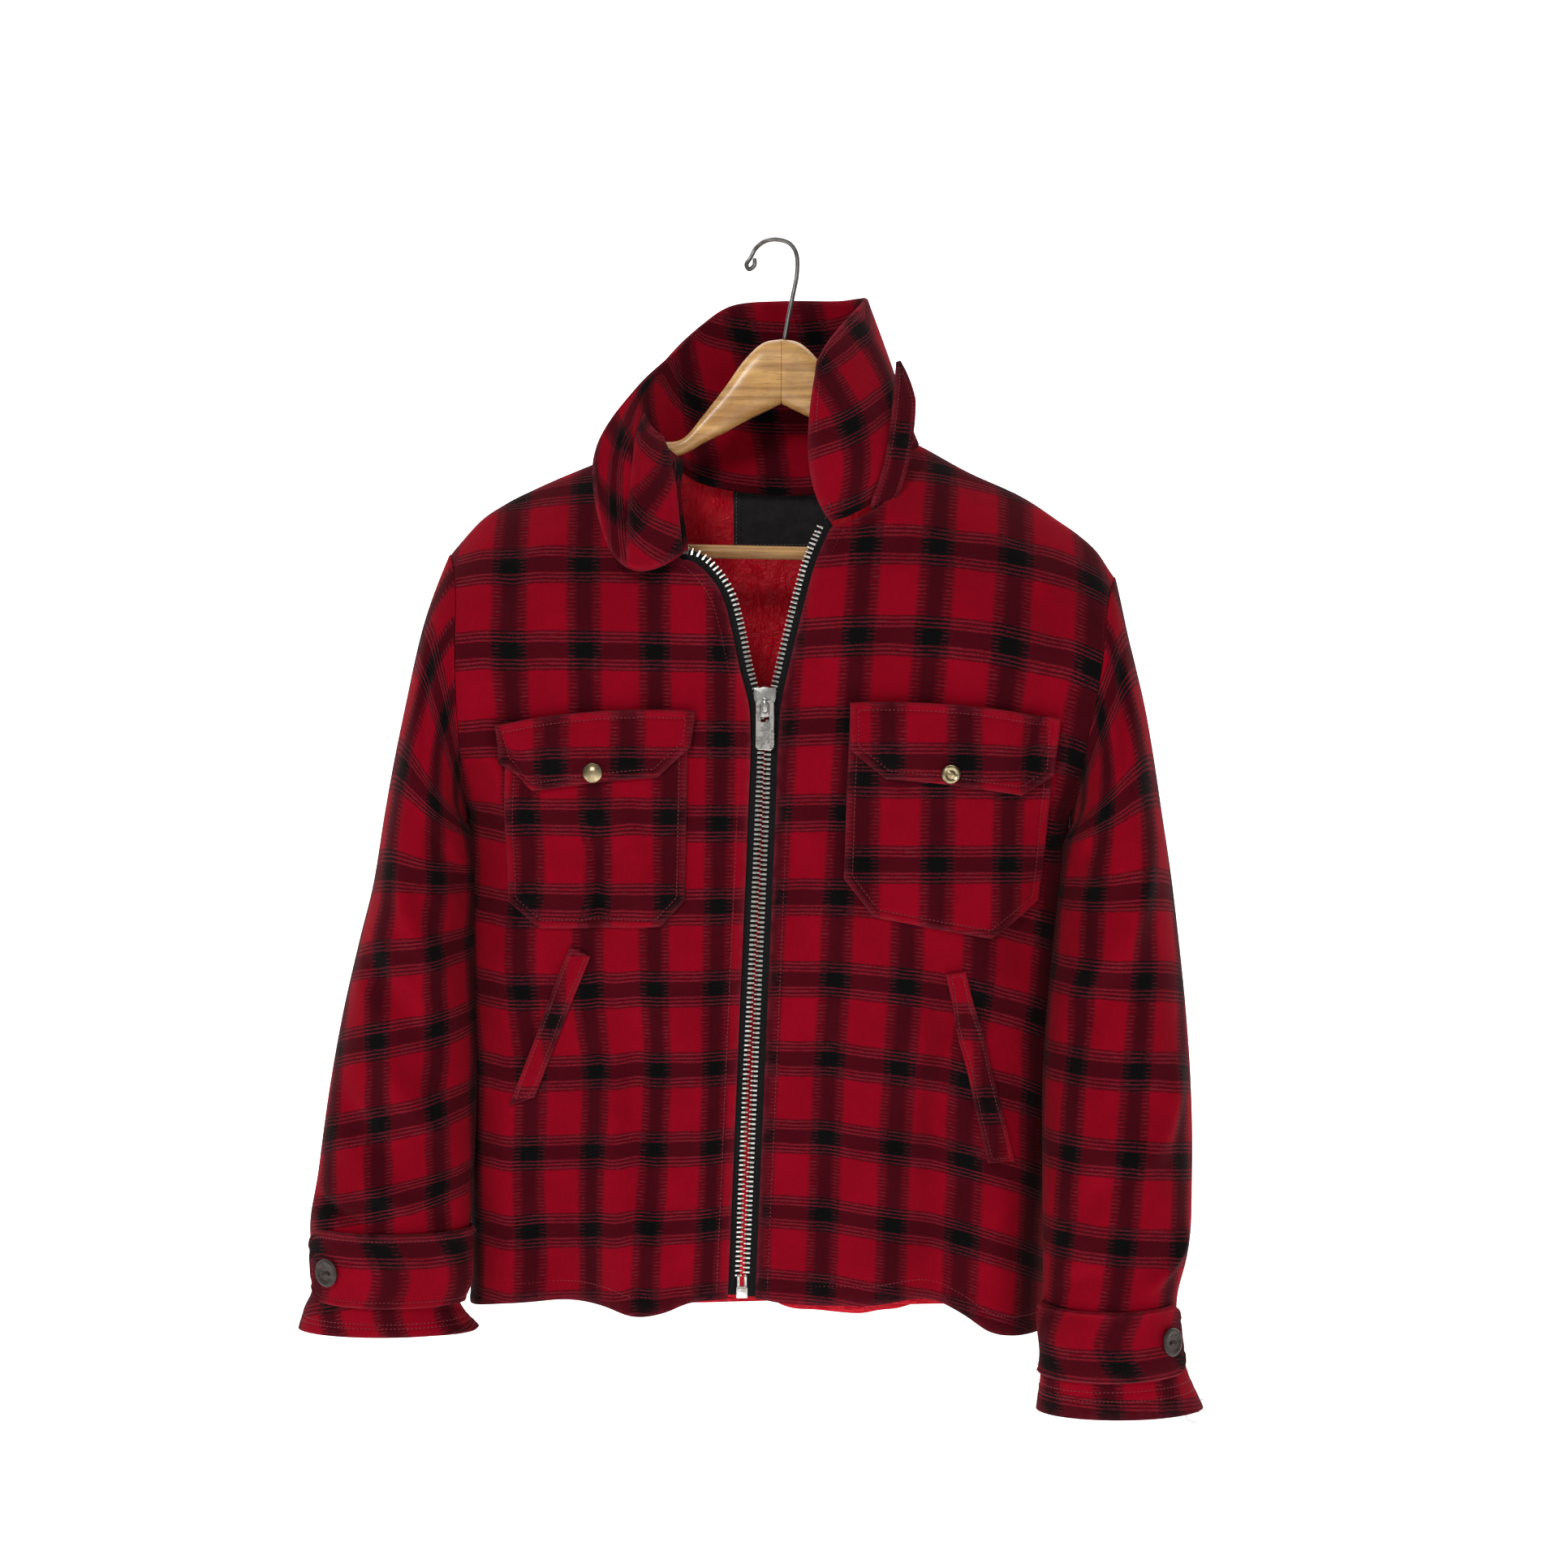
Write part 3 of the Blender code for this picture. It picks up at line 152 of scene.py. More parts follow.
# Sleeves: outer and inner edge seen from the front, and half the depth from front to back
SLEEVE_ROWS = {  # row, outer x, outer z, inner x, inner z, middle y, half depth
    "right": (
        (0, -245.0, -238, -230.2, -436, 0, 52), (1, -252, -258, -230.3, -437.5, 0, 57),
        (2, -261, -282, -230.6, -440, 0, 62), (3, -268.5, -311, -231, -444, 0, 66),
        (4, -276, -348, -231.2, -450, -1, 70), (5, -284, -388, -231.5, -460, -2, 73),
        (6, -292, -433, -231.5, -476, -3, 74), (7, -300, -485, -231.5, -505, -6, 73),
        (8, -310, -528, -231.5, -538, -11, 71), (9, -321, -579, -231.8, -583, -18, 66),
        (10, -329, -627, -230.8, -629, -26, 60), (11, -335, -676, -231.5, -677, -34, 55),
        (12, -338, -712, -232.5, -713, -39, 52), (13, -342, -737, -234, -741, -42, 50),
        (14, -341, -761, -235, -766, -44, 48), (15, -340, -783, -235, -787, -46, 45),
        (16, -346, -798, -229, -800, -48, 43), (17, -350, -812, -217, -812, -50, 40)),
    "left": (
        (0, 259.0, -255, 224.8, -436, 0, 52), (1, 262.5, -274, 225, -438, 0, 57),
        (2, 267, -297, 225.2, -441, 0, 62), (3, 273, -322, 225.3, -445, 0, 66),
        (4, 280, -354, 225.2, -451, -1, 70), (5, 286, -390, 224.8, -460, -2, 73),
        (6, 292, -432, 224, -476, -4, 74), (7, 299, -482, 221, -505, -8, 73),
        (8, 304, -530, 217, -546, -14, 71), (9, 308, -580, 212.5, -592, -22, 67),
        (10, 310, -630, 209.5, -640, -32, 62), (11, 310, -680, 208.5, -688, -42, 57),
        (12, 307, -724, 208, -730, -50, 53), (13, 303, -758, 207.5, -762, -56, 50),
        (14, 296, -786, 207.8, -790, -60, 48), (15, 296, -812, 203, -816, -63, 45),
        (16, 302, -838, 196, -842, -66, 43), (17, 314, -866, 192, -868, -68, 40))}
SLEEVE_FOLDS = {  # angle in turns, row, turn spread, row spread, rise
    "right": (
        (.30, 8.5, .10, .9, 4), (.20, 9.8, .10, .8, -4), (.34, 11.2, .12, .8, 4), (.42, 5.5, .09, 1.4, -5),
        (.12, 12.2, .10, .7, 4), (.70, 9.0, .12, 1.2, 5), (.85, 11.5, .12, 1.0, -5)),
    "left": (
        (.20, 8.0, .10, 1.6, -4), (.36, 10.2, .10, 1.5, 4), (.42, 5.5, .09, 1.4, -5), (.10, 12.3, .09, .8, 3),
        (.70, 9.0, .12, 1.2, 5), (.85, 11.5, .12, 1.0, -5))}
SLEEVE_FOLD_SPAN = 60.0

# Collar: neck seam, a point half way up, and the free edge, from the wearer's right front round the back
COLLAR_ROWS = (  # root x y z, middle x y z, edge x y z
    ((-62, -63, -240), (-110, -74, -252), (-132, -58, -184)),
    ((-66, -52, -216), (-110, -64, -221), (-130, -44, -160)),
    ((-70, -42, -192), (-107, -50, -180), (-119, -26, -136)),
    ((-77, -26, -168), (-104, -28, -146), (-101, -2, -110)),
    ((-86, -1, -148), (-93, 2, -121), (-79, 22, -83)),
    ((-66, 25, -166.2), (-69, 31, -112), (-57, 44, -57)),
    ((-38, 36, -173.2), (-38, 46, -108), (-32, 55, -39)),
    ((5, 40.5, -176.2), (6, 50, -106), (7, 58, -35)),
    ((48, 36, -174.2), (52, 46, -106), (48, 53, -36)),
    ((80, 22, -165.2), (80, 32, -104), (64, 38, -37)),
    ((97, -1, -149), (90, 6, -104), (70, 22, -40)),
    ((91, -27, -176), (89, -26, -122), (63, -2, -52)),
    ((79, -39, -197), (75, -47, -146), (51, -22, -68)),
    ((60, -50, -211), (52, -62, -164), (40, -36, -84)),
    ((42, -57, -219), (26, -66, -174), (33, -46, -98)))
COLLAR_GIRTH = 470.0

# Facing turned out at the neck on the wearer's right, as a share of the collar round and up
FACING_REACH = (0.0, .25)
FACING_RISE = (.03, .46)
FACING_GAP = 1.3

# Throat tab on the wearer's left, from its point down to its round end
TAB_ROWS = (  # round the collar, up the collar, half width, lift
    (.752, .66, 1.0, 9.0), (.762, .58, 4.0, 7.0), (.776, .46, 7.0, 4.5), (.792, .33, 8.5, 2.2),
    (.812, .19, 9.0, 1.0), (.832, .07, 9.0, 1.0), (.842, .00, 7.6, 1.0), (.848, -.045, 4.0, 1.0))
TAB_WALL = 2.4

# Patches on the fronts, as rows with a left and a right end
POCKET_ROWS = {  # left x, left z, right x, right z
    "right": ((-199, -384, -62, -384), (-194, -499, -64, -497), (-171, -518, -82, -516)),
    "left": ((56, -364, 210, -372), (51, -481, 196, -498), (73, -509, 160, -526))}
FLAP_ROWS = {
    "right": ((-206, -368, -56, -359), (-203, -398, -60, -386), (-174, -420, -84, -410)),
    "left": ((56, -353, 212, -364), (56, -388, 207, -405), (82, -411, 180, -423))}
FLAP_ARCH = 4.0
WELT_ROWS = {
    "right": ((-148, -530, -133, -538), (-194, -649, -175, -642)),
    "left": ((126, -551, 141, -549), (157, -690, 177, -690))}
SNAPS = {"right": (-130, -404, False), "left": (128, -405, True)}  # x, z, ringed
SNAP_GAP = 0.6

# Cuff straps: rows of the sleeve at their upper and lower edge, and turns at their ends
STRAPS = {  # upper row, lower row, end turn, root turn, button turn
    "right": (12.9, 15.35, .075, .53, .15),
    "left": (14.05, 16.0, .055, .53, .125)}
STRAP_WALL = 3.0
STRAP_GAP = 1.5
STRAP_ROUNDING = .06
STRAP_END_SHARE = .38
BUTTON_THICK = 3.2
BUTTON_GAP = 0.9

# Zip: tape and teeth measured from the cloth's edge, out over the opening
TAPE_BEHIND = 7.0
TAPE_SHOWN = 5.5
TAPE_WALL = 0.8
CHAIN_FAR = 9.85
CHAIN_THICK = 3.4
CHAIN_FRONT = 0.8
CHAIN_FOOT_Z = -770.0
SLIDER_TOP_Z = -342.0
SLIDER_HEIGHT = 21.0
SLIDER_WIDTH = 13.5
SLIDER_PLATE = 1.2
SLIDER_BACK_GAP = 1.6
POST = (2.6, 3.5)
POST_DROP = 0.5
PIVOT_Z = -352.0
PIVOT_OFF = 1.9
BAIL_WIDTH = 3.4
BAIL_WIRE = 1.5
BAIL_CLEAR = 1.5
BAIL_ABOVE = 3.6
BAIL_BELOW = 9.0
PULL_LENGTH = 36.0
PULL_WIDTH = 13.5
PULL_WALL = 1.8
PULL_WINDOW = (6.4, 14.0)
BOX_SIZE = (8.2, 4.6)
BOX_TOP_Z = -778.0
BOX_FOOT_Z = -786.5
PIN_SIZE = (2.4, 2.6, 8.4)
PIN_OFF = 2.6
PIN_RISE = 3.2

# Hanger
HANGER_X = 6.0
ARM_ROWS = (  # reach, top below ridge or own top z, bottom z, middle y, half depth
    (0, -74, -123, 6, 9), (14, -77, -130, 5.5, 9), (28, -90, -137, 4.5, 9), (42, -110, -145, 3, 8),
    (58, -131, -153, 1.5, 7), (74, -150, -162, 0, 6))
ARM_REACH = 208.0
ARM_HEIGHT = 13.0
ARM_HALF_DEPTH = 6.5
ARM_UNDER_RIDGE = 4.6
LUG_REACH = 176.0
LUG_SPREAD = 15.0
LUG_WALL = 4.5
BAR_PAST_LUG = 2.0
BAR_RADIUS = 5.2
BAR_Z = -237.0
BAR_TILT = 1.2
WIRE = 3.4
HOOK_Y = 6.0
HOOK_CURL = -4.2
HOOK_POINTS = 30
HOOK_CURL_FROM = 22
HOOK_ROUTE = (  # x, z
    (8.5, -74.0), (11, -60), (14.5, -42), (17.8, -25), (17.6, -10), (12, -1), (2, 1.9), (-7, .2), (-13.5, -5),
    (-17, -11.5), (-20.5, -17), (-18.5, -21), (-14.5, -18.5), (-14.2, -14.5))

# Where the plaid lies on each piece: turn of the cloth, and how its warp and weft lines run
LAY = {  # piece: (shift, by across, by down, by product, by across squared, by down squared) for warp, weft
    "front_right": ((-8.1, 1.25, -0.02, -0.231, 0.745, 0.065), (-20.4, 0.005, 1.014, 0.243, 0.014, -0.166)),
    "front_left": ((-5.9, 1.152, -0.076, -0.02, -0.723, -0.051),
                   (-27.6, -0.077, 0.997, -0.446, 0.744, -0.212)),
    "sleeve_right": ((26.7, 1.071, 0.11, -0.177, -0.072, -0.006),
                     (-29.4, -0.156, 0.933, 0.082, 0.141, -0.059)),
    "sleeve_left": ((19.7, 0.977, -0.343, -0.244, 0.279, -0.186), (-8.8, 0.309, 0.786, 0.275, 0.38, -0.143)),
    "pocket_right": ((20.2, 1.002, 0, -0.001, -0.006, 0), (-26.0, -0.002, 1.0, 0.001, 0.004, 0)),
    "pocket_left": ((-10.0, 1.001, 0, -0.001, 0.001, 0), (8.4, 0.003, 0.999, -0.002, 0.006, 0.001)),
    "flap_right": ((-4.6, 1.0, 0, 0, -0.001, 0), (-0.9, 0, 1.0, 0, 0, 0)),
    "flap_left": ((26.4, 0.998, 0, 0, -0.004, 0), (-4.0, 0.002, 1.0, 0, 0.006, 0)),
    "cuff_strap_right": ((-13.5, 1.0, 0, 0, 0, 0), (11.2, 0, 1.0, 0, 0, 0)),
    "cuff_strap_left": ((-7.9, 1.001, 0, 0, 0.001, 0), (-21.3, -0.001, 1.0, 0, -0.001, 0)),
    "neck_facing": ((0, .7, .7, 0, 0, 0), (0, -.7, .7, 0, 0, 0)),
}
STRAIGHT = ((0, 1, 0, 0, 0, 0), (0, 0, 1, 0, 0, 0))
WARP_PERIOD = 55.0
WEFT_PERIOD = 62.0

# Soft creases of the fronts and back, from one end to the other
CREASE_SCALE = 2.1
FRONT_CREASES = (  # x, z, x, z, half width, rise
    (-128, -440, -118, -520, 9, -3.5), (-112, -420, -100, -520, 10, 2.5), (-216, -330, -170, -420, 12, -3),
    (-222, -372, -185, -470, 11, 3), (-226, -420, -196, -540, 12, -3), (-150, -540, -120, -700, 14, 3),
    (-96, -560, -84, -740, 13, -3), (-60, -560, -66, -770, 12, 2.5), (-190, -640, -150, -790, 14, -3),
    (-40, -200, -120, -215, 12, 2), (-150, -215, -200, -260, 14, 2.5), (-178, -250, -214, -300, 10, -2.5),
    (216, -330, 176, -420, 12, -3), (222, -372, 190, -480, 11, 3), (214, -430, 186, -560, 12, -3.5),
    (160, -520, 128, -640, 13, 3.5), (140, -560, 120, -700, 11, -3.5), (98, -520, 92, -720, 14, 2.5),
    (60, -540, 40, -740, 16, -2), (186, -640, 150, -800, 13, -3), (60, -215, 130, -225, 12, 2),
    (150, -215, 204, -270, 14, 2.5), (186, -262, 220, -312, 10, -2.5), (30, -420, 36, -560, 15, 2))
BACK_CREASES = (
    (-216, -300, -150, -400, 14, 4), (-222, -350, -160, -470, 12, -3.5), (-226, -420, -150, -560, 13, 3),
    (216, -300, 160, -390, 14, 4), (222, -350, 150, -460, 12, -3.5), (214, -430, 160, -560, 13, 3),
    (-90, -230, -110, -330, 18, -2.5), (90, -230, 120, -340, 18, -2.5), (-30, -300, -40, -520, 20, 2.5),
    (40, -420, 30, -640, 18, -2.5), (-100, -560, -96, -760, 16, 3), (110, -580, 104, -790, 15, -3),
    (-180, -560, -150, -760, 14, -3), (170, -600, 150, -780, 13, 3))
SLEEVE_CREASES = {  # turn, row, turn, row, half width in turns, rise
    "right": (
        (.30, 5.4, .44, 7.2, .030, -3), (.20, 6.6, .40, 8.4, .030, 3), (.12, 8.2, .34, 9.4, .026, -3.5),
        (.22, 9.6, .42, 10.8, .026, 3.5), (.10, 10.2, .30, 11.6, .026, -3.5), (.20, 11.5, .40, 12.4, .022, 3),
        (.06, 12.0, .24, 12.9, .020, -3.5), (.30, 12.2, .46, 12.9, .018, -2.5), (.60, 5, .78, 8, .040, 4),
        (.66, 8, .86, 10.5, .036, -4), (.62, 10.5, .84, 12.5, .034, 4), (.14, 1.5, .22, 4.5, .030, -2),
        (.86, 2, .80, 5.5, .040, 3)),
    "left": (
        (.30, 5.2, .44, 7.0, .030, -3), (.16, 6.4, .36, 8.4, .032, 3), (.28, 8.2, .44, 10.0, .028, -3),
        (.10, 9.6, .26, 11.2, .028, 3), (.26, 11.0, .42, 12.6, .026, -2.5), (.08, 12.2, .22, 13.6, .022, 3),
        (.30, 13.0, .44, 13.9, .020, -2.5), (.60, 5, .78, 8, .040, 4), (.66, 8, .86, 10.5, .036, -4),
        (.62, 10.5, .84, 13.0, .034, 4), (.14, 1.5, .22, 4.5, .030, -2), (.86, 2, .80, 5.5, .040, 3))}
SLEEVE_TUCK = {"right": 9.5, "left": 9.0}
TUCK_TOP_ROW = 2.5
TUCK_FADE_IN = 2.5
TUCK_FOOT_ROW = 15.8
TUCK_FADE_OUT = 1.4
ARMHOLE_BLEND_ROWS = 2.5
ROOT_TUCK = .09
ROOT_TUCK_SPAN = (.12, .86)
ROOT_TUCK_FADE = .1
NECK_FLARE = 9.0
NECK_FLARE_AT = (.285, .715)
NECK_FLARE_WIDTH = .045
SLEEVE_CREASE_SCALE = 2.2
TAB_FLARE = 10.0
TAB_SHIFT = .03
TAB_WIDER = 1.3
TAPE_UNDER = 3.1
STRAP_SUNK = .05
COLLAR_CREASES = (  # round, up, round, up, half width, rise
    (.10, .15, .30, .9, .025, 1.5), (.40, .1, .46, .9, .03, -1.2), (.58, .1, .60, .9, .03, 1.2),
    (.80, .1, .84, .9, .02, -1.2))

# Stitching
STITCH_INSET = 6.0
PLACKET_INSET = 8.5
HEM_INSET = 14.0
COLLAR_INSET = 6.5
TAB_INSET = 3.4
WELT_INSET = 3.0
STRAP_INSET = 5.0
CUFF_STITCH_ROWS = (16.25, 16.5)
THREAD_SUNK = .45
HEM_LINING_X = (0, 126)
HEM_LINING_DROP = 5.5
LOOSE_THREADS = (  # x, y, z, then its run along x, y and z, and its curl
    (309, -60, -865, 6, -8, -6, 3), (311, -56, -869, 4, -6, 7, -2), (306, -66, -868, 8, -4, -3, 2),
    (303, -70, -870, 3, -6, -8, 3), (240, -8, -276, 7, -5, 5, 2), (246, -9, -279, 5, -6, -5, -2),
    (243, -10, -272, -5, -6, 6, 3))

# Small hard pieces, turned round an axis
SNAP_LIFT = 2 * PATCH_GAP + WOOL + FLAP_WALL + SNAP_GAP
RINGED_CAP = (  # radius, height
    (0, 3.3), (1.2, 3.3), (2.0, 3.1), (2.6, 2.3), (3.2, 2.0), (3.8, 2.2), (4.5, 2.8), (5.2, 2.95), (5.8, 2.7),
    (6.6, 1.9), (7.2, 1.1), (7.25, .5), (7.1, 0), (0, 0))
DOME_CAP = (  # radius, height
    (0, 3.4), (1.4, 3.35), (2.8, 3.1), (4.0, 2.7), (5.0, 2.2), (5.9, 1.6), (6.6, 1.1), (7.2, .7), (7.25, .35),
    (7.1, 0), (0, 0))
BUTTON_ROWS = (  # radius, height
    (0, 2.2), (3, 2.2), (6.0, 2.3), (7.2, 3.0), (8.3, 3.2), (9.4, 3.0), (10.2, 2.1), (9.8, .7), (8.6, 0),
    (0, 0))

WORN_NICKEL = ("worn nickel", (.80, .78, .73), (.42, .39, .35), .22, 220.0)

# Stage and camera, in metres
FLOOR_Z = -1.25
BACKDROP_SIZE = 4.0
BACKDROP_TONE = (.93, .93, .93)
BACKDROP_ROUGH = .9
BACKDROP_GLOW = .85
BACKDROP_ROWS = 60
BACKDROP_COLUMNS = 12
FLOOR_SHARE = .45
CORNER_SHARE = .1
CORNER_RADIUS = .6
WALL_Y = .5
JACKET_MIDDLE = (0, 0, -.42)
LIGHTS = (  # name, place, aim, width and height, watts
    ("key", (-.9, -2.6, 1.3), JACKET_MIDDLE, (.8, .8), 40),
    ("fill", (1.6, -2.9, -.1), JACKET_MIDDLE, (1.8, 2.2), 4),
    ("top", (.2, .5, 2.0), JACKET_MIDDLE, (2.0, 1.2), 9),
    ("wash", (0, .35, 2.3), (0, 1.1, -.6), (4.0, .8), 32))
CAMERA_X = .008
CAMERA_Y = 1.9
CAMERA_Z = -.412
CAMERA_WIDTH = 1.188


def ends_close(count, near=(.004, .010, .020)):
    """Shares from 0 to 1, with a few closer ones at both ends."""
    inner = np.linspace(0, 1, count)[1:-1]
    inner = inner[(inner > near[-1] * 1.4) & (inner < 1 - near[-1] * 1.4)]
    return np.concatenate([[0], near, inner, 1 - np.array(near)[::-1], [1]])


def finer(values, factor):
    """Values with further ones spread evenly between each pair."""
    at = np.linspace(0, len(values) - 1, (len(values) - 1) * factor + 1)
    return np.interp(at, np.arange(len(values)), values)


def smooth(table, at):
    """Smooth curve through a table's rows: cubic Hermite pieces whose slopes are central differences."""
    rows = np.asarray(table, float)
    place, values = rows[:, 0], rows[:, 1:]
    slope = np.gradient(values, place, axis=0)
    at = np.clip(np.asarray(at, float), place[0], place[-1])
    i = np.clip(np.searchsorted(place, at, side="right") - 1, 0, len(place) - 2)
    step = (place[i + 1] - place[i])[..., None]
    t = (at[..., None] - place[i][..., None]) / step
    rise = (1 + 2 * t) * (1 - t) ** 2 * values[i] + t * t * (3 - 2 * t) * values[i + 1]
    return rise + (t * (1 - t) ** 2 * slope[i] - t * t * (1 - t) * slope[i + 1]) * step


def smooth_one(table, at):
    """The one value column of a two-column table."""
    return smooth(table, at)[..., 0]


def ease(t):
    """Smooth step, 3t^2 - 2t^3, from 0 to 1."""
    t = clipped(t)
    return t * t * (3 - 2 * t)


def unit(vectors):
    """Vectors of length one."""
    return vectors / np.maximum(np.linalg.norm(vectors, axis=-1, keepdims=True), 1e-9)


def stack(*parts):
    """Arrays side by side along a new last axis."""
    return np.stack(parts, -1)


def clipped(values):
    """Values kept between 0 and 1."""
    return np.clip(values, 0, 1)


def bell(values, at, width):
    """Bell curve: exp(-((value - at) / width)^2)."""
    return np.exp(-((values - at) / width) ** 2)


def creases(table, a, b, scale=1.0):
    """Sum of creases: exp(-(off/half width)^2) across the line from end to end, eased in and out along it."""
    total = np.zeros(np.broadcast(a, b).shape)
    for a0, b0, a1, b1, half_width, rise in table:
        da, db = a1 - a0, (b1 - b0) * scale
        length = math.hypot(da, db)
        along = ((a - a0) * da + (b - b0) * scale * db) / length ** 2
        off = ((a - a0) * db - (b - b0) * scale * da) / length
        off = off + .12 * length * np.sin(along * 2.6) * math.copysign(.5, rise)
        eased = ease(along / .4 + .15) * ease((1 - along) / .4 + .15)
        total += rise * np.exp(-(off / half_width) ** 2) * eased
    return total


def side_x(side, z):
    """Edge of the body at a height, from the front's rows."""
    return smooth_one(sorted((row[4], row[3]) for row in FRONT_ROWS[side]), z)


def folds(table, x, z):
    """Sum of the long folds: a bell across, eased in and out along the cloth."""
    total = np.zeros(np.broadcast(x, z).shape)
    for x_top, x_foot, z_top, z_foot, half_width, rise, fade in table:
        share = clipped((z_top - z) / (z_top - z_foot))
        middle = x_top + (x_foot - x_top) * share
        window = ease((z_top - z) / fade) * ease((z - z_foot) / fade)
        total += rise * window * bell(x, middle, half_width)
    return total


def depth(x, z, full, fall, fold_table, crease_table):
    """Distance from the plane of the shoulder ridge: depth and folds times a superellipse and the fall."""
    right, left = side_x("right", z), side_x("left", z)
    middle, half = (left + right) / 2, (left - right) / 2
    share = smooth_one(EDGE_SHARE, z)
    reach_at_edge = (1 - clipped(share) ** ROUNDNESS) ** (1 / ROUNDNESS)
    reach = clipped(np.abs(x - middle) / half * reach_at_edge)
    across = (1 - reach ** ROUNDNESS) ** (1 / ROUNDNESS)
    down = smooth_one(fall, smooth_one(RIDGE, x) - z)
    stand = full + folds(fold_table, x, z) + CREASE_SCALE * creases(crease_table, x, z)
    return SEAM_GAP / 2 + stand * across * down


def front_depth(x, z):
    return depth(x, z, FRONT_DEPTH, FRONT_FALL, FRONT_FOLDS, FRONT_CREASES)


def back_depth(x, z):
    return depth(x, z, BACK_DEPTH, BACK_FALL, BACK_FOLDS, BACK_CREASES)


def row_places(factor=1):
    """Rows of the body from shoulder to hem: close at the shoulder, wider below."""
    below = np.linspace(ARMPIT_ROW, 1, 15)[1:]
    rows = np.concatenate([[0, RIDGE_ROW], np.linspace(.04, ARMPIT_ROW, 10), below])
    return finer(rows, factor)


def row_number(place, factor=1):
    """Number of the grid row at a place between shoulder and hem."""
    return int(np.argmin(np.abs(row_places(factor) - place)))


def front_grid(side, rows=1, columns=FRONT_COLUMNS):
    """Points of one front: columns from zip to side, eased as 1.5u - 0.5u^3, rows from shoulder to hem."""
    v = row_places(rows)
    u = np.linspace(0, 1, columns)
    cx, cz, sx, sz = np.moveaxis(smooth(FRONT_ROWS[side], v), -1, 0)
    easing = (1.5 * u - .5 * u ** 3)[:, None]
    x = cx + (sx - cx) * easing
    straight = cz + (sz - cz) * easing
    lift = smooth_one(RIDGE, x[:, :1]) - straight[:, :1]
    drop = smooth_one(FRONT_HEM, x[:, -1:]) - straight[:, -1:]
    z = straight + lift * clipped(1 - v / .3) + drop * v ** 3
    y = -front_depth(x, z)
    y[:, 0] = -SEAM_GAP / 2
    y[-1, row_number(ARMPIT_ROW, rows):] = -SEAM_GAP / 2
    return stack(x, y, z)


def back_grid(rows=1, columns=BACK_COLUMNS):
    """Points of the back: columns from the wearer's right to left, rows from shoulder and neck to hem."""
    v = row_places(rows)
    turn = np.linspace(-1, 1, columns)
    u = (.5 + .5 * (1.35 * turn - .35 * turn ** 3))[:, None]
    rx, rz = np.moveaxis(smooth(FRONT_ROWS["right"], v)[:, 2:], -1, 0)
    lx, lz = np.moveaxis(smooth(FRONT_ROWS["left"], v)[:, 2:], -1, 0)
    x = rx + (lx - rx) * u
    straight = rz + (lz - rz) * u
    top_x = x[:, :1]
    inside = (top_x > NECK[0][0]) & (top_x < NECK[-1][0])
    top = np.where(inside, smooth_one(NECK, top_x), smooth_one(RIDGE, top_x))
    lift = top - straight[:, :1]
    drop = smooth_one(BACK_HEM, x[:, -1:]) - straight[:, -1:]
    z = straight + lift * clipped(1 - v / .45) + drop * v ** 3
    y = back_depth(x, z)
    y[:, 0] = np.where(inside[:, 0], y[:, 0], SEAM_GAP / 2)
    y[[0, -1], row_number(ARMPIT_ROW, rows):] = SEAM_GAP / 2
    return stack(x, y, z)


def grid_normals(points, toward, round_first=False):
    """Unit normals of a grid by central differences, turned so that they point away on the whole."""
    if round_first:
        along = np.roll(points, -1, 0) - np.roll(points, 1, 0)
    else:
        along = np.gradient(points, axis=0)
    normal = unit(np.cross(along, np.gradient(points, axis=1)))
    return normal if float((normal * toward).sum()) > 0 else -normal


def in_plane(normal, rows):
    """Normals at a seam kept in the plane between front and back."""
    for row in rows:
        picked = normal[row].copy()
        picked[..., 1] = 0
        normal[row] = unit(picked)
    return normal


def armhole_loop(side, angle, top_z, low_z):
    """The armhole's loop: its height at an angle, and how far the cloth stands there."""
    z = (top_z + low_z) / 2 + (top_z - low_z) / 2 * np.cos(angle)
    x = side_x(side, z)
    y = np.where(np.sin(angle) > 0, -front_depth(x, z), back_depth(x, z))
    return x, np.where(np.abs(np.sin(angle)) < 1e-6, 0, y), z


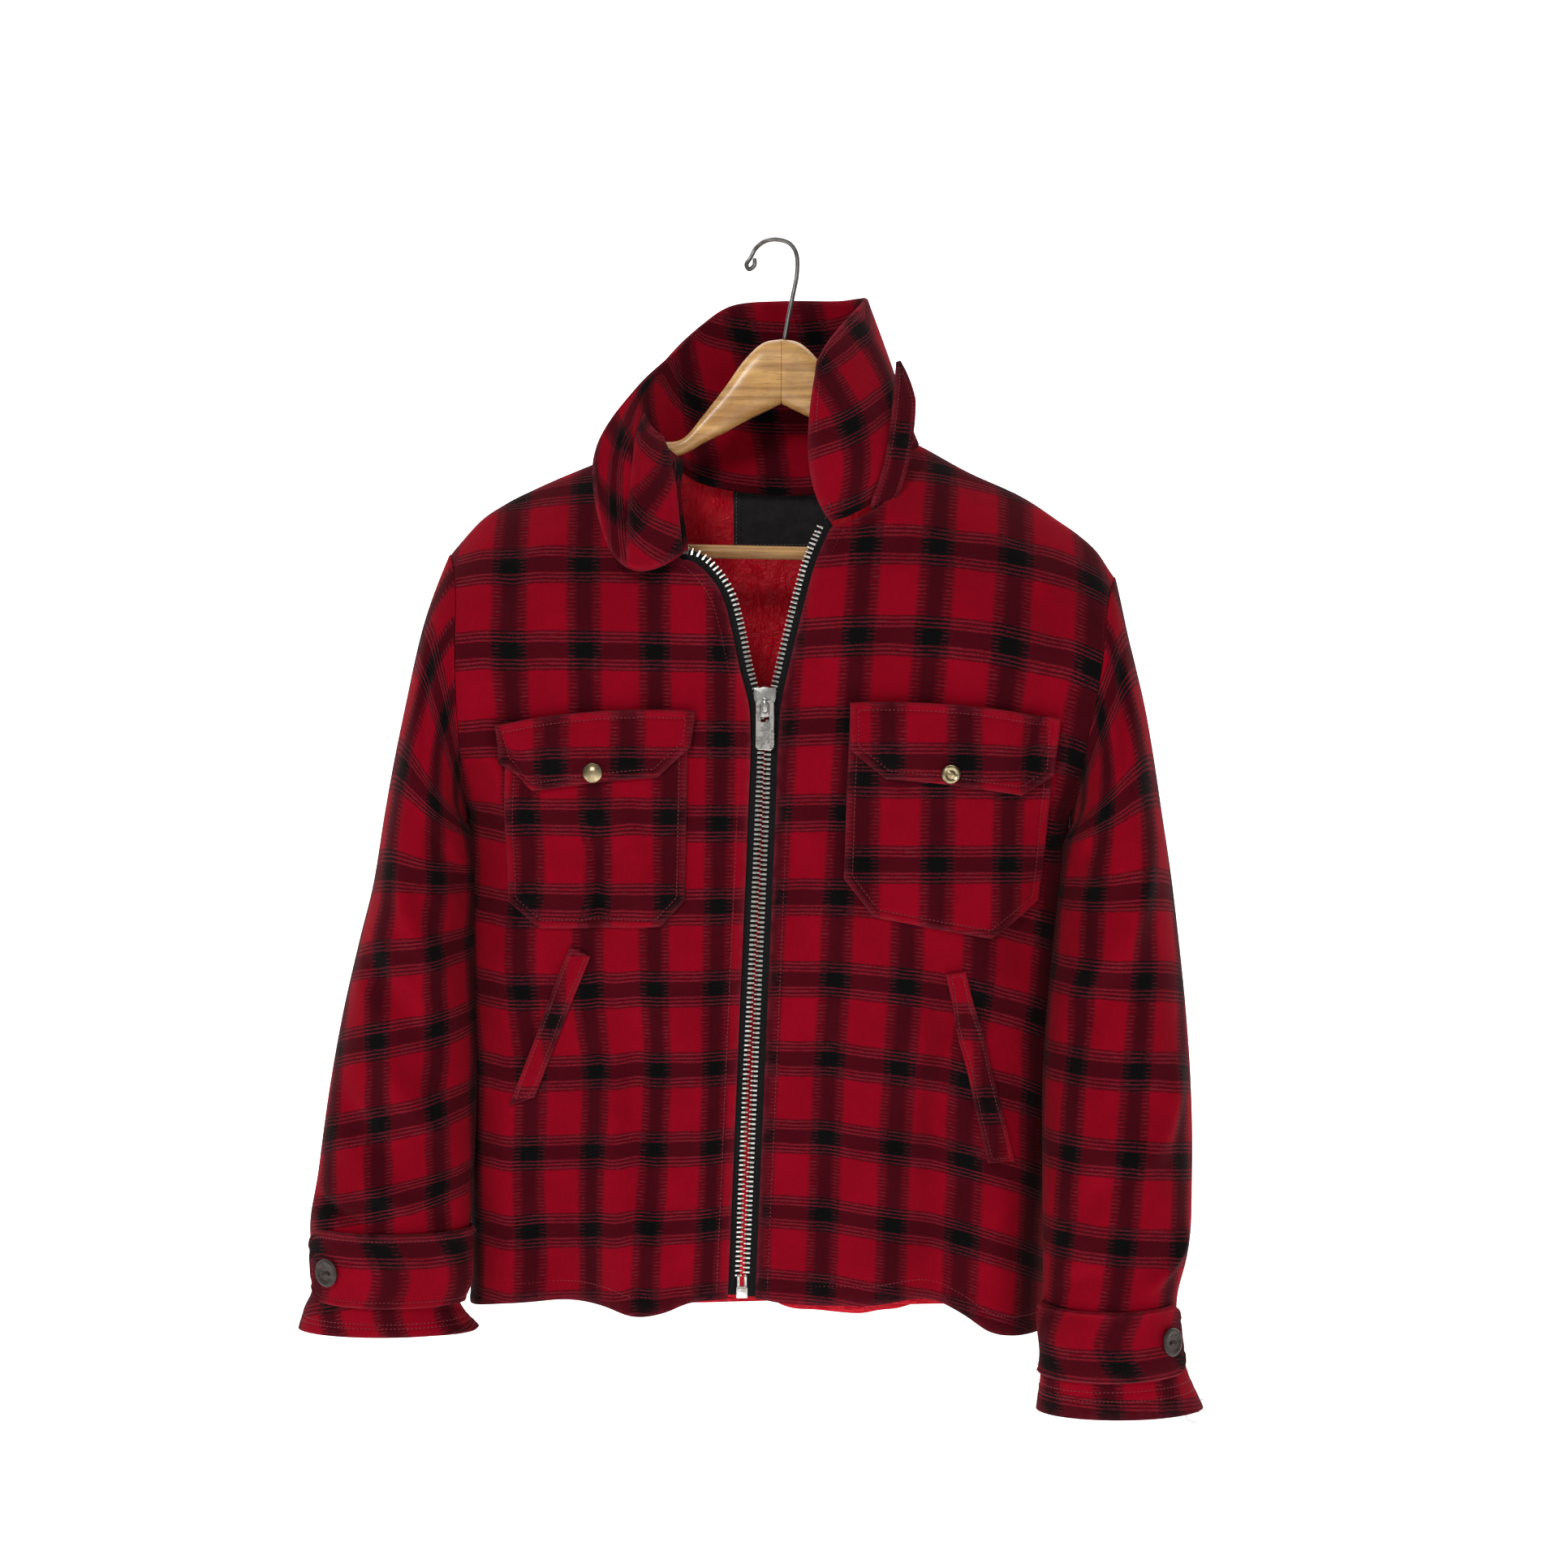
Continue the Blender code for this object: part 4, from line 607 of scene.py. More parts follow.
def sleeve_point(side, turn, row, creased=True):
    """Sleeve surface: an ellipse between the row's outer and inner points, blended into the armhole."""
    turn, row = np.broadcast_arrays(np.asarray(turn, float), np.asarray(row, float))
    ox, oz, ix, iz, my, half = np.moveaxis(smooth(SLEEVE_ROWS[side], row), -1, 0)
    angle = 2 * math.pi * turn
    bulge = np.zeros(turn.shape)
    for at, at_row, spread, row_spread, rise in SLEEVE_FOLDS[side]:
        off = (turn - at + .5) % 1 - .5
        bulge += rise * np.exp(-(off / spread) ** 2 - ((row - at_row) / row_spread) ** 2)
    if creased:
        creased_by = creases(SLEEVE_CREASES[side], turn % 1, row, .1)
        bulge += SLEEVE_CREASE_SCALE * creased_by * ease((row - .6) / 1.5)
    scale = 1 + bulge / SLEEVE_FOLD_SPAN
    x = (ox + ix) / 2 + (ox - ix) / 2 * np.cos(angle) * np.where(np.cos(angle) > 0, scale, 1)
    z = (oz + iz) / 2 + (oz - iz) / 2 * np.cos(angle)
    y = my - half * np.sin(angle) * scale
    tuck = SLEEVE_TUCK[side] * ease((row - TUCK_TOP_ROW) / TUCK_FADE_IN)
    tuck = tuck * ease((TUCK_FOOT_ROW - row) / TUCK_FADE_OUT)
    x = x + np.sign(ix - ox) * tuck * clipped(-np.cos(angle)) ** 2
    away = -1 if side == "right" else 1
    loop_x, loop_y, loop_z = armhole_loop(side, angle, SLEEVE_ROWS[side][0][2], SLEEVE_ROWS[side][0][4])
    near = ease(1 - row / ARMHOLE_BLEND_ROWS)
    x = x + (loop_x + away * SLEEVE_GAP - x) * np.where(row <= 0, 1, near * .8)
    y = y + (loop_y - y) * near
    z = z + (loop_z - z) * near
    return stack(x, y, z)


def collar_point(around, up):
    """Middle face of the collar: root(1-t)^2 + 2 pull t(1-t) + edge t^2, each read round the collar."""
    rows = [(i, *root, *middle, *edge) for i, (root, middle, edge) in enumerate(COLLAR_ROWS)]
    found = smooth(rows, np.asarray(around, float) * (len(COLLAR_ROWS) - 1))
    root, middle, edge = found[..., 0:3], found[..., 3:6], found[..., 6:9]
    t = np.asarray(up, float)[..., None]
    pull = 2 * middle - (root + edge) / 2
    return root * (1 - t) ** 2 + 2 * pull * t * (1 - t) + edge * t * t


def slope_normal(surface, a, b, step):
    """Unit normal of a surface of two parameters, by central differences."""
    along = surface(a + step, b) - surface(a - step, b)
    return unit(np.cross(along, surface(a, b + step) - surface(a, b - step)))


def collar_side(around, up, toward):
    """Points and unit normals of the collar on one side of it."""
    points = collar_point(around, up)
    normal = slope_normal(collar_point, around, up, .004)
    return points, normal if float((normal * toward).sum()) > 0 else -normal


def on_front(x, z, rise):
    """Points on a front's outer face moved out along its normal, which is (-dy/dx, -1, -dy/dz) made unit."""
    step = 1.0
    slope_x = (front_depth(x + step, z) - front_depth(x - step, z)) / (2 * step)
    slope_z = (front_depth(x, z + step) - front_depth(x, z - step)) / (2 * step)
    normal = unit(stack(-slope_x, -np.ones_like(x), -slope_z))
    return stack(x, -front_depth(x, z), z) + normal * np.asarray(rise)[..., None], normal


def arc_table(depth_of):
    """Lengths along the cloth from x = 0 and from z = -400: running sums of sqrt(1 + slope^2)."""
    x, z = np.arange(-280, 281, 4.0), np.arange(-880, -119, 4.0)
    y = depth_of(*np.meshgrid(x, z, indexing="ij"))
    limit = 1.6
    across = np.sqrt(1 + np.clip(np.gradient(y, x, axis=0), -limit, limit) ** 2)
    down = np.sqrt(1 + np.clip(np.gradient(y, z, axis=1), -limit, limit) ** 2)
    s = np.cumsum(across, 0) * 4.0
    t = np.cumsum(down, 1) * 4.0
    return x, z, s - s[np.argmin(np.abs(x))], t - t[:, np.argmin(np.abs(z + 400))][:, None]


def read_arcs(table, x, z):
    """Both lengths at a place, bilinear between the table's points."""
    xs, zs, s, t = table
    i = np.clip((x - xs[0]) / 4.0, 0, len(xs) - 1.001)
    j = np.clip((z - zs[0]) / 4.0, 0, len(zs) - 1.001)
    a, b = i.astype(int), j.astype(int)
    p, q = i - a, j - b
    found = []
    for values in (s, t):
        low = values[a, b] * (1 - p) + values[a + 1, b] * p
        high = values[a, b + 1] * (1 - p) + values[a + 1, b + 1] * p
        found.append(low * (1 - q) + high * q)
    return found


def laid(name, s, t):
    """Plaid coordinates in periods: shift + a s + b t + c st + d s^2 + e t^2 for warp and weft."""
    parts = np.stack([np.ones_like(s), s, t, s * t / 1000, s * s / 1000, t * t / 1000])
    warp, weft = (np.tensordot(np.asarray(row, float), parts, 1) for row in LAY.get(name, STRAIGHT))
    return stack(warp / WARP_PERIOD, weft / WEFT_PERIOD)


def lengths(points, axis):
    """Running length along one axis of a grid."""
    step = np.linalg.norm(np.diff(points, axis=axis), axis=-1)
    start = np.zeros_like(step[:1] if axis == 0 else step[:, :1])
    return np.concatenate([start, np.cumsum(step, axis=axis)], axis=axis)


def spans(points):
    """Running lengths along both axes of a grid."""
    return lengths(points, 0), lengths(points, 1)


def grid_faces(rows, columns, round_first):
    """Quads of a closed wall over a grid, as vertex numbers and as numbers into the grid's own UV table."""
    count = rows * columns
    index = np.arange(count).reshape(rows, columns)
    if round_first:
        index = np.vstack([index, index[:1]])
    slots = np.arange(index.size).reshape(index.shape)
    sides = []
    for table, far in ((index, count), (slots, 0)):
        top = stack(table[:-1, :-1], table[1:, :-1], table[1:, 1:], table[:-1, 1:]).reshape(-1, 4)
        rims = [(table[:-1, -1], table[1:, -1]), (table[1:, 0], table[:-1, 0])]
        if not round_first:
            rims += [(table[0, :-1], table[0, 1:]), (table[-1, 1:], table[-1, :-1])]
        rim = np.concatenate([stack(b, a, a + far, b + far) for a, b in rims])
        sides.append((top, top[:, ::-1] + far, rim))
    return sides


def new_mesh(name, points, faces, looks, look_of_face=None, uv=None, wear=None, sharp=50):
    """Mesh object at the origin from points in millimetres, with UVs by corner and wear by point if given."""
    mesh = bpy.data.meshes.new(name)
    mesh.from_pydata((points * MM).tolist(), [], faces.tolist())
    if uv is not None:
        mesh.uv_layers.new(name="cloth").data.foreach_set("uv", np.ascontiguousarray(uv, np.float32).ravel())
    if wear is not None:
        mesh.attributes.new("wear", "FLOAT", "POINT").data.foreach_set("value", np.float32(wear).ravel())
    for look in looks:
        mesh.materials.append(look)
    if look_of_face is not None:
        mesh.polygons.foreach_set("material_index", np.asarray(look_of_face, np.int32))
    mesh.update()
    mesh.shade_smooth()
    mesh.set_sharp_from_angle(angle=math.radians(sharp))
    thing = bpy.data.objects.new(f"{name}_fine", mesh)
    bpy.context.scene.collection.objects.link(thing)
    return thing


def wall(name, outer, inner, uv, looks, wear=None, round_first=False):
    """Closed wall between two grids. The first look is the outer face and rims, the last the inner face."""
    rows, columns = outer.shape[:2]
    (top, low, rim), (top_uv, low_uv, rim_uv) = grid_faces(rows, columns, round_first)
    faces = np.concatenate([top, low, rim])
    slots = np.concatenate([top_uv, low_uv, rim_uv])
    points = np.concatenate([outer.reshape(-1, 3), inner.reshape(-1, 3)])
    corner = points[top[:, :3]]
    facing = np.cross(corner[:, 1] - corner[:, 0], corner[:, 2] - corner[:, 0])
    if float((facing * (points[top[:, 0]] - points[top[:, 0] + rows * columns])).sum()) < 0:
        faces, slots = faces[:, ::-1], slots[:, ::-1]
    look = np.zeros(len(faces))
    look[len(top):len(top) + len(low)] = len(looks) - 1
    worn = np.zeros((rows, columns)) if wear is None else wear
    flat_uv = uv.reshape(-1, 2)[slots.ravel()]
    return new_mesh(name, points, faces, looks, look, flat_uv, np.concatenate([worn.ravel()] * 2))


def distance_to_outline(corners, x, z):
    """Least distance from each point to the sides of a closed outline."""
    best = np.full(x.shape, 1e9)
    for (ax, az), (bx, bz) in zip(corners, np.roll(corners, -1, 0)):
        dx, dz = bx - ax, bz - az
        t = clipped(((x - ax) * dx + (z - az) * dz) / (dx * dx + dz * dz))
        best = np.minimum(best, np.hypot(x - ax - t * dx, z - az - t * dz))
    return best


def sewn_edge(off, thick, inset=STITCH_INSET):
    """Height of a turned and stitched edge: a rounded rim, a low roll, and a groove under the stitches."""
    rim = .25 + .75 * np.sqrt(clipped(1 - (1 - clipped(off / 1.4)) ** 2))
    roll = .35 * bell(off, inset / 2, 2)
    groove = .75 * bell(off, inset, 1.1)
    return thick * rim + roll - groove


def patch_points(rows, across, down):
    """Outline and grid of a patch: straight between its rows."""
    table = np.asarray(rows, float)
    last = len(table) - 1
    at = np.unique(np.concatenate([ends_close(down) * last, np.arange(last + 1)]))
    ends = np.stack([np.interp(at, np.arange(last + 1), table[:, i]) for i in range(4)], -1)
    t = ends_close(across)[:, None]
    x = ends[:, 0] * (1 - t) + ends[:, 2] * t
    z = ends[:, 1] * (1 - t) + ends[:, 3] * t
    outline = np.concatenate([table[:, :2], table[::-1, 2:]])
    return outline, x, z


def inset_outline(corners, inset):
    """Outline moved in by a distance: each corner is where the two moved sides meet."""
    before, after = np.roll(corners, 1, 0), np.roll(corners, -1, 0)
    middle = corners.mean(0)
    found = []
    for b, c, a in zip(before, corners, after):
        lines = []
        for p, q in ((b, c), (c, a)):
            normal = np.array([q[1] - p[1], p[0] - q[0]])
            normal = normal / np.linalg.norm(normal)
            normal = normal if (middle - p) @ normal > 0 else -normal
            lines.append((normal, normal @ p + inset))
        found.append(np.linalg.solve(np.array([lines[0][0], lines[1][0]]), [lines[0][1], lines[1][1]]))
    return np.array(found)


def arch_of(rows, x, arch):
    """Rise of a patch's arched top: arch times 4t(1-t) across it."""
    t = clipped((x - rows[0][0]) / (rows[0][2] - rows[0][0]))
    return arch * 4 * t * (1 - t)


def even(points, pitch):
    """Places along a line of points, an even pitch apart, with the direction at each."""
    run = np.concatenate([[0], np.cumsum(np.linalg.norm(np.diff(points, axis=0), axis=1))])
    at = np.linspace(pitch / 2, run[-1] - pitch / 2, max(2, int(run[-1] / pitch)))
    found = np.stack([np.interp(at, run, points[:, i]) for i in range(points.shape[1])], -1)
    return found, unit(np.gradient(found[:, :3], axis=0))


def beads(centre, along, normal, length, width, height, sides=6, rings=4):
    """Points and faces of many long beads: each ring's radius is sin^0.6 of its share along the bead."""
    across = unit(np.cross(along, normal))
    share = np.linspace(.04, .96, rings)
    around = np.arange(sides) / sides * 2 * math.pi
    radius = np.sin(share * math.pi) ** .6
    a = np.repeat((share - .5) * length, sides)
    b = np.outer(radius, np.cos(around)).ravel() * width / 2
    c = np.outer(radius, np.sin(around)).ravel() * height / 2
    local = a[:, None] * along[:, None, :] + b[:, None] * across[:, None, :] + c[:, None] * normal[:, None, :]
    points = (centre[:, None, :] + local).reshape(-1, 3)
    index = np.arange(rings * sides).reshape(rings, sides)
    after = np.roll(index, -1, 1)
    quads = stack(index[:-1], index[1:], after[1:], after[:-1]).reshape(-1, 4)
    caps = [index[0][:4], index[0][[0, 3, 4, 5]], index[-1][[3, 2, 1, 0]], index[-1][[5, 4, 3, 0]]]
    one = np.concatenate([quads, np.array(caps)])
    faces = one[None] + (np.arange(len(centre)) * rings * sides)[:, None, None]
    return points, faces.reshape(-1, 4)


def join(parts):
    """Several lots of points and faces as one."""
    shift, points, faces = 0, [], []
    for some, quads in parts:
        points.append(some)
        faces.append(quads + shift)
        shift += len(some)
    return np.concatenate(points), np.concatenate(faces)


def thread_row(points, normal, settings):
    """Stitches along a line that lies on cloth: even beads, each sunk a little into its groove."""
    both, along = even(np.concatenate([points, normal], 1), settings.stitch_pitch / MM)
    up = unit(both[:, 3:])
    return beads(both[:, :3], along, up, settings.stitch_pitch / MM * .74, .75, .6)


def piece(thing, slot, replaces=(), body="garment"):
    """Hand a finished piece to the frame: its body, and the CAD nodes it stands for, which are hidden. The
    slot is not used.
    """
    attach(thing, body)
    if replaces:
        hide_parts(*replaces)
    return thing


def set_sockets(tree, sockets, values):
    """Set sockets in order from plain values, or link them from other sockets; None leaves one alone."""
    for socket, value in zip(sockets, values):
        if isinstance(value, bpy.types.NodeSocket):
            tree.links.new(value, socket)
        elif value is not None:
            socket.default_value = value


def add(tree, kind, *values, **settings):
    """A node whose sockets are set in order from plain values or linked; None leaves one alone."""
    made = tree.nodes.new(kind)
    for key, value in settings.items():
        setattr(made, key, value)
    set_sockets(tree, made.inputs, values)
    return made


def maths(tree, operation, *values):
    """Result of a Math node."""
    return add(tree, "ShaderNodeMath", *values, operation=operation).outputs[0]


def times(tree, *values):
    """Product of two sockets or numbers."""
    return maths(tree, "MULTIPLY", *values)


def plus(tree, *values):
    """Sum of two sockets or numbers."""
    return maths(tree, "ADD", *values)


def minus(tree, *values):
    """Difference of two sockets or numbers."""
    return maths(tree, "SUBTRACT", *values)


def ramp(tree, value, low, high, out_low=0.0, out_high=1.0):
    """Smooth step of a value from one bound to the other."""
    values = (value, low, high, out_low, out_high)
    return add(tree, "ShaderNodeMapRange", *values, interpolation_type="SMOOTHSTEP").outputs[0]


def mixed(tree, share, first, second):
    """Colour between two, by a share."""
    made = tree.nodes.new("ShaderNodeMix")
    made.data_type = "RGBA"
    set_sockets(tree, [made.inputs[k] for k in (0, 6, 7)], (share, first, second))
    return made.outputs[2]


def noise(tree, vector, scale, detail=3.0, roughness=.5, distortion=0.0):
    """Noise from 0 to 1 at a scale in features per unit of the vector."""
    made = add(tree, "ShaderNodeTexNoise", vector, None, scale, detail, roughness)
    made.inputs["Distortion"].default_value = distortion
    return made.outputs[0]


def stretched(tree, vector, scale, turn=(0, 0, 0)):
    """A vector scaled and turned by a Mapping node."""
    return add(tree, "ShaderNodeMapping", vector, None, turn, scale).outputs[0]


def scaled(tree, colour, shade):
    """Colour or vector times a number."""
    return add(tree, "ShaderNodeVectorMath", colour, None, None, shade, operation="SCALE").outputs[0]


def new_group(name, inputs, outputs):
    """Shader node group with named sockets: (name, kind, default) for inputs, (name, kind) for outputs."""
    group = bpy.data.node_groups.new(name, "ShaderNodeTree")
    for label, kind, value in inputs:
        socket = group.interface.new_socket(label, in_out="INPUT", socket_type=kind)
        if value is not None:
            socket.default_value = value
    for label, kind in outputs:
        group.interface.new_socket(label, in_out="OUTPUT", socket_type=kind)
    return group, group.nodes.new("NodeGroupInput"), group.nodes.new("NodeGroupOutput")


def nap_group():
    """Raised nap of felted wool: mottling, short fibres both ways and a faint twill, as height and shade."""
    group, given, out = new_group(
        "wool nap", [("Place", "NodeSocketVector", None), ("Twill", "NodeSocketVector", None)],
        [("Height", "NodeSocketFloat"), ("Shade", "NodeSocketFloat")])
    place, twill = given.outputs[:2]
    broad = noise(group, place, 26, 3, .55)
    mottle = noise(group, place, 240, 3, .6)
    fibre_a = noise(group, stretched(group, place, (2600, 2600, 420), (.5, .3, .35)), 1, 2, .6)
    fibre_b = noise(group, stretched(group, place, (420, 2600, 2600), (.2, .5, -.4)), 1, 2, .6)
    parts = add(group, "ShaderNodeSeparateXYZ", twill)
    slope = plus(group, times(group, parts.outputs[0], 44), times(group, parts.outputs[1], 50))
    rib = maths(group, "SINE", times(group, slope, 2 * math.pi))
    fibres = plus(group, fibre_a, fibre_b)
    height = plus(group, times(group, fibres, .45), times(group, rib, .06))
    height = plus(group, height, times(group, mottle, .5))
    shade = plus(group, ramp(group, broad, .3, .7, .90, 1.07), times(group, mottle, .16))
    shade = plus(group, shade, times(group, fibres, .12))
    set_sockets(group, out.inputs, (height, minus(group, shade, .20)))
    return group


def plaid_group():
    """Shadow plaid. Distances from each warp and weft stripe give a dark core, a ribbed flank beside the
    warp's core and fine lines beside the weft's, and black where the cores cross."""
    colours = [(label, "NodeSocketColor", None) for label in ("Ground", "Dark", "Crossing", "Light thread")]
    group, given, out = new_group(
        "shadow plaid", [("Cloth", "NodeSocketVector", None), *colours], [("Color", "NodeSocketColor")])
    cloth, ground, dark, crossing, light = given.outputs[:5]
    parts = add(group, "ShaderNodeSeparateXYZ", cloth)
    fuzz = times(group, minus(group, noise(group, cloth, 60, 2, .6), .5), 2.6)
    drift = times(group, minus(group, noise(group, cloth, 1.6, 2, .5), .5), 1.6)
    off = []
    for socket, period in ((parts.outputs[0], WARP_PERIOD), (parts.outputs[1], WEFT_PERIOD)):
        share = minus(group, maths(group, "FRACT", plus(group, socket, 100.5)), .5)
        spread = times(group, maths(group, "ABSOLUTE", share), period)
        off.append(plus(group, plus(group, spread, fuzz), drift))
    warp_off, weft_off = off
    warp_core = ramp(group, warp_off, 3.6, 9.5, 1, 0)
    weft_core = ramp(group, weft_off, 4.6, 6.6, 1, 0)
    warp_flank = minus(group, ramp(group, warp_off, 10.6, 15.0, 1, 0), warp_core)
    weft_flank = minus(group, ramp(group, weft_off, 13.2, 14.4, 1, 0), weft_core)
    pick = times(group, parts.outputs[1], WEFT_PERIOD / 2.75 * 2 * math.pi)
    pick = plus(group, pick, times(group, noise(group, cloth, 9, 2, .5), 3.0))
    rib = ramp(group, maths(group, "SINE", pick), -.5, .6)
    end = times(group, minus(group, weft_off, 6.4), 2 * math.pi / 2.85)
    line = ramp(group, maths(group, "COSINE", end), -.4, .5)
    patchy = ramp(group, noise(group, stretched(group, cloth, (9, 30, 1)), 1, 3, .6), .40, .62)
    patchy_line = ramp(group, noise(group, stretched(group, cloth, (5, 90, 1)), 1, 3, .6), .34, .58)
    ribbed = times(group, warp_flank, minus(group, .80, times(group, rib, .34)))
    warp_cover = plus(group, times(group, warp_core, .90), ribbed)
    lined = times(group, weft_flank, minus(group, .82, times(group, line, .52)))
    weft_cover = plus(group, times(group, weft_core, .86), lined)
    left = times(group, minus(group, 1, warp_cover), minus(group, 1, weft_cover))
    cover = minus(group, 1, left)
    cross = times(group, times(group, warp_cover, weft_cover), 1.18)
    rib_light = times(group, times(group, warp_flank, rib), times(group, patchy, .42))
    line_light = times(group, times(group, weft_flank, line), times(group, patchy_line, .55))
    fading = minus(group, 1, times(group, cross, .8))
    thread = times(group, maths(group, "MAXIMUM", rib_light, line_light), fading)
    colour = mixed(group, cover, ground, dark)
    colour = mixed(group, ramp(group, cross, .22, .84), colour, crossing)
    colour = mixed(group, thread, colour, light)
    set_sockets(group, out.inputs, (colour,))
    return group


def grain_group():
    """Straight wood grain: long stretched noise, fine pores and a slow tone change, along local X."""
    group, given, out = new_group("wood grain", [("Place", "NodeSocketVector", None)],
                                  [("Grain", "NodeSocketFloat"), ("Pores", "NodeSocketFloat")])
    place = given.outputs[0]
    rings = noise(group, stretched(group, place, (6, 60, 130)), 1, 4, .55, .6)
    pores = noise(group, stretched(group, place, (60, 900, 1500)), 1, 2, .6)
    set_sockets(group, out.inputs, (ramp(group, rings, .32, .68), ramp(group, pores, .56, .72)))
    return group


def wear_group():
    """Handling marks: soft smudges and fine scratches, as two masks."""
    group, given, out = new_group(
        "handling wear", [("Place", "NodeSocketVector", None), ("Scale", "NodeSocketFloat", 1.0)],
        [("Smudge", "NodeSocketFloat"), ("Scratch", "NodeSocketFloat")])
    place = scaled(group, *given.outputs[:2])
    smudge = noise(group, place, 1, 4, .6)
    scratch = noise(group, stretched(group, place, (1.5, 1.5, 16), (.3, .5, .2)), 1, 3, .7)
    set_sockets(group, out.inputs, (ramp(group, smudge, .38, .66), ramp(group, scratch, .58, .70)))
    return group


def wrinkle_group():
    """Wrinkles of thin nylon: two crossed sets of stretched noise folded at their middle, and a weave, as
    height, with a mask of the creases for painted shade.
    """
    group, given, out = new_group("nylon wrinkles", [("Place", "NodeSocketVector", None)],
                                  [("Height", "NodeSocketFloat"), ("Painted crease shade", "NodeSocketFloat")])
    place = given.outputs[0]
    folded = []
    for scale, turn in (((34, 30, 90), (0, .5, 0)), ((95, 40, 32), (0, -.4, 0))):
        value = noise(group, stretched(group, place, scale, turn), 1, 3, .55, .7)
        folded.append(maths(group, "ABSOLUTE", minus(group, value, .5)))
    sharp = maths(group, "MINIMUM", *folded)
    weave = maths(group, "SINE", times(group, add(group, "ShaderNodeSeparateXYZ", place).outputs[2], 9000))
    height = plus(group, times(group, sharp, 3.0), times(group, weave, .01))
    # The second output is painted shade: a mask of the wrinkles' creases, where the nylon's colour is
    # darkened.
    set_sockets(group, out.inputs, (height, ramp(group, sharp, 0, .05, 1, 0)))
    return group


GROUPS = {
    "nap": nap_group, "plaid": plaid_group, "grain": grain_group, "wear": wear_group,
    "wrinkle": wrinkle_group}


def grouped(tree, kind, *values):
    """A node that uses one of the shared groups, built the first time it is asked for."""
    label = f"jacket {kind}"
    found = bpy.data.node_groups.get(label)
    if found is None:
        found = GROUPS[kind]()
        found.name = label
    made = tree.nodes.new("ShaderNodeGroup")
    made.node_tree = found
    set_sockets(tree, made.inputs, values)
    return made


def looks_new(name, **plain):
    """A material whose shader has its plain sockets set, its tree and its Object coordinates."""
    made = bpy.data.materials.new(name)
    made.use_nodes = True
    tree = made.node_tree
    for label, value in plain.items():
        tree.nodes["Principled BSDF"].inputs[label.replace("_", " ")].default_value = value
    return made, tree, tree.nodes.new("ShaderNodeTexCoord").outputs["Object"]


def once(*fixed):
    """A look is built the first time its name is asked for; a fixed name comes before its values."""

    def wrap(build):
        def look(*values):
            name, *rest = fixed + values
            return bpy.data.materials.get(name) or build(name, *rest)

        return look

    return wrap


def fed(made, colour, rough, height, strength, distance):
    """The material with colour, roughness and a bump from a height linked to its shader; None is left out."""
    tree = made.node_tree
    bump = add(tree, "ShaderNodeBump", strength, distance)
    tree.links.new(height, bump.inputs["Height"])
    for value, label in ((colour, "Base Color"), (rough, "Roughness"), (bump.outputs[0], "Normal")):
        if value is not None:
            tree.links.new(value, tree.nodes["Principled BSDF"].inputs[label])
    return made


@once("plaid wool")
def wool_look(name):
    """Felted plaid wool: plaid from the cloth's own UVs, nap, and fading where an edge is worn."""
    s = bpy.context.scene.jacket
    made, tree, place = looks_new(
        name, Sheen_Weight=.05, Sheen_Roughness=.45, Sheen_Tint=(1, .4, .4, 1), Specular_IOR_Level=.03)
    cloth = add(tree, "ShaderNodeUVMap", uv_map="cloth").outputs[0]
    colours = [(*colour, 1) for colour in (s.ground, s.dark, s.crossing, s.light_thread)]
    plaid = grouped(tree, "plaid", cloth, *colours)
    nap = grouped(tree, "nap", place, cloth)
    worn = add(tree, "ShaderNodeAttribute", attribute_name="wear").outputs["Fac"]
    rubbed = times(tree, worn, ramp(tree, noise(tree, place, 110, 3, .6), .35, .65, .35, 1))
    colour = scaled(tree, plaid.outputs[0], nap.outputs[1])
    colour = mixed(tree, times(tree, rubbed, .5), colour, (*s.worn, 1))
    lint = ramp(tree, noise(tree, stretched(tree, place, (210, 210, 700), (.4, .2, .9)), 1, 2, .5), .755, .79)
    colour = mixed(tree, times(tree, lint, .22), colour, (*s.light_thread, 1))
    rough = ramp(tree, nap.outputs[0], 0, 1, .82, .96)
    return fed(made, colour, rough, nap.outputs[0], .5, .0007)


@once("red nylon")
def nylon_look(name):
    """Bright thin nylon with sharp little wrinkles, darkened in their creases as painted shade and dulled by
    smudges of wear.
    """
    s = bpy.context.scene.jacket
    made, tree, place = looks_new(name, Specular_IOR_Level=.16)
    wrinkle = grouped(tree, "wrinkle", place)
    wear = grouped(tree, "wear", place, 30.0)
    # Painted shade: the red is drawn towards the darker nylon colour by 0.3 in the wrinkles' creases; the
    # next line dulls it by 0.2 with smudges of real wear.
    colour = mixed(tree, times(tree, wrinkle.outputs[1], .3), (*s.lining, 1), (*s.lining_shade_and_wear, 1))
    colour = mixed(tree, times(tree, wear.outputs[0], .2), colour, (*s.lining_shade_and_wear, 1))
    rough = ramp(tree, wear.outputs[0], 0, 1, .38, .5)
    return fed(made, colour, rough, wrinkle.outputs[0], .9, .0035)


@once()
def woven_look(name, colour, light, pitch):
    """Plain woven tape or label cloth: crossed threads at a pitch in metres, with dusty high spots."""
    made, tree, place = looks_new(name, Specular_IOR_Level=.12, Sheen_Weight=.03)
    parts = add(tree, "ShaderNodeSeparateXYZ", place)
    turn = 2 * math.pi / pitch
    across = maths(tree, "SINE", times(tree, parts.outputs[0], turn))
    down = maths(tree, "SINE", times(tree, parts.outputs[2], turn))
    weave = times(tree, across, down)
    wear = grouped(tree, "wear", place, 120.0)
    share = plus(tree, ramp(tree, weave, -1, 1, 0, .35), times(tree, wear.outputs[0], .3))
    colour = mixed(tree, share, (*colour, 1), (*light, 1))
    rough = ramp(tree, wear.outputs[0], 0, 1, .7, .9)
    return fed(made, colour, rough, weave, .5, pitch * .3)


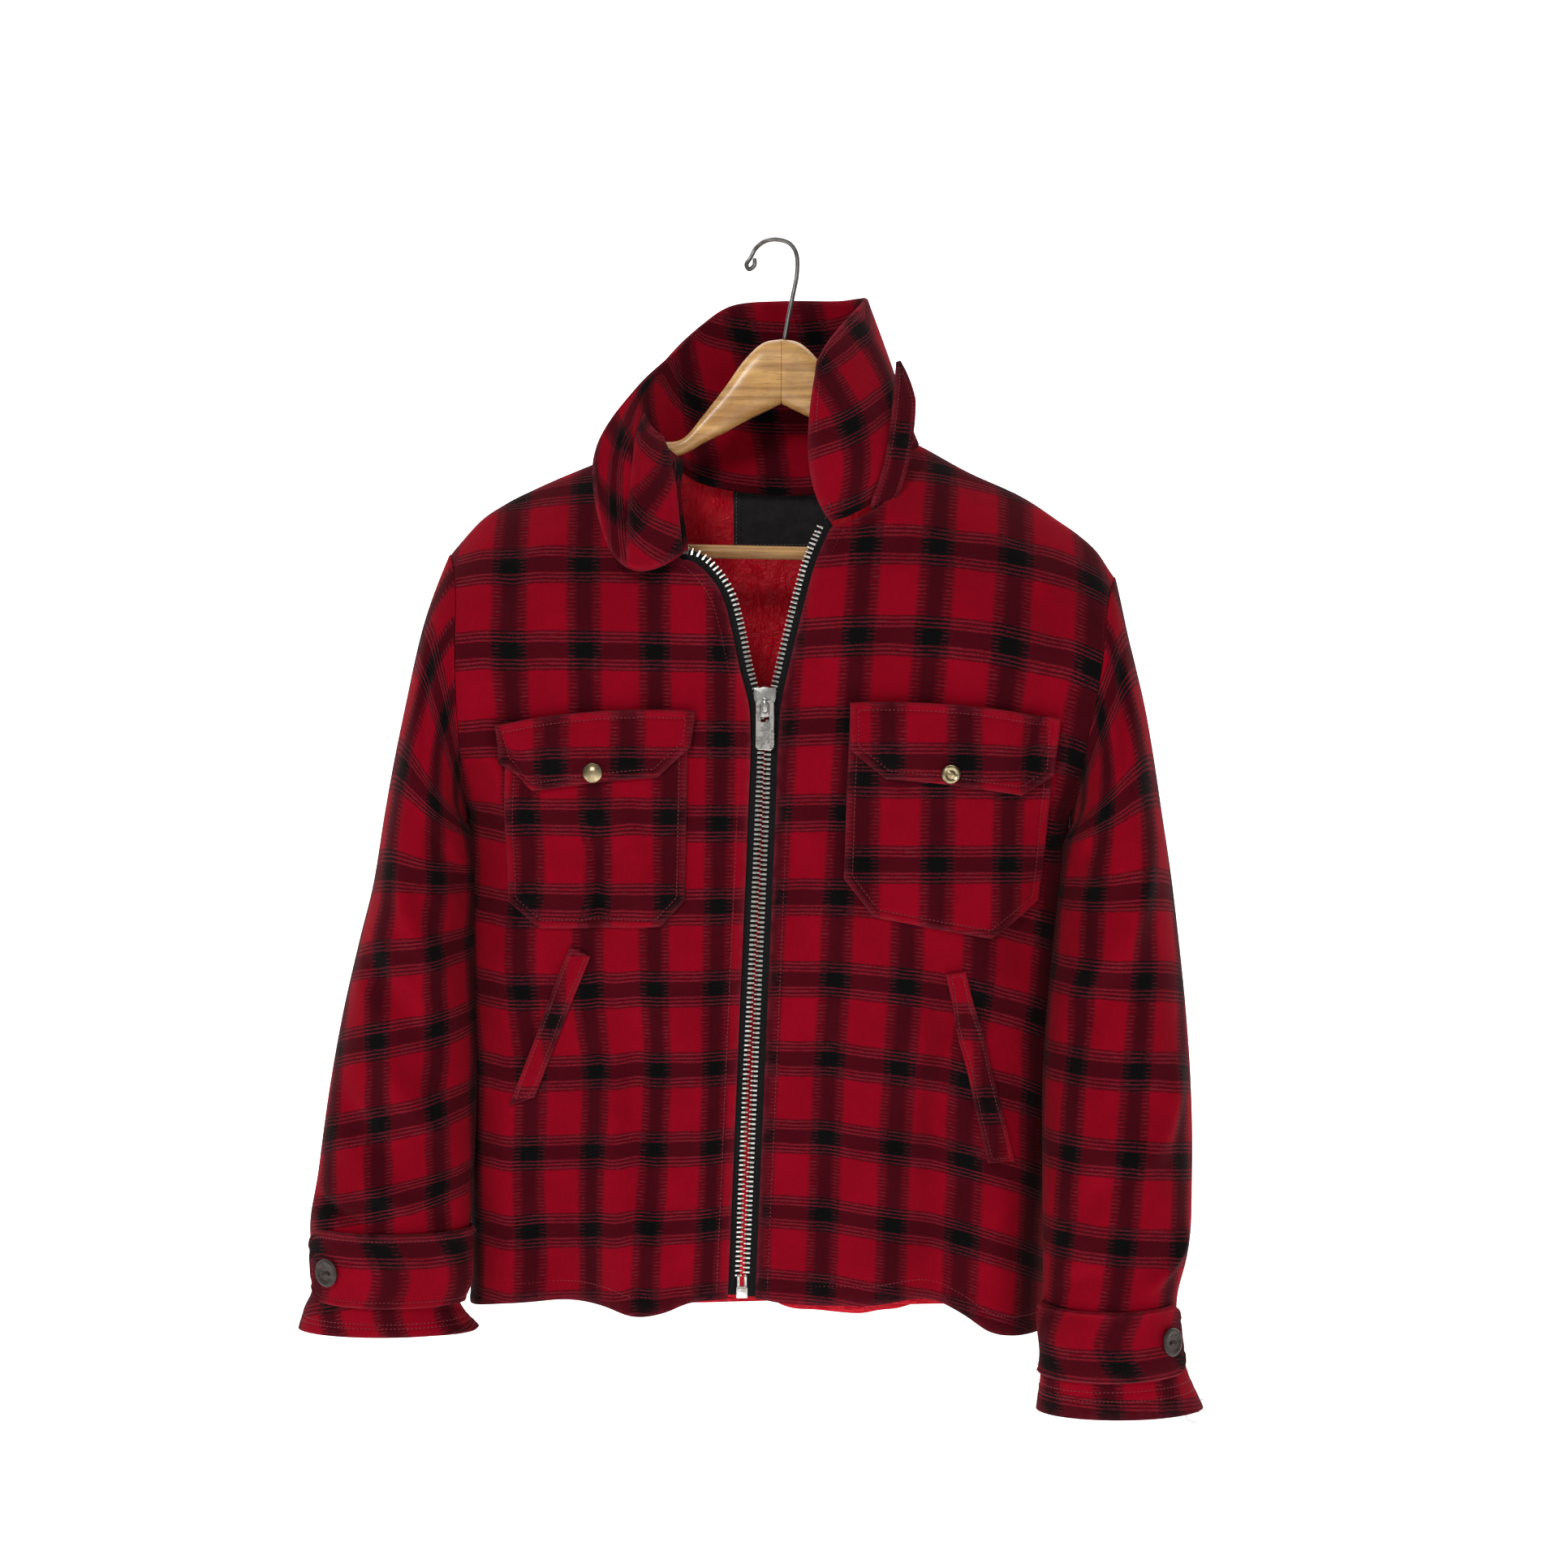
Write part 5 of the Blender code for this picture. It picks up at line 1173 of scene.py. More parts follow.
@once()
def metal_look(name, colour, tarnish, shine, scale):
    """Worn metal: smudged tarnish and fine scratches over a plain metal."""
    made, tree, place = looks_new(name, Metallic=1.0)
    wear = grouped(tree, "wear", place, scale)
    share = times(tree, wear.outputs[0], .75)
    smudged = ramp(tree, wear.outputs[0], 0, 1, shine, shine + .2)
    rough = plus(tree, smudged, times(tree, wear.outputs[1], .12))
    worn = mixed(tree, share, (*colour, 1), (*tarnish, 1))
    return fed(made, worn, rough, wear.outputs[1], .25, .00005)


@once("dark horn")
def horn_look(name):
    """Dark brown-grey button stuff with cloudy streaks and a dull polish."""
    made, tree, place = looks_new(name, Specular_IOR_Level=.3)
    cloud = noise(tree, stretched(tree, place, (120, 120, 420), (.3, 0, .5)), 1, 4, .6, .8)
    wear = grouped(tree, "wear", place, 260.0)
    colour = mixed(tree, ramp(tree, cloud, .3, .7), (.020, .013, .011, 1), (.055, .038, .031, 1))
    colour = mixed(tree, times(tree, wear.outputs[1], .3), colour, (.10, .078, .068, 1))
    rough = ramp(tree, wear.outputs[0], 0, 1, .38, .58)
    return fed(made, colour, rough, wear.outputs[1], .2, .0001)


@once("varnished wood")
def wood_look(name):
    """Golden varnished wood with straight grain, darker pores and rubbed edges under a clear coat."""
    s = bpy.context.scene.jacket
    made, tree, place = looks_new(name, Coat_Weight=.35, Coat_Roughness=.22)
    grain = grouped(tree, "grain", place)
    wear = grouped(tree, "wear", place, 45.0)
    colour = mixed(tree, grain.outputs[0], (*s.wood_light, 1), (*s.wood_dark, 1))
    colour = mixed(tree, times(tree, grain.outputs[1], .45), colour, (.10, .045, .015, 1))
    colour = mixed(tree, times(tree, wear.outputs[0], .22), colour, (.13, .06, .02, 1))
    rough = ramp(tree, wear.outputs[0], 0, 1, .34, .5)
    return fed(made, colour, rough, grain.outputs[1], .2, .0002)


@once()
def thread_look(name, colour):
    """Sewing thread: fine twist and slight fading."""
    made, tree, place = looks_new(name, Sheen_Weight=.2, Specular_IOR_Level=.2, Roughness=.8)
    tone = ramp(tree, noise(tree, place, 300, 2, .5), .3, .7, .75, 1.2)
    twist = noise(tree, stretched(tree, place, (4000, 4000, 4000)), 1, 1, .5)
    return fed(made, scaled(tree, colour, tone), None, twist, .4, .0002)


# Flat cut of each cloth piece: width, length and area, in metres
CUTS = {
    "front_right": (.27, .67, .145), "front_left": (.31, .69, .155), "back_panel": (.56, .69, .33),
    "sleeve_right": (.36, .60, .168), "sleeve_left": (.36, .64, .18), "collar": (.46, .13, .050),
    "neck_facing": (.12, .06, .0046), "throat_tab": (.114, .032, .0025), "pocket_right": (.15, .14, .0185),
    "pocket_left": (.16, .165, .023), "flap_right": (.155, .062, .0075), "flap_left": (.165, .072, .0092),
    "welt_right": (.02, .135, .0023), "welt_left": (.022, .15, .0029),
    "cuff_strap_right": (.165, .056, .0085), "cuff_strap_left": (.155, .054, .0078),
    "lining_back": (.20, .65, .107), "label": (.074, .045, .0033), "hem_lining": (.125, .025, .003),
    "zip_tape_right": (.0132, .58, .0075), "zip_tape_left": (.0132, .60, .0077)}


def cloth(name, *parts, held="hung", rests_on=(), slot="wool", in_cad=True, **more):
    """A finished sheet: its wall, attached to the garment, and the CAD node of its name hidden, if there is
    one. Its flat cut is read but not used, and its slot is not used.
    """
    thing = wall(name, *parts, **more)
    width, length, area = CUTS[name]
    list(rests_on)
    piece(thing, slot, [name] if in_cad else ())


def strips(ring):
    """Quads that close a ring of an even number of points, from one side to the other."""
    count = len(ring)
    k = np.arange(count // 2 - 1)
    return stack(ring[k], ring[k + 1], ring[count - 2 - k], ring[count - 1 - k])


def ring_solid(rings):
    """Points and faces of a solid through rings of points, closed at its first and last ring."""
    rows, sides = rings.shape[:2]
    index = np.arange(rows * sides).reshape(rows, sides)
    after = np.roll(index, -1, 1)
    quads = stack(index[:-1], after[:-1], after[1:], index[1:]).reshape(-1, 4)
    return rings.reshape(-1, 3), np.concatenate([quads, strips(index[0])[:, ::-1], strips(index[-1])])


def faced_out(points, faces):
    """Faces turned so that the solid they close has a positive volume."""
    a, b, c, d = (points[faces[:, i]] for i in range(4))
    volume = (a * np.cross(b, c)).sum() + (a * np.cross(c, d)).sum()
    return faces if volume > 0 else faces[:, ::-1]


def solid(name, parts, looks, slot, body="garment", sharp=40):
    """Closed solids joined as one finished piece that stands for its CAD node."""
    points, faces = join([(some, faced_out(some, quads)) for some, quads in parts])
    return piece(new_mesh(name, points, faces, looks, sharp=sharp), slot, [name], body)


def tube(path, radius, sides=16, flat=1.0, ends=4):
    """Tube round a path with domed ends. Its rings lie across the path, flat times as wide along local X."""
    along = unit(np.gradient(path, axis=0))
    side = unit(np.cross(along, (0, 1.0, 0)))
    if abs(along[len(path) // 2, 0]) < .2 and abs(along[:, 1]).max() > .5:
        side = np.broadcast_to([1.0, 0, 0], along.shape)
    up = np.cross(side, along)
    turn = np.linspace(.08, 1, ends) * math.pi / 2
    dome = [(-np.cos(turn) * radius, np.sin(turn)), (np.cos(turn[::-1]) * radius, np.sin(turn[::-1]))]
    centres = np.concatenate([path[:1] + along[:1] * dome[0][0][:, None], path[1:-1],
                              path[-1:] + along[-1:] * dome[1][0][:, None]])
    size = np.concatenate([dome[0][1], np.ones(len(path) - 2), dome[1][1]]) * radius
    pick = np.concatenate([np.zeros(ends, int), np.arange(1, len(path) - 1), np.full(ends, len(path) - 1)])
    around = np.arange(sides) / sides * 2 * math.pi
    c, s = np.cos(around)[None, :, None], np.sin(around)[None, :, None]
    ring = flat * c * side[pick][:, None] + s * up[pick][:, None]
    return ring_solid(centres[:, None] + ring * size[:, None, None])


def slab(outline, front, back, bevel=.4, steps=3):
    """Flat solid between two depths: an outline (x, z), drawn in by a rounded bevel at both faces."""
    outline = np.asarray(outline, float)
    middle = outline.mean(0)
    turn = np.linspace(0, 1, steps) * math.pi / 2
    inset = bevel * (1 - np.sin(turn))
    deep = bevel * (1 - np.cos(turn))
    reach = np.linalg.norm(outline - middle, axis=1, keepdims=True)
    rings = []
    for y, drawn in [(front + deep[i], inset[i]) for i in range(steps)] + [(back - deep[i], inset[i]) for i in
                                                                           range(steps)][::-1]:
        flat = middle + (outline - middle) * (1 - drawn / reach)
        rings.append(stack(flat[:, 0], np.full(len(flat), y), flat[:, 1]))
    return ring_solid(np.array(rings))


def rounded(width, height, radius, centre=(0, 0), corner=5):
    """Outline of a rectangle with round corners, as (x, z), starting at its right."""
    turn = np.linspace(0, math.pi / 2, corner)
    points = []
    for k, (sx, sz) in enumerate(((1, 1), (-1, 1), (-1, -1), (1, -1))):
        angle = turn + k * math.pi / 2
        at = (centre[0] + sx * (width / 2 - radius), centre[1] + sz * (height / 2 - radius))
        points.append(stack(at[0] + radius * np.cos(angle), at[1] + radius * np.sin(angle)))
    return np.concatenate(points)


def turned(profile, at, normal, steps=48, dents=(), finer_by=1):
    """Solid of revolution: (radius, height) rows swept round a normal. Dents are (x, y, radius, depth)."""
    normal = unit(np.asarray(normal, float))
    side = unit(np.cross(normal, (0, 0, 1.0)))
    up = np.cross(side, normal)
    table = np.asarray(profile, float)
    table[:, 0] = np.maximum(table[:, 0], .04)
    rows = stack(finer(table[:, 0], finer_by), finer(table[:, 1], finer_by))
    around = np.arange(steps) / steps * 2 * math.pi
    a, b = rows[:, :1] * np.cos(around), rows[:, :1] * np.sin(around)
    h = rows[:, 1:] + 0 * a
    top = h > table[:, 1].max() * .5
    for dx, dy, size, deep in dents:
        h = h - deep * ease((size - np.hypot(a - dx, b - dy)) / (size * .45)) * top
    return ring_solid(at + a[..., None] * side + b[..., None] * up + h[..., None] * normal)


def build_front(side, settings):
    """One front: the eased grid between zip and side, with a placket groove and rolled hem, lined inside."""
    points = front_grid(side, FINE_ROWS, FINE_COLUMNS)
    normal = grid_normals(points, (0, -1, 0))
    below_arm = slice(row_number(ARMPIT_ROW, FINE_ROWS), None)
    normal = in_plane(normal, [(slice(None), 0), (-1, below_arm)])
    s, t = read_arcs(arc_table(front_depth), points[..., 0], points[..., 2])
    off, down = spans(points)
    hem = down[:, -1:] - down
    groove = .6 * bell(off, PLACKET_INSET, 1.2) + .5 * bell(hem, HEM_INSET, 1.3)
    roll = .35 * bell(off, 4, 2.4) + .5 * bell(hem, 3, 3)
    inside = clipped(off / 1.5) * clipped(down / 12) * clipped((off[-1:] - off) / 3)
    outer = points + normal * ((roll - groove) * inside)[..., None]
    looks = [wool_look(), nylon_look()]
    wear = np.exp(-off / 2.6) + np.exp(-hem / 2.6)
    name = f"front_{side}"
    cloth(name, outer, points - normal * settings.wool / MM, laid(name, s, t), looks, wear,
          rests_on=[f"hanger_arm_{side}"])


def build_back(settings):
    """The back: the eased grid between the side seams, thickened inward, lined inside."""
    points = back_grid(6, 150)
    normal = grid_normals(points, (0, 1, 0))
    below_arm = slice(row_number(ARMPIT_ROW, 6), None)
    shoulders = np.nonzero(points[:, 0, 1] < SEAM_GAP)[0]
    normal = in_plane(normal, [(shoulders, 0), (0, below_arm), (-1, below_arm)])
    s, t = read_arcs(arc_table(back_depth), points[..., 0], points[..., 2])
    down = lengths(points, 1)
    hem = down[:, -1:] - down
    groove = .5 * bell(hem, HEM_INSET, 1.3)
    looks = [wool_look(), nylon_look()]
    outer, inner = points - normal * groove[..., None], points - normal * settings.wool / MM
    cloth("back_panel", outer, inner, laid("back_panel", s, t), looks, np.exp(-hem / 2.6),
          rests_on=["hanger_arm_right", "hanger_arm_left"])


def build_lining():
    """Back lining inside the neck: columns under the neck's opening, wrinkled by crossed sines."""
    points = back_grid(4, 150)
    normal = grid_normals(points, (0, 1, 0))
    inside = np.nonzero((points[:, 0, 0] > NECK[0][0] + 4) & (points[:, 0, 0] < NECK[-1][0] - 4))[0]
    columns, rows = slice(inside[0], inside[-1] + 1), slice(0, -4)
    points, normal = points[columns, rows], normal[columns, rows]
    x, z = points[..., 0], points[..., 2]
    wrinkle = .30 * np.sin(x / 4.1 + 2.2 * np.sin(z / 23)) + .25 * np.sin(z / 5.3 + 1.8 * np.sin(x / 17))
    near = points - normal * (WOOL + SEAM_GAP)
    far = near - normal * (NYLON + .3 + .6 * wrinkle)[..., None]
    cloth("lining_back", far, near, np.zeros((*x.shape, 2)), [nylon_look()],
          rests_on=["back_panel"], slot="nylon")


def label_grid(across, down):
    """Grid over the label, and how far each point is from its edge."""
    x, z = np.meshgrid(np.linspace(*LABEL_X, across), np.linspace(*LABEL_Z, down), indexing="ij")
    off = np.minimum(np.minimum(x - LABEL_X[0], LABEL_X[1] - x), np.minimum(LABEL_Z[0] - z, z - LABEL_Z[1]))
    y = back_depth(x, z) - (WOOL + SEAM_GAP + NYLON) - LABEL_GAP
    return x, y, z, off


def build_label():
    """Woven label: a bare black field with a raised woven border, pulled down a little by its stitches."""
    x, y, z, off = label_grid(60, 40)
    border = .25 * bell(off, 5, .9)
    pull = .3 * bell(off, 2, 1.2)
    near = stack(x, y, z)
    far = stack(x, y - LABEL_WALL - border + pull, z)
    look = woven_look("black label", (.012, .012, .014), (.045, .042, .044), .0009)
    cloth("label", far, near, np.zeros((*x.shape, 2)), [look],
          held="stretched", rests_on=["lining_back"], slot="black_cloth")


def build_sleeve(side, settings):
    """A sleeve: rings of the sleeve surface from armhole to cuff, with two stitched grooves at its end."""
    turns = 120
    turn = (np.arange(turns) / turns)[:, None]
    row = np.concatenate([np.linspace(0, 16, 113), np.linspace(16, 17, 15)[1:]])[None, :]
    points = sleeve_point(side, turn, row)
    normal = grid_normals(points, points - points.mean(axis=0, keepdims=True), round_first=True)
    normal[:, 0, 0] = 0
    normal[:, 0] = unit(normal[:, 0])
    groove = sum(.5 * bell(row, at, .055) for at in CUFF_STITCH_ROWS)
    closed = np.concatenate([points, points[:1]])
    ring, down = lengths(closed, 0), lengths(closed, 1)
    front = turns // 4
    s = (ring - ring[front:front + 1]) * (-1 if side == "left" else 1)
    t = points[front, 0, 2] - down[front:front + 1] + 0 * down
    name = f"sleeve_{side}"
    worn = np.exp(-(17 - row) / .12) * .8 + 0 * turn
    looks = [wool_look(), nylon_look()]
    outer, inner = points - normal * groove[..., None], points - normal * settings.wool / MM
    cloth(name, outer, inner, laid(name, s, t), looks, worn, round_first=True,
          rests_on=[f"front_{side}", "back_panel"])


def collar_grid():
    """Fine grid of the collar's middle face with its creases, its normals and its running lengths."""
    around, up = np.meshgrid(ends_close(170), ends_close(46, (.01, .03, .06)), indexing="ij")
    first, last = ROOT_TUCK_SPAN
    behind = ease((around - first) / ROOT_TUCK_FADE) * ease((last - around) / ROOT_TUCK_FADE)
    up = up - ROOT_TUCK * behind * (1 - up) ** 4
    points = collar_point(around, up)
    beside = sum(bell(around, at, NECK_FLARE_WIDTH) for at in NECK_FLARE_AT)
    points[..., 0] += NECK_FLARE * np.sign(points[..., 0]) * beside * (1 - up) ** 3
    normal = grid_normals(points, (0, 0, 1))
    crease = creases(COLLAR_CREASES, around, up) * ease(up / .25)
    points = points + normal * crease[..., None]
    return points, grid_normals(points, (0, 0, 1)), *spans(points), up


def build_collar():
    """Collar: the bent middle face thickened both ways, with a rolled and stitched free edge."""
    points, normal, run, rise, up = collar_grid()
    off = np.minimum(rise[:, -1:] - rise, np.minimum(run, run[-1:] - run))
    half = sewn_edge(off, COLLAR_WALL / 2, COLLAR_INSET)
    half = np.where(up < .15, np.minimum(half, COLLAR_WALL / 2), half)[..., None]
    uv = laid("collar", run - run[-1:] / 2, rise)
    cloth("collar", points + normal * half, points - normal * half, uv, [wool_look()], np.exp(-off / 2.5),
          held="folded", rests_on=["back_panel"])


def build_facing():
    """Facing turned out at the neck: part of the collar's surface, moved out beyond it."""
    around, up = np.meshgrid(np.linspace(*FACING_REACH, 60), np.linspace(*FACING_RISE, 30), indexing="ij")
    points, normal = collar_side(around, up, (.5, -1, .3))
    run, rise = spans(points)
    off = np.minimum(np.minimum(rise, rise[:, -1:] - rise), np.minimum(run, run[-1:] - run))
    near = points + normal * (COLLAR_WALL / 2 + FACING_GAP)
    thick = sewn_edge(off, WOOL, COLLAR_INSET)[..., None]
    uv = laid("neck_facing", run, rise)
    cloth("neck_facing", near + normal * thick, near, uv, [wool_look()], np.exp(-off / 2.5) * .6,
          held="folded", rests_on=["collar"])


def tab_grid():
    """Throat tab: rows across the collar's surface, lifted off it, with normals and running lengths."""
    across = ends_close(26, (.01, .03))[:, None] * 2 - 1
    rows = smooth([(i, *row) for i, row in enumerate(TAB_ROWS)], np.linspace(0, len(TAB_ROWS) - 1, 90))
    around, up, half, lift = (rows[None, :, i] for i in range(4))
    around = around + TAB_SHIFT + across * TAB_WIDER * half / COLLAR_GIRTH
    points, normal = collar_side(around, up + 0 * across, (1, -1, 0))
    near = points + normal * (COLLAR_WALL / 2 + lift[..., None])
    near[..., 0] += TAB_FLARE * (1 - across) / 2 * np.minimum(half / 7, 1)
    normal = grid_normals(near, (1, -1, 0))
    run, rise = spans(points)
    off = np.minimum(np.minimum(run, run[-1:] - run), np.minimum(rise, rise[:, -1:] - rise))
    return near, normal, run, rise, off


def build_tab():
    """Throat tab with a stitched edge."""
    near, normal, run, rise, off = tab_grid()
    thick = sewn_edge(off, TAB_WALL, TAB_INSET)[..., None]
    uv = laid("throat_tab", run - run[-1:] / 2, rise)
    cloth("throat_tab", near + normal * thick, near, uv, [wool_look()], np.exp(-off / 2.2),
          held="folded", rests_on=["collar"])


def build_patch(name, rows, lift, thick, across, down, arch=0.0):
    """A patch sewn on a front: its grid moved out along the front's normal, with a sewn edge."""
    outline, x, z = patch_points(rows, across, down)
    off = distance_to_outline(outline, x, z)
    z = z + arch_of(rows, x, arch)
    outer, _ = on_front(x, z, lift + sewn_edge(off, thick, WELT_INSET if "welt" in name else STITCH_INSET))
    inner, _ = on_front(x, z, np.full(x.shape, lift))
    s, t = read_arcs(arc_table(front_depth), x, z)
    cloth(name, outer, inner, laid(name, s, t), [wool_look()], np.exp(-off / 2.2),
          held="folded", rests_on=["front_right" if x.mean() < 0 else "front_left"])


def build_snap(side):
    """Snap cap: a plain dome, or a ringed cap with a boss, turned about the flap's normal."""
    x, z, ringed = SNAPS[side]
    at, normal = on_front(np.array([float(x)]), np.array([float(z)]), np.array([SNAP_LIFT]))
    profile = RINGED_CAP if ringed else DOME_CAP
    look = metal_look("antique brass", (.50, .41, .24), (.20, .15, .08), .24, 160.0)
    solid(f"snap_{side}", [turned(profile, at[0], normal[0], 56)], [look], "brass", sharp=70)


def strap_grid(side, columns, rows):
    """Strap surface: part of the sleeve moved out, whose free end is rounded by a square-root taper."""
    upper, lower, end, root, _ = STRAPS[side]
    turn = (end + (root - end) * ends_close(columns, (.01, .03, .06)))[:, None]
    across = ends_close(rows, (.03, .08, .14))[None, :]
    reach = clipped((turn - end) / STRAP_ROUNDING)
    half = (STRAP_END_SHARE + (1 - STRAP_END_SHARE) * np.sqrt(clipped(1 - (1 - reach) ** 2))) / 2
    row = (upper + lower) / 2 + (lower - upper) * half * (2 * across - 1)
    points = sleeve_point(side, turn, row, False)
    normal = slope_normal(lambda a, b: sleeve_point(side, a, b, False), turn, row, .01)
    return points, normal if normal[..., 1].sum() < 0 else -normal, turn[:, 0]


def build_strap(side):
    """Cuff strap round the front of the sleeve end, with a sewn edge."""
    points, normal, turn = strap_grid(side, 80, 34)
    sunk = ease((STRAPS[side][3] - turn) / STRAP_SUNK)[:, None]
    run, rise = spans(points)
    off = np.minimum(np.minimum(rise, rise[:, -1:] - rise), run)
    near = points + normal * (STRAP_GAP * sunk)[..., None]
    far = near + normal * (sewn_edge(off, STRAP_WALL, STRAP_INSET) * (.3 + .7 * sunk))[..., None]
    name = f"cuff_strap_{side}"
    uv = laid(name, run, -rise)
    cloth(name, far, near, uv, [wool_look()], np.exp(-off / 2.2),
          held="folded", rests_on=[f"sleeve_{side}"])


def build_button(side):
    """Two-hole button: a turned, dished face with two pits and two threads, on the strap's rounded end."""
    points, normal, turn = strap_grid(side, 61, 31)
    column, middle = int(np.argmin(np.abs(turn - STRAPS[side][4]))), points.shape[1] // 2
    out = normal[column, middle]
    at = points[column, middle] + out * (STRAP_GAP + STRAP_WALL + BUTTON_GAP)
    pits = tuple((off, 0, 1.5, 1.5) for off in (-2.5, 2.5))
    solid(f"cuff_button_{side}", [turned(BUTTON_ROWS, at, out, 64, pits, 5)], [horn_look()], "horn", sharp=70)
    side_way = unit(np.cross(out, (0, 0, 1.0)))
    path = np.linspace(-2.5, 2.5, 9)[:, None] * side_way + out * (BUTTON_THICK - .9 + .35 * np.cos(
        np.linspace(-1, 1, 9) * math.pi / 2))[:, None]
    parts = [tube(at + path + np.cross(out, side_way) * off, .38, 8) for off in (-.4, .4)]
    points, faces = join([(some, faced_out(some, quads)) for some, quads in parts])
    thing = new_mesh(f"button_thread_{side}", points, faces, [thread_look("dark thread", (.02, .008, .010))])
    piece(thing, "wool")


def edge_line(side, pitch):
    """Edge of a front along its zip, read evenly: points, direction out over the opening, and normals."""
    grid = front_grid(side, FINE_ROWS)
    normal = grid_normals(grid, (0, -1, 0))
    rows = slice(row_number(ZIP_TOP_ROW, FINE_ROWS), None)
    edge, out = grid[0, rows], normal[0, rows]
    along = unit(np.gradient(grid[0], axis=0)[rows])
    across = np.cross(along, out)
    across *= np.sign((across * (edge - grid[1, rows])).sum())
    run = np.concatenate([[0], np.cumsum(np.linalg.norm(np.diff(edge, axis=0), axis=1))])
    at = np.arange(0, run[-1], pitch)
    both = np.stack([np.interp(at, run, column) for column in np.concatenate([edge, across, out], 1).T], -1)
    return at, both[:, :3], unit(both[:, 3:6]), unit(both[:, 6:9])


def build_tape(side):
    """Zip tape behind the cloth's edge: a strip along the edge, with a corded free edge."""
    _, edge, across, out = edge_line(side, 3.0)
    reach = np.linspace(-TAPE_BEHIND, TAPE_SHOWN + TAPE_UNDER, 24)[:, None, None]
    cord = .40 * np.exp(-((reach - TAPE_SHOWN + .9) / .8) ** 2) - .18 * bell(reach, 1.6, .5)
    line = edge[None] + across[None] * reach
    front = out[None] * (cord - WOOL - LAYER_GAP)
    back = out[None] * (-WOOL - LAYER_GAP - TAPE_WALL)
    look = woven_look("black tape", (.005, .005, .006), (.016, .014, .015), .0011)
    cloth(f"zip_tape_{side}", line + front, line + back, np.zeros((*line.shape[:2], 2)), [look],
          held="stretched", rests_on=[f"front_{side}"], slot="black_cloth")


def blocks(middle, across, along, out, reach, width, height, chamfer=.28):
    """Chamfered blocks between two reaches: an eight-sided section carried from one end to the other."""
    w, h = width / 2, height / 2
    section = np.array([(w, h - chamfer), (w - chamfer, h), (chamfer - w, h), (-w, h - chamfer),
                        (-w, chamfer - h), (chamfer - w, -h), (w - chamfer, -h), (w, chamfer - h)])
    ends = np.array([reach[0], reach[0] + chamfer, reach[1] - chamfer, reach[1]])
    shrink = np.array([.78, 1, 1, .78])
    a = np.repeat(ends, 8)
    b, c = (shrink[:, None, None] * section[None]).reshape(-1, 2).T
    local = a[:, None] * across[:, None, :] + b[:, None] * along[:, None, :] + c[:, None] * out[:, None, :]
    points = (middle[:, None, :] + local).reshape(-1, 3)
    _, one = ring_solid(np.zeros((4, 8, 3)))
    return points, (one[None] + (np.arange(len(middle)) * 32)[:, None, None]).reshape(-1, 4)


def build_teeth(side, settings):
    """Zip teeth: a jaw and a nose each, a pitch apart from the foot up, half a pitch off between sides."""
    run, edge, across, out = edge_line(side, .5)
    pitch = settings.tooth_pitch / MM
    foot = np.interp(-CHAIN_FOOT_Z, -edge[:, 2], run)
    at = np.arange(foot - (pitch / 2 if side == "left" else 0), 2.5, -pitch)
    table = np.concatenate([edge, across, out], 1)
    found = np.stack([np.interp(at, run, column) for column in table.T], -1)
    across, out = unit(found[:, 3:6]), unit(found[:, 6:9])
    along = unit(np.cross(across, out))
    middle = found[:, :3] - out * (CHAIN_FRONT + CHAIN_THICK / 2)
    jaw = blocks(middle, across, along, out, (TAPE_SHOWN - .8, 8.1), 1.6, CHAIN_THICK * .86)
    nose = blocks(middle, across, along, out, (7.6, CHAIN_FAR + .25), 1.25, CHAIN_THICK * .62)
    look = metal_look(*WORN_NICKEL)
    solid(f"zip_teeth_{side}", [jaw, nose], [look], "nickel", sharp=30)


def zip_middle(z):
    """Middle of the closed zip and its outer face, at a height below the slider's top."""
    edges = [smooth_one(sorted((row[2], row[1]) for row in FRONT_ROWS[side]), np.array(float(z))) for side in
             ("right", "left")]
    return float(sum(edges)) / 2, -max(float(front_depth(x, np.array(float(z)))) for x in edges)


def slider_depths():
    """Middle of the slider, the front of its front plate and the front of its back plate."""
    low_z = SLIDER_TOP_Z - SLIDER_HEIGHT
    face = min(zip_middle(SLIDER_TOP_Z)[1], zip_middle(low_z)[1])
    back = zip_middle(SLIDER_TOP_Z)[1] + CHAIN_FRONT + CHAIN_THICK + SLIDER_BACK_GAP
    return zip_middle(low_z)[0], face + CHAIN_FRONT - SEAM_GAP - SLIDER_PLATE, back


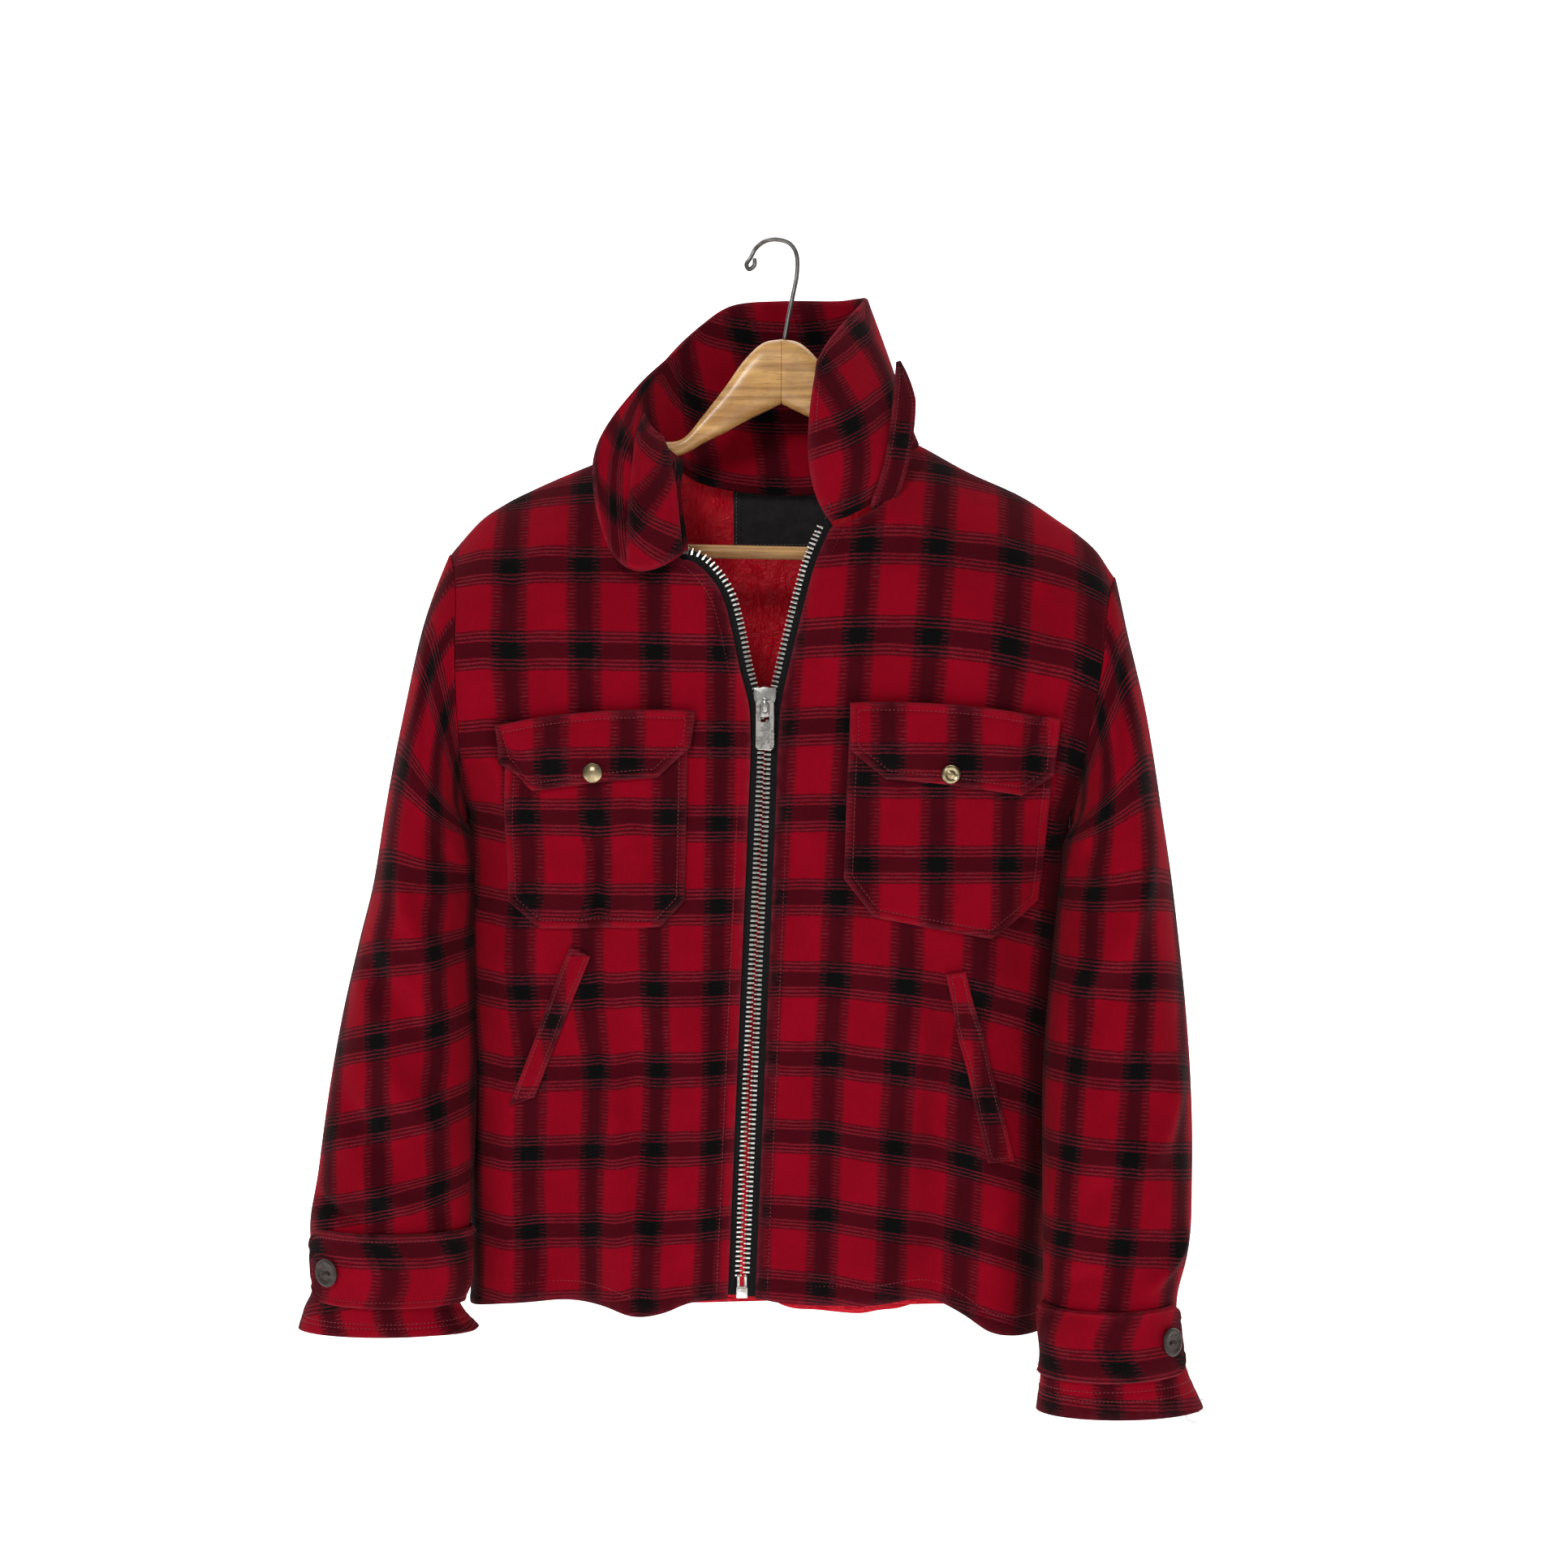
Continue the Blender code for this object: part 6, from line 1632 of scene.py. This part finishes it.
def build_slider():
    """Slider: two shield-shaped plates with turned rims, a wedge between them and an arched bail."""
    x, front, back = slider_depths()
    top, half = SLIDER_TOP_Z, SLIDER_WIDTH / 2
    share = np.linspace(0, 1, 15)
    width = half * (1.18 - .24 * ease((share - .34) / .2) - .24 * ease((share - .62) / .38))
    right = stack(x + width, top - share * SLIDER_HEIGHT)
    left = stack(x - width, right[:, 1])[::-1]
    crown = stack(x - half * .55 * np.linspace(1, -1, 5), top + .9 * np.cos(np.linspace(-1, 1, 5) * 1.5))
    foot = np.stack([x + half * .45 * np.linspace(1, -1, 5), top - SLIDER_HEIGHT - .5 * np.cos(
        np.linspace(-1, 1, 5) * 1.5)], -1)
    outline = np.concatenate([right, foot, left, crown])
    parts = [slab(outline, front, front + SLIDER_PLATE, .5), slab(outline, back, back + SLIDER_PLATE, .5)]
    wedge = rounded(POST[0], POST[1], 1.0, (x, top - POST[1] / 2 - POST_DROP))
    parts.append(slab(wedge, front + .3, back + .3, .2))
    for sign in (-1, 1):
        path = stack(x + sign * (width - .5), np.full(15, front + .1), right[:, 1])
        parts.append(tube(path[1:-1], .62, 10))
    reach = np.linspace(-1, 1, 25)
    bow = np.sqrt(clipped(1 - np.abs(reach) ** 2.6)) * (PIVOT_OFF + BAIL_CLEAR + BAIL_WIRE / 2)
    middle_z = PIVOT_Z + (BAIL_ABOVE - BAIL_BELOW) / 2
    length = (BAIL_ABOVE + BAIL_BELOW) / 2 - BAIL_WIRE / 2
    path = stack(np.full(25, x), front + .35 - bow, middle_z - reach * length)
    parts.append(tube(path, BAIL_WIRE / 2, 12, BAIL_WIDTH / BAIL_WIRE))
    look = metal_look("dull nickel", (.52, .51, .48), (.22, .21, .19), .30, 260.0)
    solid("zip_slider", parts, [look], "nickel")


def build_pull():
    """Pull tab: a plate round a window, as a ring of sections between the window's outline and its own."""
    x, front, _ = slider_depths()
    half, bar = PULL_WALL / 2, PULL_WALL / 2
    top = PIVOT_Z + bar
    width, high = PULL_WINDOW
    window = rounded(width, high, 1.6, (x, PIVOT_Z - bar - high / 2), 9)
    outer = rounded(PULL_WIDTH, PULL_LENGTH, 2.6, (x, top - PULL_LENGTH / 2), 9)
    step = .45
    rows = [(0, 0, half - step), (0, step, half), (.35, 0, half), (.7, 0, half), (1, -step, half),
            (1, 0, half - step)]
    rings = []
    for sign in (-1, 1):
        for share, inset, y in rows[::-sign]:
            flat = window * (1 - share) + outer * share
            way = unit(outer - window)
            flat = flat + way * inset
            rings.append(stack(flat[:, 0], np.full(len(flat), front - PIVOT_OFF + sign * y), flat[:, 1]))
    rings = np.array(rings)
    rows_count, sides = rings.shape[:2]
    index = np.arange(rows_count * sides).reshape(rows_count, sides)
    under, after = np.roll(index, -1, 0), np.roll(index, -1, 1)
    quads = stack(index, after, np.roll(under, -1, 1), under).reshape(-1, 4)
    look = metal_look(*WORN_NICKEL)
    solid("zip_pull", [(rings.reshape(-1, 3), quads)], [look], "nickel", body="pull")


def build_zip_box():
    """Bottom box of the zip with a raised rib and two pins above it."""
    x, face = zip_middle(BOX_TOP_Z)
    y = face + CHAIN_FRONT + CHAIN_THICK / 2
    height = BOX_TOP_Z - BOX_FOOT_Z
    outline = rounded(BOX_SIZE[0], height, .9, (x, (BOX_TOP_Z + BOX_FOOT_Z) / 2))
    rib = rounded(BOX_SIZE[0] - 2, 1.4, .6, (x, BOX_TOP_Z - 2.2))
    depth_half = BOX_SIZE[1] / 2
    parts = [slab(outline, y - depth_half, y + depth_half, .7), slab(rib, y - depth_half - .35, y, .3)]
    for off in (-PIN_OFF, PIN_OFF):
        low, high = BOX_TOP_Z + PIN_RISE - PIN_SIZE[2] / 2, BOX_TOP_Z + PIN_RISE + PIN_SIZE[2] / 2
        path = stack(np.full(8, x + off), np.full(8, y), np.linspace(low, high, 8))
        parts.append(tube(path, PIN_SIZE[0] / 2, 14))
    look = metal_look(*WORN_NICKEL)
    solid("zip_box", parts, [look], "nickel")


def build_arm(side):
    """A hanger arm: superellipse sections along it, with a lug that holds the bar."""
    sign = -1 if side == "right" else 1
    reach = np.concatenate([np.linspace(.15, 92, 40), np.linspace(92, ARM_REACH, 60)[1:]])
    inner = smooth([*ARM_ROWS, (92, *arm_top(sign, 92), 0, ARM_HALF_DEPTH)], reach)
    top, bottom = arm_top(sign, reach)
    lug = np.exp(-((reach - LUG_REACH) / LUG_SPREAD) ** 4)
    bottom = bottom + (BAR_Z - BAR_RADIUS - LUG_WALL - bottom) * lug
    near = reach < 92
    top, bottom = np.where(near, inner[:, 0], top), np.where(near, inner[:, 1], bottom)
    y, half = np.where(near, inner[:, 2], 0), np.where(near, inner[:, 3], ARM_HALF_DEPTH)
    close = np.sqrt(clipped((ARM_REACH + .3 - reach) / 5))
    around = np.arange(32) / 32 * 2 * math.pi
    c, s = (np.sign(wave) * np.abs(wave) ** .82 for wave in (np.cos(around), np.sin(around)))
    x = HANGER_X + sign * reach
    height = (top - bottom) / 2 * close
    rings = np.stack([x[:, None] + 0 * c, y[:, None] + (half * close)[:, None] * s,
                      ((top + bottom) / 2)[:, None] + height[:, None] * c], -1)
    name = f"hanger_arm_{side}"
    solid(name, [ring_solid(rings)], [wood_look()], "wood", sharp=60)


def arm_top(sign, reach):
    """Top and bottom of a hanger arm under the shoulder's ridge."""
    top = smooth_one(RIDGE, HANGER_X + sign * np.asarray(reach, float)) - ARM_UNDER_RIDGE
    return top, top - ARM_HEIGHT


def build_bar():
    """Round bar between the arms' lugs."""
    length = LUG_REACH + BAR_PAST_LUG
    tilt = math.radians(BAR_TILT)
    share = np.linspace(-1, 1, 40)[:, None]
    path = np.array([HANGER_X, 0, BAR_Z]) + share * length * np.array([math.cos(tilt), 0, -math.sin(tilt)])
    solid("hanger_bar", [tube(path, BAR_RADIUS, 32)], [wood_look()], "wood", sharp=60)


def build_hook():
    """Wire hook: one smooth curve from the wood up over the crown to its curled end."""
    rows = [(i, x, z) for i, (x, z) in enumerate(HOOK_ROUTE)]
    place = np.linspace(0, HOOK_POINTS - 1, 140)
    found = smooth(rows, place / (HOOK_POINTS - 1) * (len(rows) - 1))
    y = HOOK_Y + HOOK_CURL * ease((place - HOOK_CURL_FROM) / (HOOK_POINTS - 1 - HOOK_CURL_FROM))
    path = stack(found[:, 0], y, found[:, 1])
    look = metal_look("dark steel wire", (.22, .21, .20), (.07, .055, .045), .30, 90.0)
    solid("hanger_hook", [tube(path, WIRE / 2, 24)], [look], "steel_wire", sharp=60)


def read_line(points, normal, run, at, axis):
    """Line on a grid at one running length: points and normals read between grid lines."""
    both = np.moveaxis(np.concatenate([points, normal], -1), axis, 0)
    run = np.moveaxis(run, axis, 0)
    at = np.broadcast_to(at, run.shape[1:])
    upper = np.clip((run < at[None]).sum(0), 1, len(run) - 1)
    pick = np.arange(run.shape[1])
    low, high = run[upper - 1, pick], run[upper, pick]
    share = clipped((at - low) / (high - low))[:, None]
    found = both[upper - 1, pick] * (1 - share) + both[upper, pick] * share
    return found[:, :3], unit(found[:, 3:])


def stitched(name, rows, look, settings):
    """Rows of stitches as one joined mesh."""
    parts = [thread_row(points, normal, settings) for points, normal in rows if len(points) > 2]
    points, faces = join(parts)
    piece(new_mesh(name, points, faces, [look], sharp=80), "wool")


def patch_stitches(rows, lift, thick, arch, inset, top=True):
    """Lines of stitching inside a patch's outline."""
    table = np.asarray(rows, float)
    outline = inset_outline(np.concatenate([table[:, :2], table[::-1, 2:]]), inset)
    found = []
    for k, (a, b) in enumerate(zip(outline, np.roll(outline, -1, 0))):
        if k == len(outline) - 1 and not top:
            continue
        share = np.linspace(0, 1, max(3, int(np.linalg.norm(b - a) / 3)))[:, None]
        line = a * (1 - share) + b * share
        x, z = line[:, 0], line[:, 1] + arch_of(rows, line[:, 0], arch)
        found.append(on_front(x, z, np.full(x.shape, lift + thick - THREAD_SUNK)))
    return found


def front_stitches(side):
    """The placket's line beside the zip, and the hem's."""
    points = front_grid(side, FINE_ROWS, FINE_COLUMNS)
    normal = grid_normals(points, (0, -1, 0))
    lifted = points - normal * THREAD_SUNK
    off, down = spans(points)
    first = row_number(ZIP_TOP_ROW, FINE_ROWS)
    line, up = read_line(lifted, normal, off, PLACKET_INSET, 0)
    hem, hem_up = read_line(lifted, normal, down, down[:, -1] - HEM_INSET, 1)
    return [(line[first:], up[first:]), (hem[8:-3], hem_up[8:-3])]


def collar_stitches():
    """Lines inside the collar's free edges, on both of its sides."""
    points, normal, run, rise, _ = collar_grid()
    found = []
    for sign in (-1, 1):
        lifted = points + sign * normal * (COLLAR_WALL / 2 - THREAD_SUNK)
        top, top_up = read_line(lifted, sign * normal, rise, rise[:, -1] - COLLAR_INSET, 1)
        keep = (run[:, -1] > COLLAR_INSET) & (run[:, -1] < run[-1, -1] - COLLAR_INSET)
        found.append((top[keep], top_up[keep]))
        for at in (COLLAR_INSET, run[-1] - COLLAR_INSET):
            line, line_up = read_line(lifted, sign * normal, run, at, 0)
            inside = (rise[0] > .12 * rise[0, -1]) & (rise[0] < rise[0, -1] - COLLAR_INSET)
            found.append((line[inside], line_up[inside]))
    return found


def strap_stitches(side):
    """Lines inside a strap's edges."""
    points, normal, _ = strap_grid(side, 80, 34)
    lifted = points + normal * (STRAP_GAP + STRAP_WALL - THREAD_SUNK)
    run, rise = spans(points)
    found = []
    for at in (STRAP_INSET, rise[:, -1] - STRAP_INSET):
        line, up = read_line(lifted, normal, rise, at, 1)
        keep = run[:, run.shape[1] // 2] > STRAP_INSET
        found.append((line[keep], up[keep]))
    line, up = read_line(lifted, normal, run, STRAP_INSET, 0)
    keep = (rise[6] > STRAP_INSET) & (rise[6] < rise[6, -1] - STRAP_INSET)
    return [*found, (line[keep], up[keep])]


def cuff_stitches(side):
    """Rings of stitches round a sleeve's end."""
    turn = (np.arange(241) / 240)[:, None]
    row = np.array(CUFF_STITCH_ROWS)[None, :]
    points = sleeve_point(side, turn, row)
    normal = slope_normal(lambda a, b: sleeve_point(side, a, b), turn, row, .004)
    normal = normal if (normal * (points - points.mean(0))).sum() > 0 else -normal
    return [(points[:, i] - normal[:, i] * (THREAD_SUNK - .1), normal[:, i]) for i in range(row.size)]


def build_stitching(settings):
    """All the visible lines of stitching, as rows of small beads."""
    look = thread_look("red thread", (.17, .006, .014))
    for side in SIDES:
        rows = patch_stitches(POCKET_ROWS[side], PATCH_GAP, WOOL, 0, STITCH_INSET, top=False)
        rows += patch_stitches(FLAP_ROWS[side], 2 * PATCH_GAP + WOOL, FLAP_WALL, FLAP_ARCH, STITCH_INSET)
        rows += patch_stitches(WELT_ROWS[side], WELT_GAP, WOOL, 0, WELT_INSET)
        stitched(f"pocket_stitching_{side}", rows, look, settings)
        stitched(f"front_stitching_{side}", front_stitches(side), look, settings)
        stitched(f"cuff_stitching_{side}", strap_stitches(side) + cuff_stitches(side), look, settings)
    near, normal, run, _, _ = tab_grid()
    lifted = near + normal * (TAB_WALL - THREAD_SUNK)
    rows = [read_line(lifted, normal, run, at, 0) for at in (TAB_INSET, run[-1] - TAB_INSET)]
    wide = run[-1] > 2.4 * TAB_INSET
    rows = [(line[wide], up[wide]) for line, up in rows]
    stitched("collar_stitching", collar_stitches() + rows, look, settings)
    corners = np.array([(LABEL_X[0] + 2, LABEL_Z[0] - 2), (LABEL_X[1] - 2, LABEL_Z[0] - 2),
                        (LABEL_X[1] - 2, LABEL_Z[1] + 2), (LABEL_X[0] + 2, LABEL_Z[1] + 2)])
    rows = []
    for a, b in zip(corners, np.roll(corners, -1, 0)):
        share = np.linspace(0, 1, 30)[:, None]
        line = a * (1 - share) + b * share
        y = back_depth(line[:, 0], line[:, 1]) - (WOOL + SEAM_GAP + NYLON) - LABEL_GAP - LABEL_WALL + .1
        rows.append((stack(line[:, 0], y, line[:, 1]), np.broadcast_to([0, -1.0, 0], (30, 3))))
    stitched("label_stitching", rows, thread_look("grey thread", (.10, .09, .09)), settings)


def build_threads():
    """Frayed thread ends: short curled tubes out of the cloth's edges."""
    parts = []
    for x, y, z, dx, dy, dz, curl in LOOSE_THREADS:
        share = np.linspace(0, 1, 22)[:, None]
        path = np.array([x, y, z]) + share * np.array([dx, dy, dz])
        bend = np.array([dz, .4 * dx, -dx]) / max(math.hypot(dx, dz), 1e-6)
        path = path + bend * np.sin(share * math.pi * 1.3) * curl
        parts.append(tube(path, .28, 6))
    points, faces = join([(some, faced_out(some, quads)) for some, quads in parts])
    look = thread_look("frayed thread", (.55, .46, .44))
    piece(new_mesh("loose_threads", points, faces, [look], sharp=80), "wool")


def build_backdrop():
    """Backdrop: a floor that curves up into a wall, as one sheet that is clear from behind."""
    share = np.linspace(0, 1, BACKDROP_ROWS)
    reach = BACKDROP_SIZE * 1.5
    turn = clipped((share - FLOOR_SHARE) / CORNER_SHARE) * math.pi / 2
    floor_y = -reach + share / FLOOR_SHARE * (reach + WALL_Y)
    y = np.where(share < FLOOR_SHARE, floor_y, WALL_Y + CORNER_RADIUS * np.sin(turn))
    climb = clipped((share - FLOOR_SHARE - CORNER_SHARE) / FLOOR_SHARE) * BACKDROP_SIZE
    z = np.where(share < FLOOR_SHARE, 0, CORNER_RADIUS * (1 - np.cos(turn))) + climb + FLOOR_Z
    x = np.linspace(-BACKDROP_SIZE, BACKDROP_SIZE, BACKDROP_COLUMNS)
    grid = np.stack(np.broadcast_arrays(x[:, None], y[None, :], z[None, :]), -1) / MM
    index = np.arange(BACKDROP_COLUMNS * BACKDROP_ROWS).reshape(BACKDROP_COLUMNS, BACKDROP_ROWS)
    faces = stack(index[:-1, :-1], index[1:, :-1], index[1:, 1:], index[:-1, 1:]).reshape(-1, 4)
    made, tree, place = looks_new(
        "backdrop", Roughness=BACKDROP_ROUGH, Emission_Color=(1, 1, 1, 1), Emission_Strength=BACKDROP_GLOW)
    shader = tree.nodes["Principled BSDF"]
    facing = add(tree, "ShaderNodeNewGeometry")
    tree.links.new(minus(tree, 1.0, facing.outputs["Backfacing"]), shader.inputs["Alpha"])
    tone = ramp(tree, noise(tree, place, 3, 2, .5), .3, .7, .985, 1.0)
    tree.links.new(scaled(tree, BACKDROP_TONE, tone), shader.inputs["Base Color"])
    return new_mesh("backdrop", grid.reshape(-1, 3), faces, [made])


def area_light(name, at, aim, size, power):
    """Soft rectangular light aimed at a point."""
    data = bpy.data.lights.new(name, "AREA")
    data.shape = "RECTANGLE"
    data.size, data.size_y = size
    data.energy = power
    thing = bpy.data.objects.new(name, data)
    thing.location = at
    thing.rotation_euler = (Vector(aim) - Vector(at)).to_track_quat("-Z", "Y").to_euler()
    bpy.context.scene.collection.objects.link(thing)
    return thing


def build_stage(settings):
    """Pale backdrop, studio lights, even world light and the camera square on to the jacket."""
    things = [build_backdrop(), *(area_light(*light) for light in LIGHTS)]
    world = bpy.data.worlds.new("studio")
    world.use_nodes = True
    world.node_tree.nodes["Background"].inputs[0].default_value = (1, 1, 1, 1)
    world.node_tree.nodes["Background"].inputs[1].default_value = settings.world_light
    bpy.context.scene.world = world
    data = bpy.data.cameras.new("camera")
    data.sensor_width = 36
    data.lens = 36 * CAMERA_Y / CAMERA_WIDTH
    camera = bpy.data.objects.new("camera", data)
    camera.location = (CAMERA_X, -CAMERA_Y, CAMERA_Z)
    camera.rotation_euler = (math.radians(90), 0, 0)
    bpy.context.scene.collection.objects.link(camera)
    bpy.context.scene.camera = camera
    bpy.context.scene.view_settings.view_transform = "Standard"


def build_hem_lining():
    """Lining that hangs below the left front's hem: the hem's curve, moved inward, with an arched drop."""
    points = front_grid("left", FINE_ROWS, FINE_COLUMNS)[:, -8:]
    normal = grid_normals(points, (0, -1, 0))
    columns = (points[:, -1, 0] > HEM_LINING_X[0]) & (points[:, -1, 0] < HEM_LINING_X[1])
    points, normal = points[columns], normal[columns]
    share = np.linspace(0, 1, len(points))[:, None]
    down = np.linspace(0, 1, points.shape[1])[None, :]
    drop = HEM_LINING_DROP * np.sin(share * math.pi) ** .5 * down * (1 + .12 * np.sin(share * 19))
    near = points - normal * (WOOL + SEAM_GAP)
    near[..., 2] -= drop
    near[..., 1] += .8 * np.sin(share * 31 + down * 2) * down + 1.0
    far = near - normal * NYLON
    cloth("hem_lining", far, near, np.zeros((*drop.shape, 2)), [nylon_look()], rests_on=["front_left"],
          slot="nylon", in_cad=False)


def colour_setting(name, description, default):
    """A colour in the sidebar."""
    return FloatVectorProperty(
        name=name, description=description, subtype="COLOR", default=default, min=0, max=1)


def length_setting(name, description, default, least):
    """A length in the sidebar."""
    return FloatProperty(name=name, description=description, default=default, min=least, unit="LENGTH")


class JacketSettings(bpy.types.PropertyGroup):
    """Sizes and colours of the jacket."""

    wool: length_setting("Wool wall", "Thickness of the wool", .0022, .0005)
    stitch_pitch: length_setting("Stitch pitch", "Length of one stitch", .0030, .001)
    tooth_pitch: length_setting("Tooth pitch", "Zip tooth pitch on one side", .0035, .001)
    world_light: FloatProperty(
        name="World light", description="Strength of the even light", default=.16, min=0)
    ground: colour_setting("Ground", "Red ground of the plaid", (.235, .0015, .010))
    dark: colour_setting("Dark", "Dark stripes of the plaid", (.030, .0022, .0050))
    crossing: colour_setting("Crossing", "Where dark stripes cross", (.0032, .0036, .0038))
    light_thread: colour_setting("Light thread", "Fine light lines", (.150, .021, .030))
    worn: colour_setting("Worn edge", "Faded wool at worn edges", (.20, .022, .034))
    lining: colour_setting("Lining", "Red nylon", (.62, .004, .018))
    # Darker red nylon, used both as painted shade in the lining's creases and as real dulling where the
    # lining is worn.
    lining_shade_and_wear: colour_setting("Lining shade and wear", "Red nylon darkened for painted crease shade and dulled by wear", (.32, .002, .009))
    wood_light: colour_setting("Wood light", "Light grain of the wood", (.76, .43, .14))
    wood_dark: colour_setting("Wood dark", "Dark grain of the wood", (.46, .22, .062))


class BuildStep:
    """What every operator shares: it builds its pieces from the scene's settings"""

    def execute(self, context):
        self.build(context.scene.jacket)
        return {"FINISHED"}


class JACKET_OT_body(BuildStep, bpy.types.Operator):
    """Build the two fronts and the back"""

    bl_idname = "jacket.body"
    bl_label = "Fronts and back"

    def build(self, settings):
        for side in SIDES:
            build_front(side, settings)
        build_back(settings)


class JACKET_OT_lining(BuildStep, bpy.types.Operator):
    """Build the back lining and the label on it"""

    bl_idname = "jacket.lining"
    bl_label = "Lining and label"

    def build(self, settings):
        build_lining()
        build_label()
        build_hem_lining()


class JACKET_OT_sleeves(BuildStep, bpy.types.Operator):
    """Build the two sleeves"""

    bl_idname = "jacket.sleeves"
    bl_label = "Sleeves"

    def build(self, settings):
        for side in SIDES:
            build_sleeve(side, settings)


class JACKET_OT_collar(BuildStep, bpy.types.Operator):
    """Build the collar, the turned-out facing and the throat tab"""

    bl_idname = "jacket.collar"
    bl_label = "Collar"

    def build(self, settings):
        build_collar()
        build_facing()
        build_tab()


class JACKET_OT_pockets(BuildStep, bpy.types.Operator):
    """Build the patch pockets, their flaps, the welts and the snaps"""

    bl_idname = "jacket.pockets"
    bl_label = "Pockets"

    def build(self, settings):
        for side in SIDES:
            build_patch(f"pocket_{side}", POCKET_ROWS[side], PATCH_GAP, WOOL, 96, 90)
            build_patch(f"flap_{side}", FLAP_ROWS[side], 2 * PATCH_GAP + WOOL, FLAP_WALL, 96, 50, FLAP_ARCH)
            build_patch(f"welt_{side}", WELT_ROWS[side], WELT_GAP, WOOL, 22, 90)
            build_snap(side)


class JACKET_OT_cuffs(BuildStep, bpy.types.Operator):
    """Build the cuff straps and their buttons"""

    bl_idname = "jacket.cuffs"
    bl_label = "Cuffs"

    def build(self, settings):
        for side in SIDES:
            build_strap(side)
            build_button(side)


class JACKET_OT_zip(BuildStep, bpy.types.Operator):
    """Build the zip: tapes, teeth, slider, pull tab and box"""

    bl_idname = "jacket.zip"
    bl_label = "Zip"

    def build(self, settings):
        for side in SIDES:
            build_tape(side)
            build_teeth(side, settings)
        build_slider()
        build_pull()
        build_zip_box()


class JACKET_OT_hanger(BuildStep, bpy.types.Operator):
    """Build the wooden hanger with its bar and hook"""

    bl_idname = "jacket.hanger"
    bl_label = "Hanger"

    def build(self, settings):
        for side in SIDES:
            build_arm(side)
        build_bar()
        build_hook()


class JACKET_OT_stitching(BuildStep, bpy.types.Operator):
    """Build the stitching and the frayed threads"""

    bl_idname = "jacket.stitching"
    bl_label = "Stitching"

    def build(self, settings):
        build_stitching(settings)
        build_threads()


class JACKET_OT_stage(BuildStep, bpy.types.Operator):
    """Build the backdrop, the lights and the camera"""

    bl_idname = "jacket.stage"
    bl_label = "Stage"

    def build(self, settings):
        build_stage(settings)


OPERATORS = (
    JACKET_OT_body, JACKET_OT_lining, JACKET_OT_sleeves, JACKET_OT_collar, JACKET_OT_pockets,
    JACKET_OT_cuffs, JACKET_OT_zip, JACKET_OT_hanger, JACKET_OT_stitching, JACKET_OT_stage)


class JACKET_PT_panel(bpy.types.Panel):
    """Sidebar panel with the settings and one button for each group of pieces"""

    bl_label = "Plaid wool jacket"
    bl_idname = "JACKET_PT_panel"
    bl_space_type = "VIEW_3D"
    bl_region_type = "UI"
    bl_category = "Jacket"

    def draw(self, context):
        for name in JacketSettings.__annotations__:
            self.layout.prop(context.scene.jacket, name)
        for operator in OPERATORS:
            self.layout.operator(operator.bl_idname)


CLASSES = (JacketSettings, *OPERATORS, JACKET_PT_panel)


def register():
    for made in CLASSES:
        bpy.utils.register_class(made)
    bpy.types.Scene.jacket = PointerProperty(type=JacketSettings)


def unregister():
    del bpy.types.Scene.jacket
    for made in reversed(CLASSES):
        bpy.utils.unregister_class(made)


def main():
    register()
    bpy.ops.jacket.body()
    bpy.ops.jacket.lining()
    bpy.ops.jacket.sleeves()
    bpy.ops.jacket.collar()
    bpy.ops.jacket.pockets()
    bpy.ops.jacket.cuffs()
    bpy.ops.jacket.zip()
    bpy.ops.jacket.hanger()
    bpy.ops.jacket.stitching()
    bpy.ops.jacket.stage()


if __name__ == "__main__":
    main()
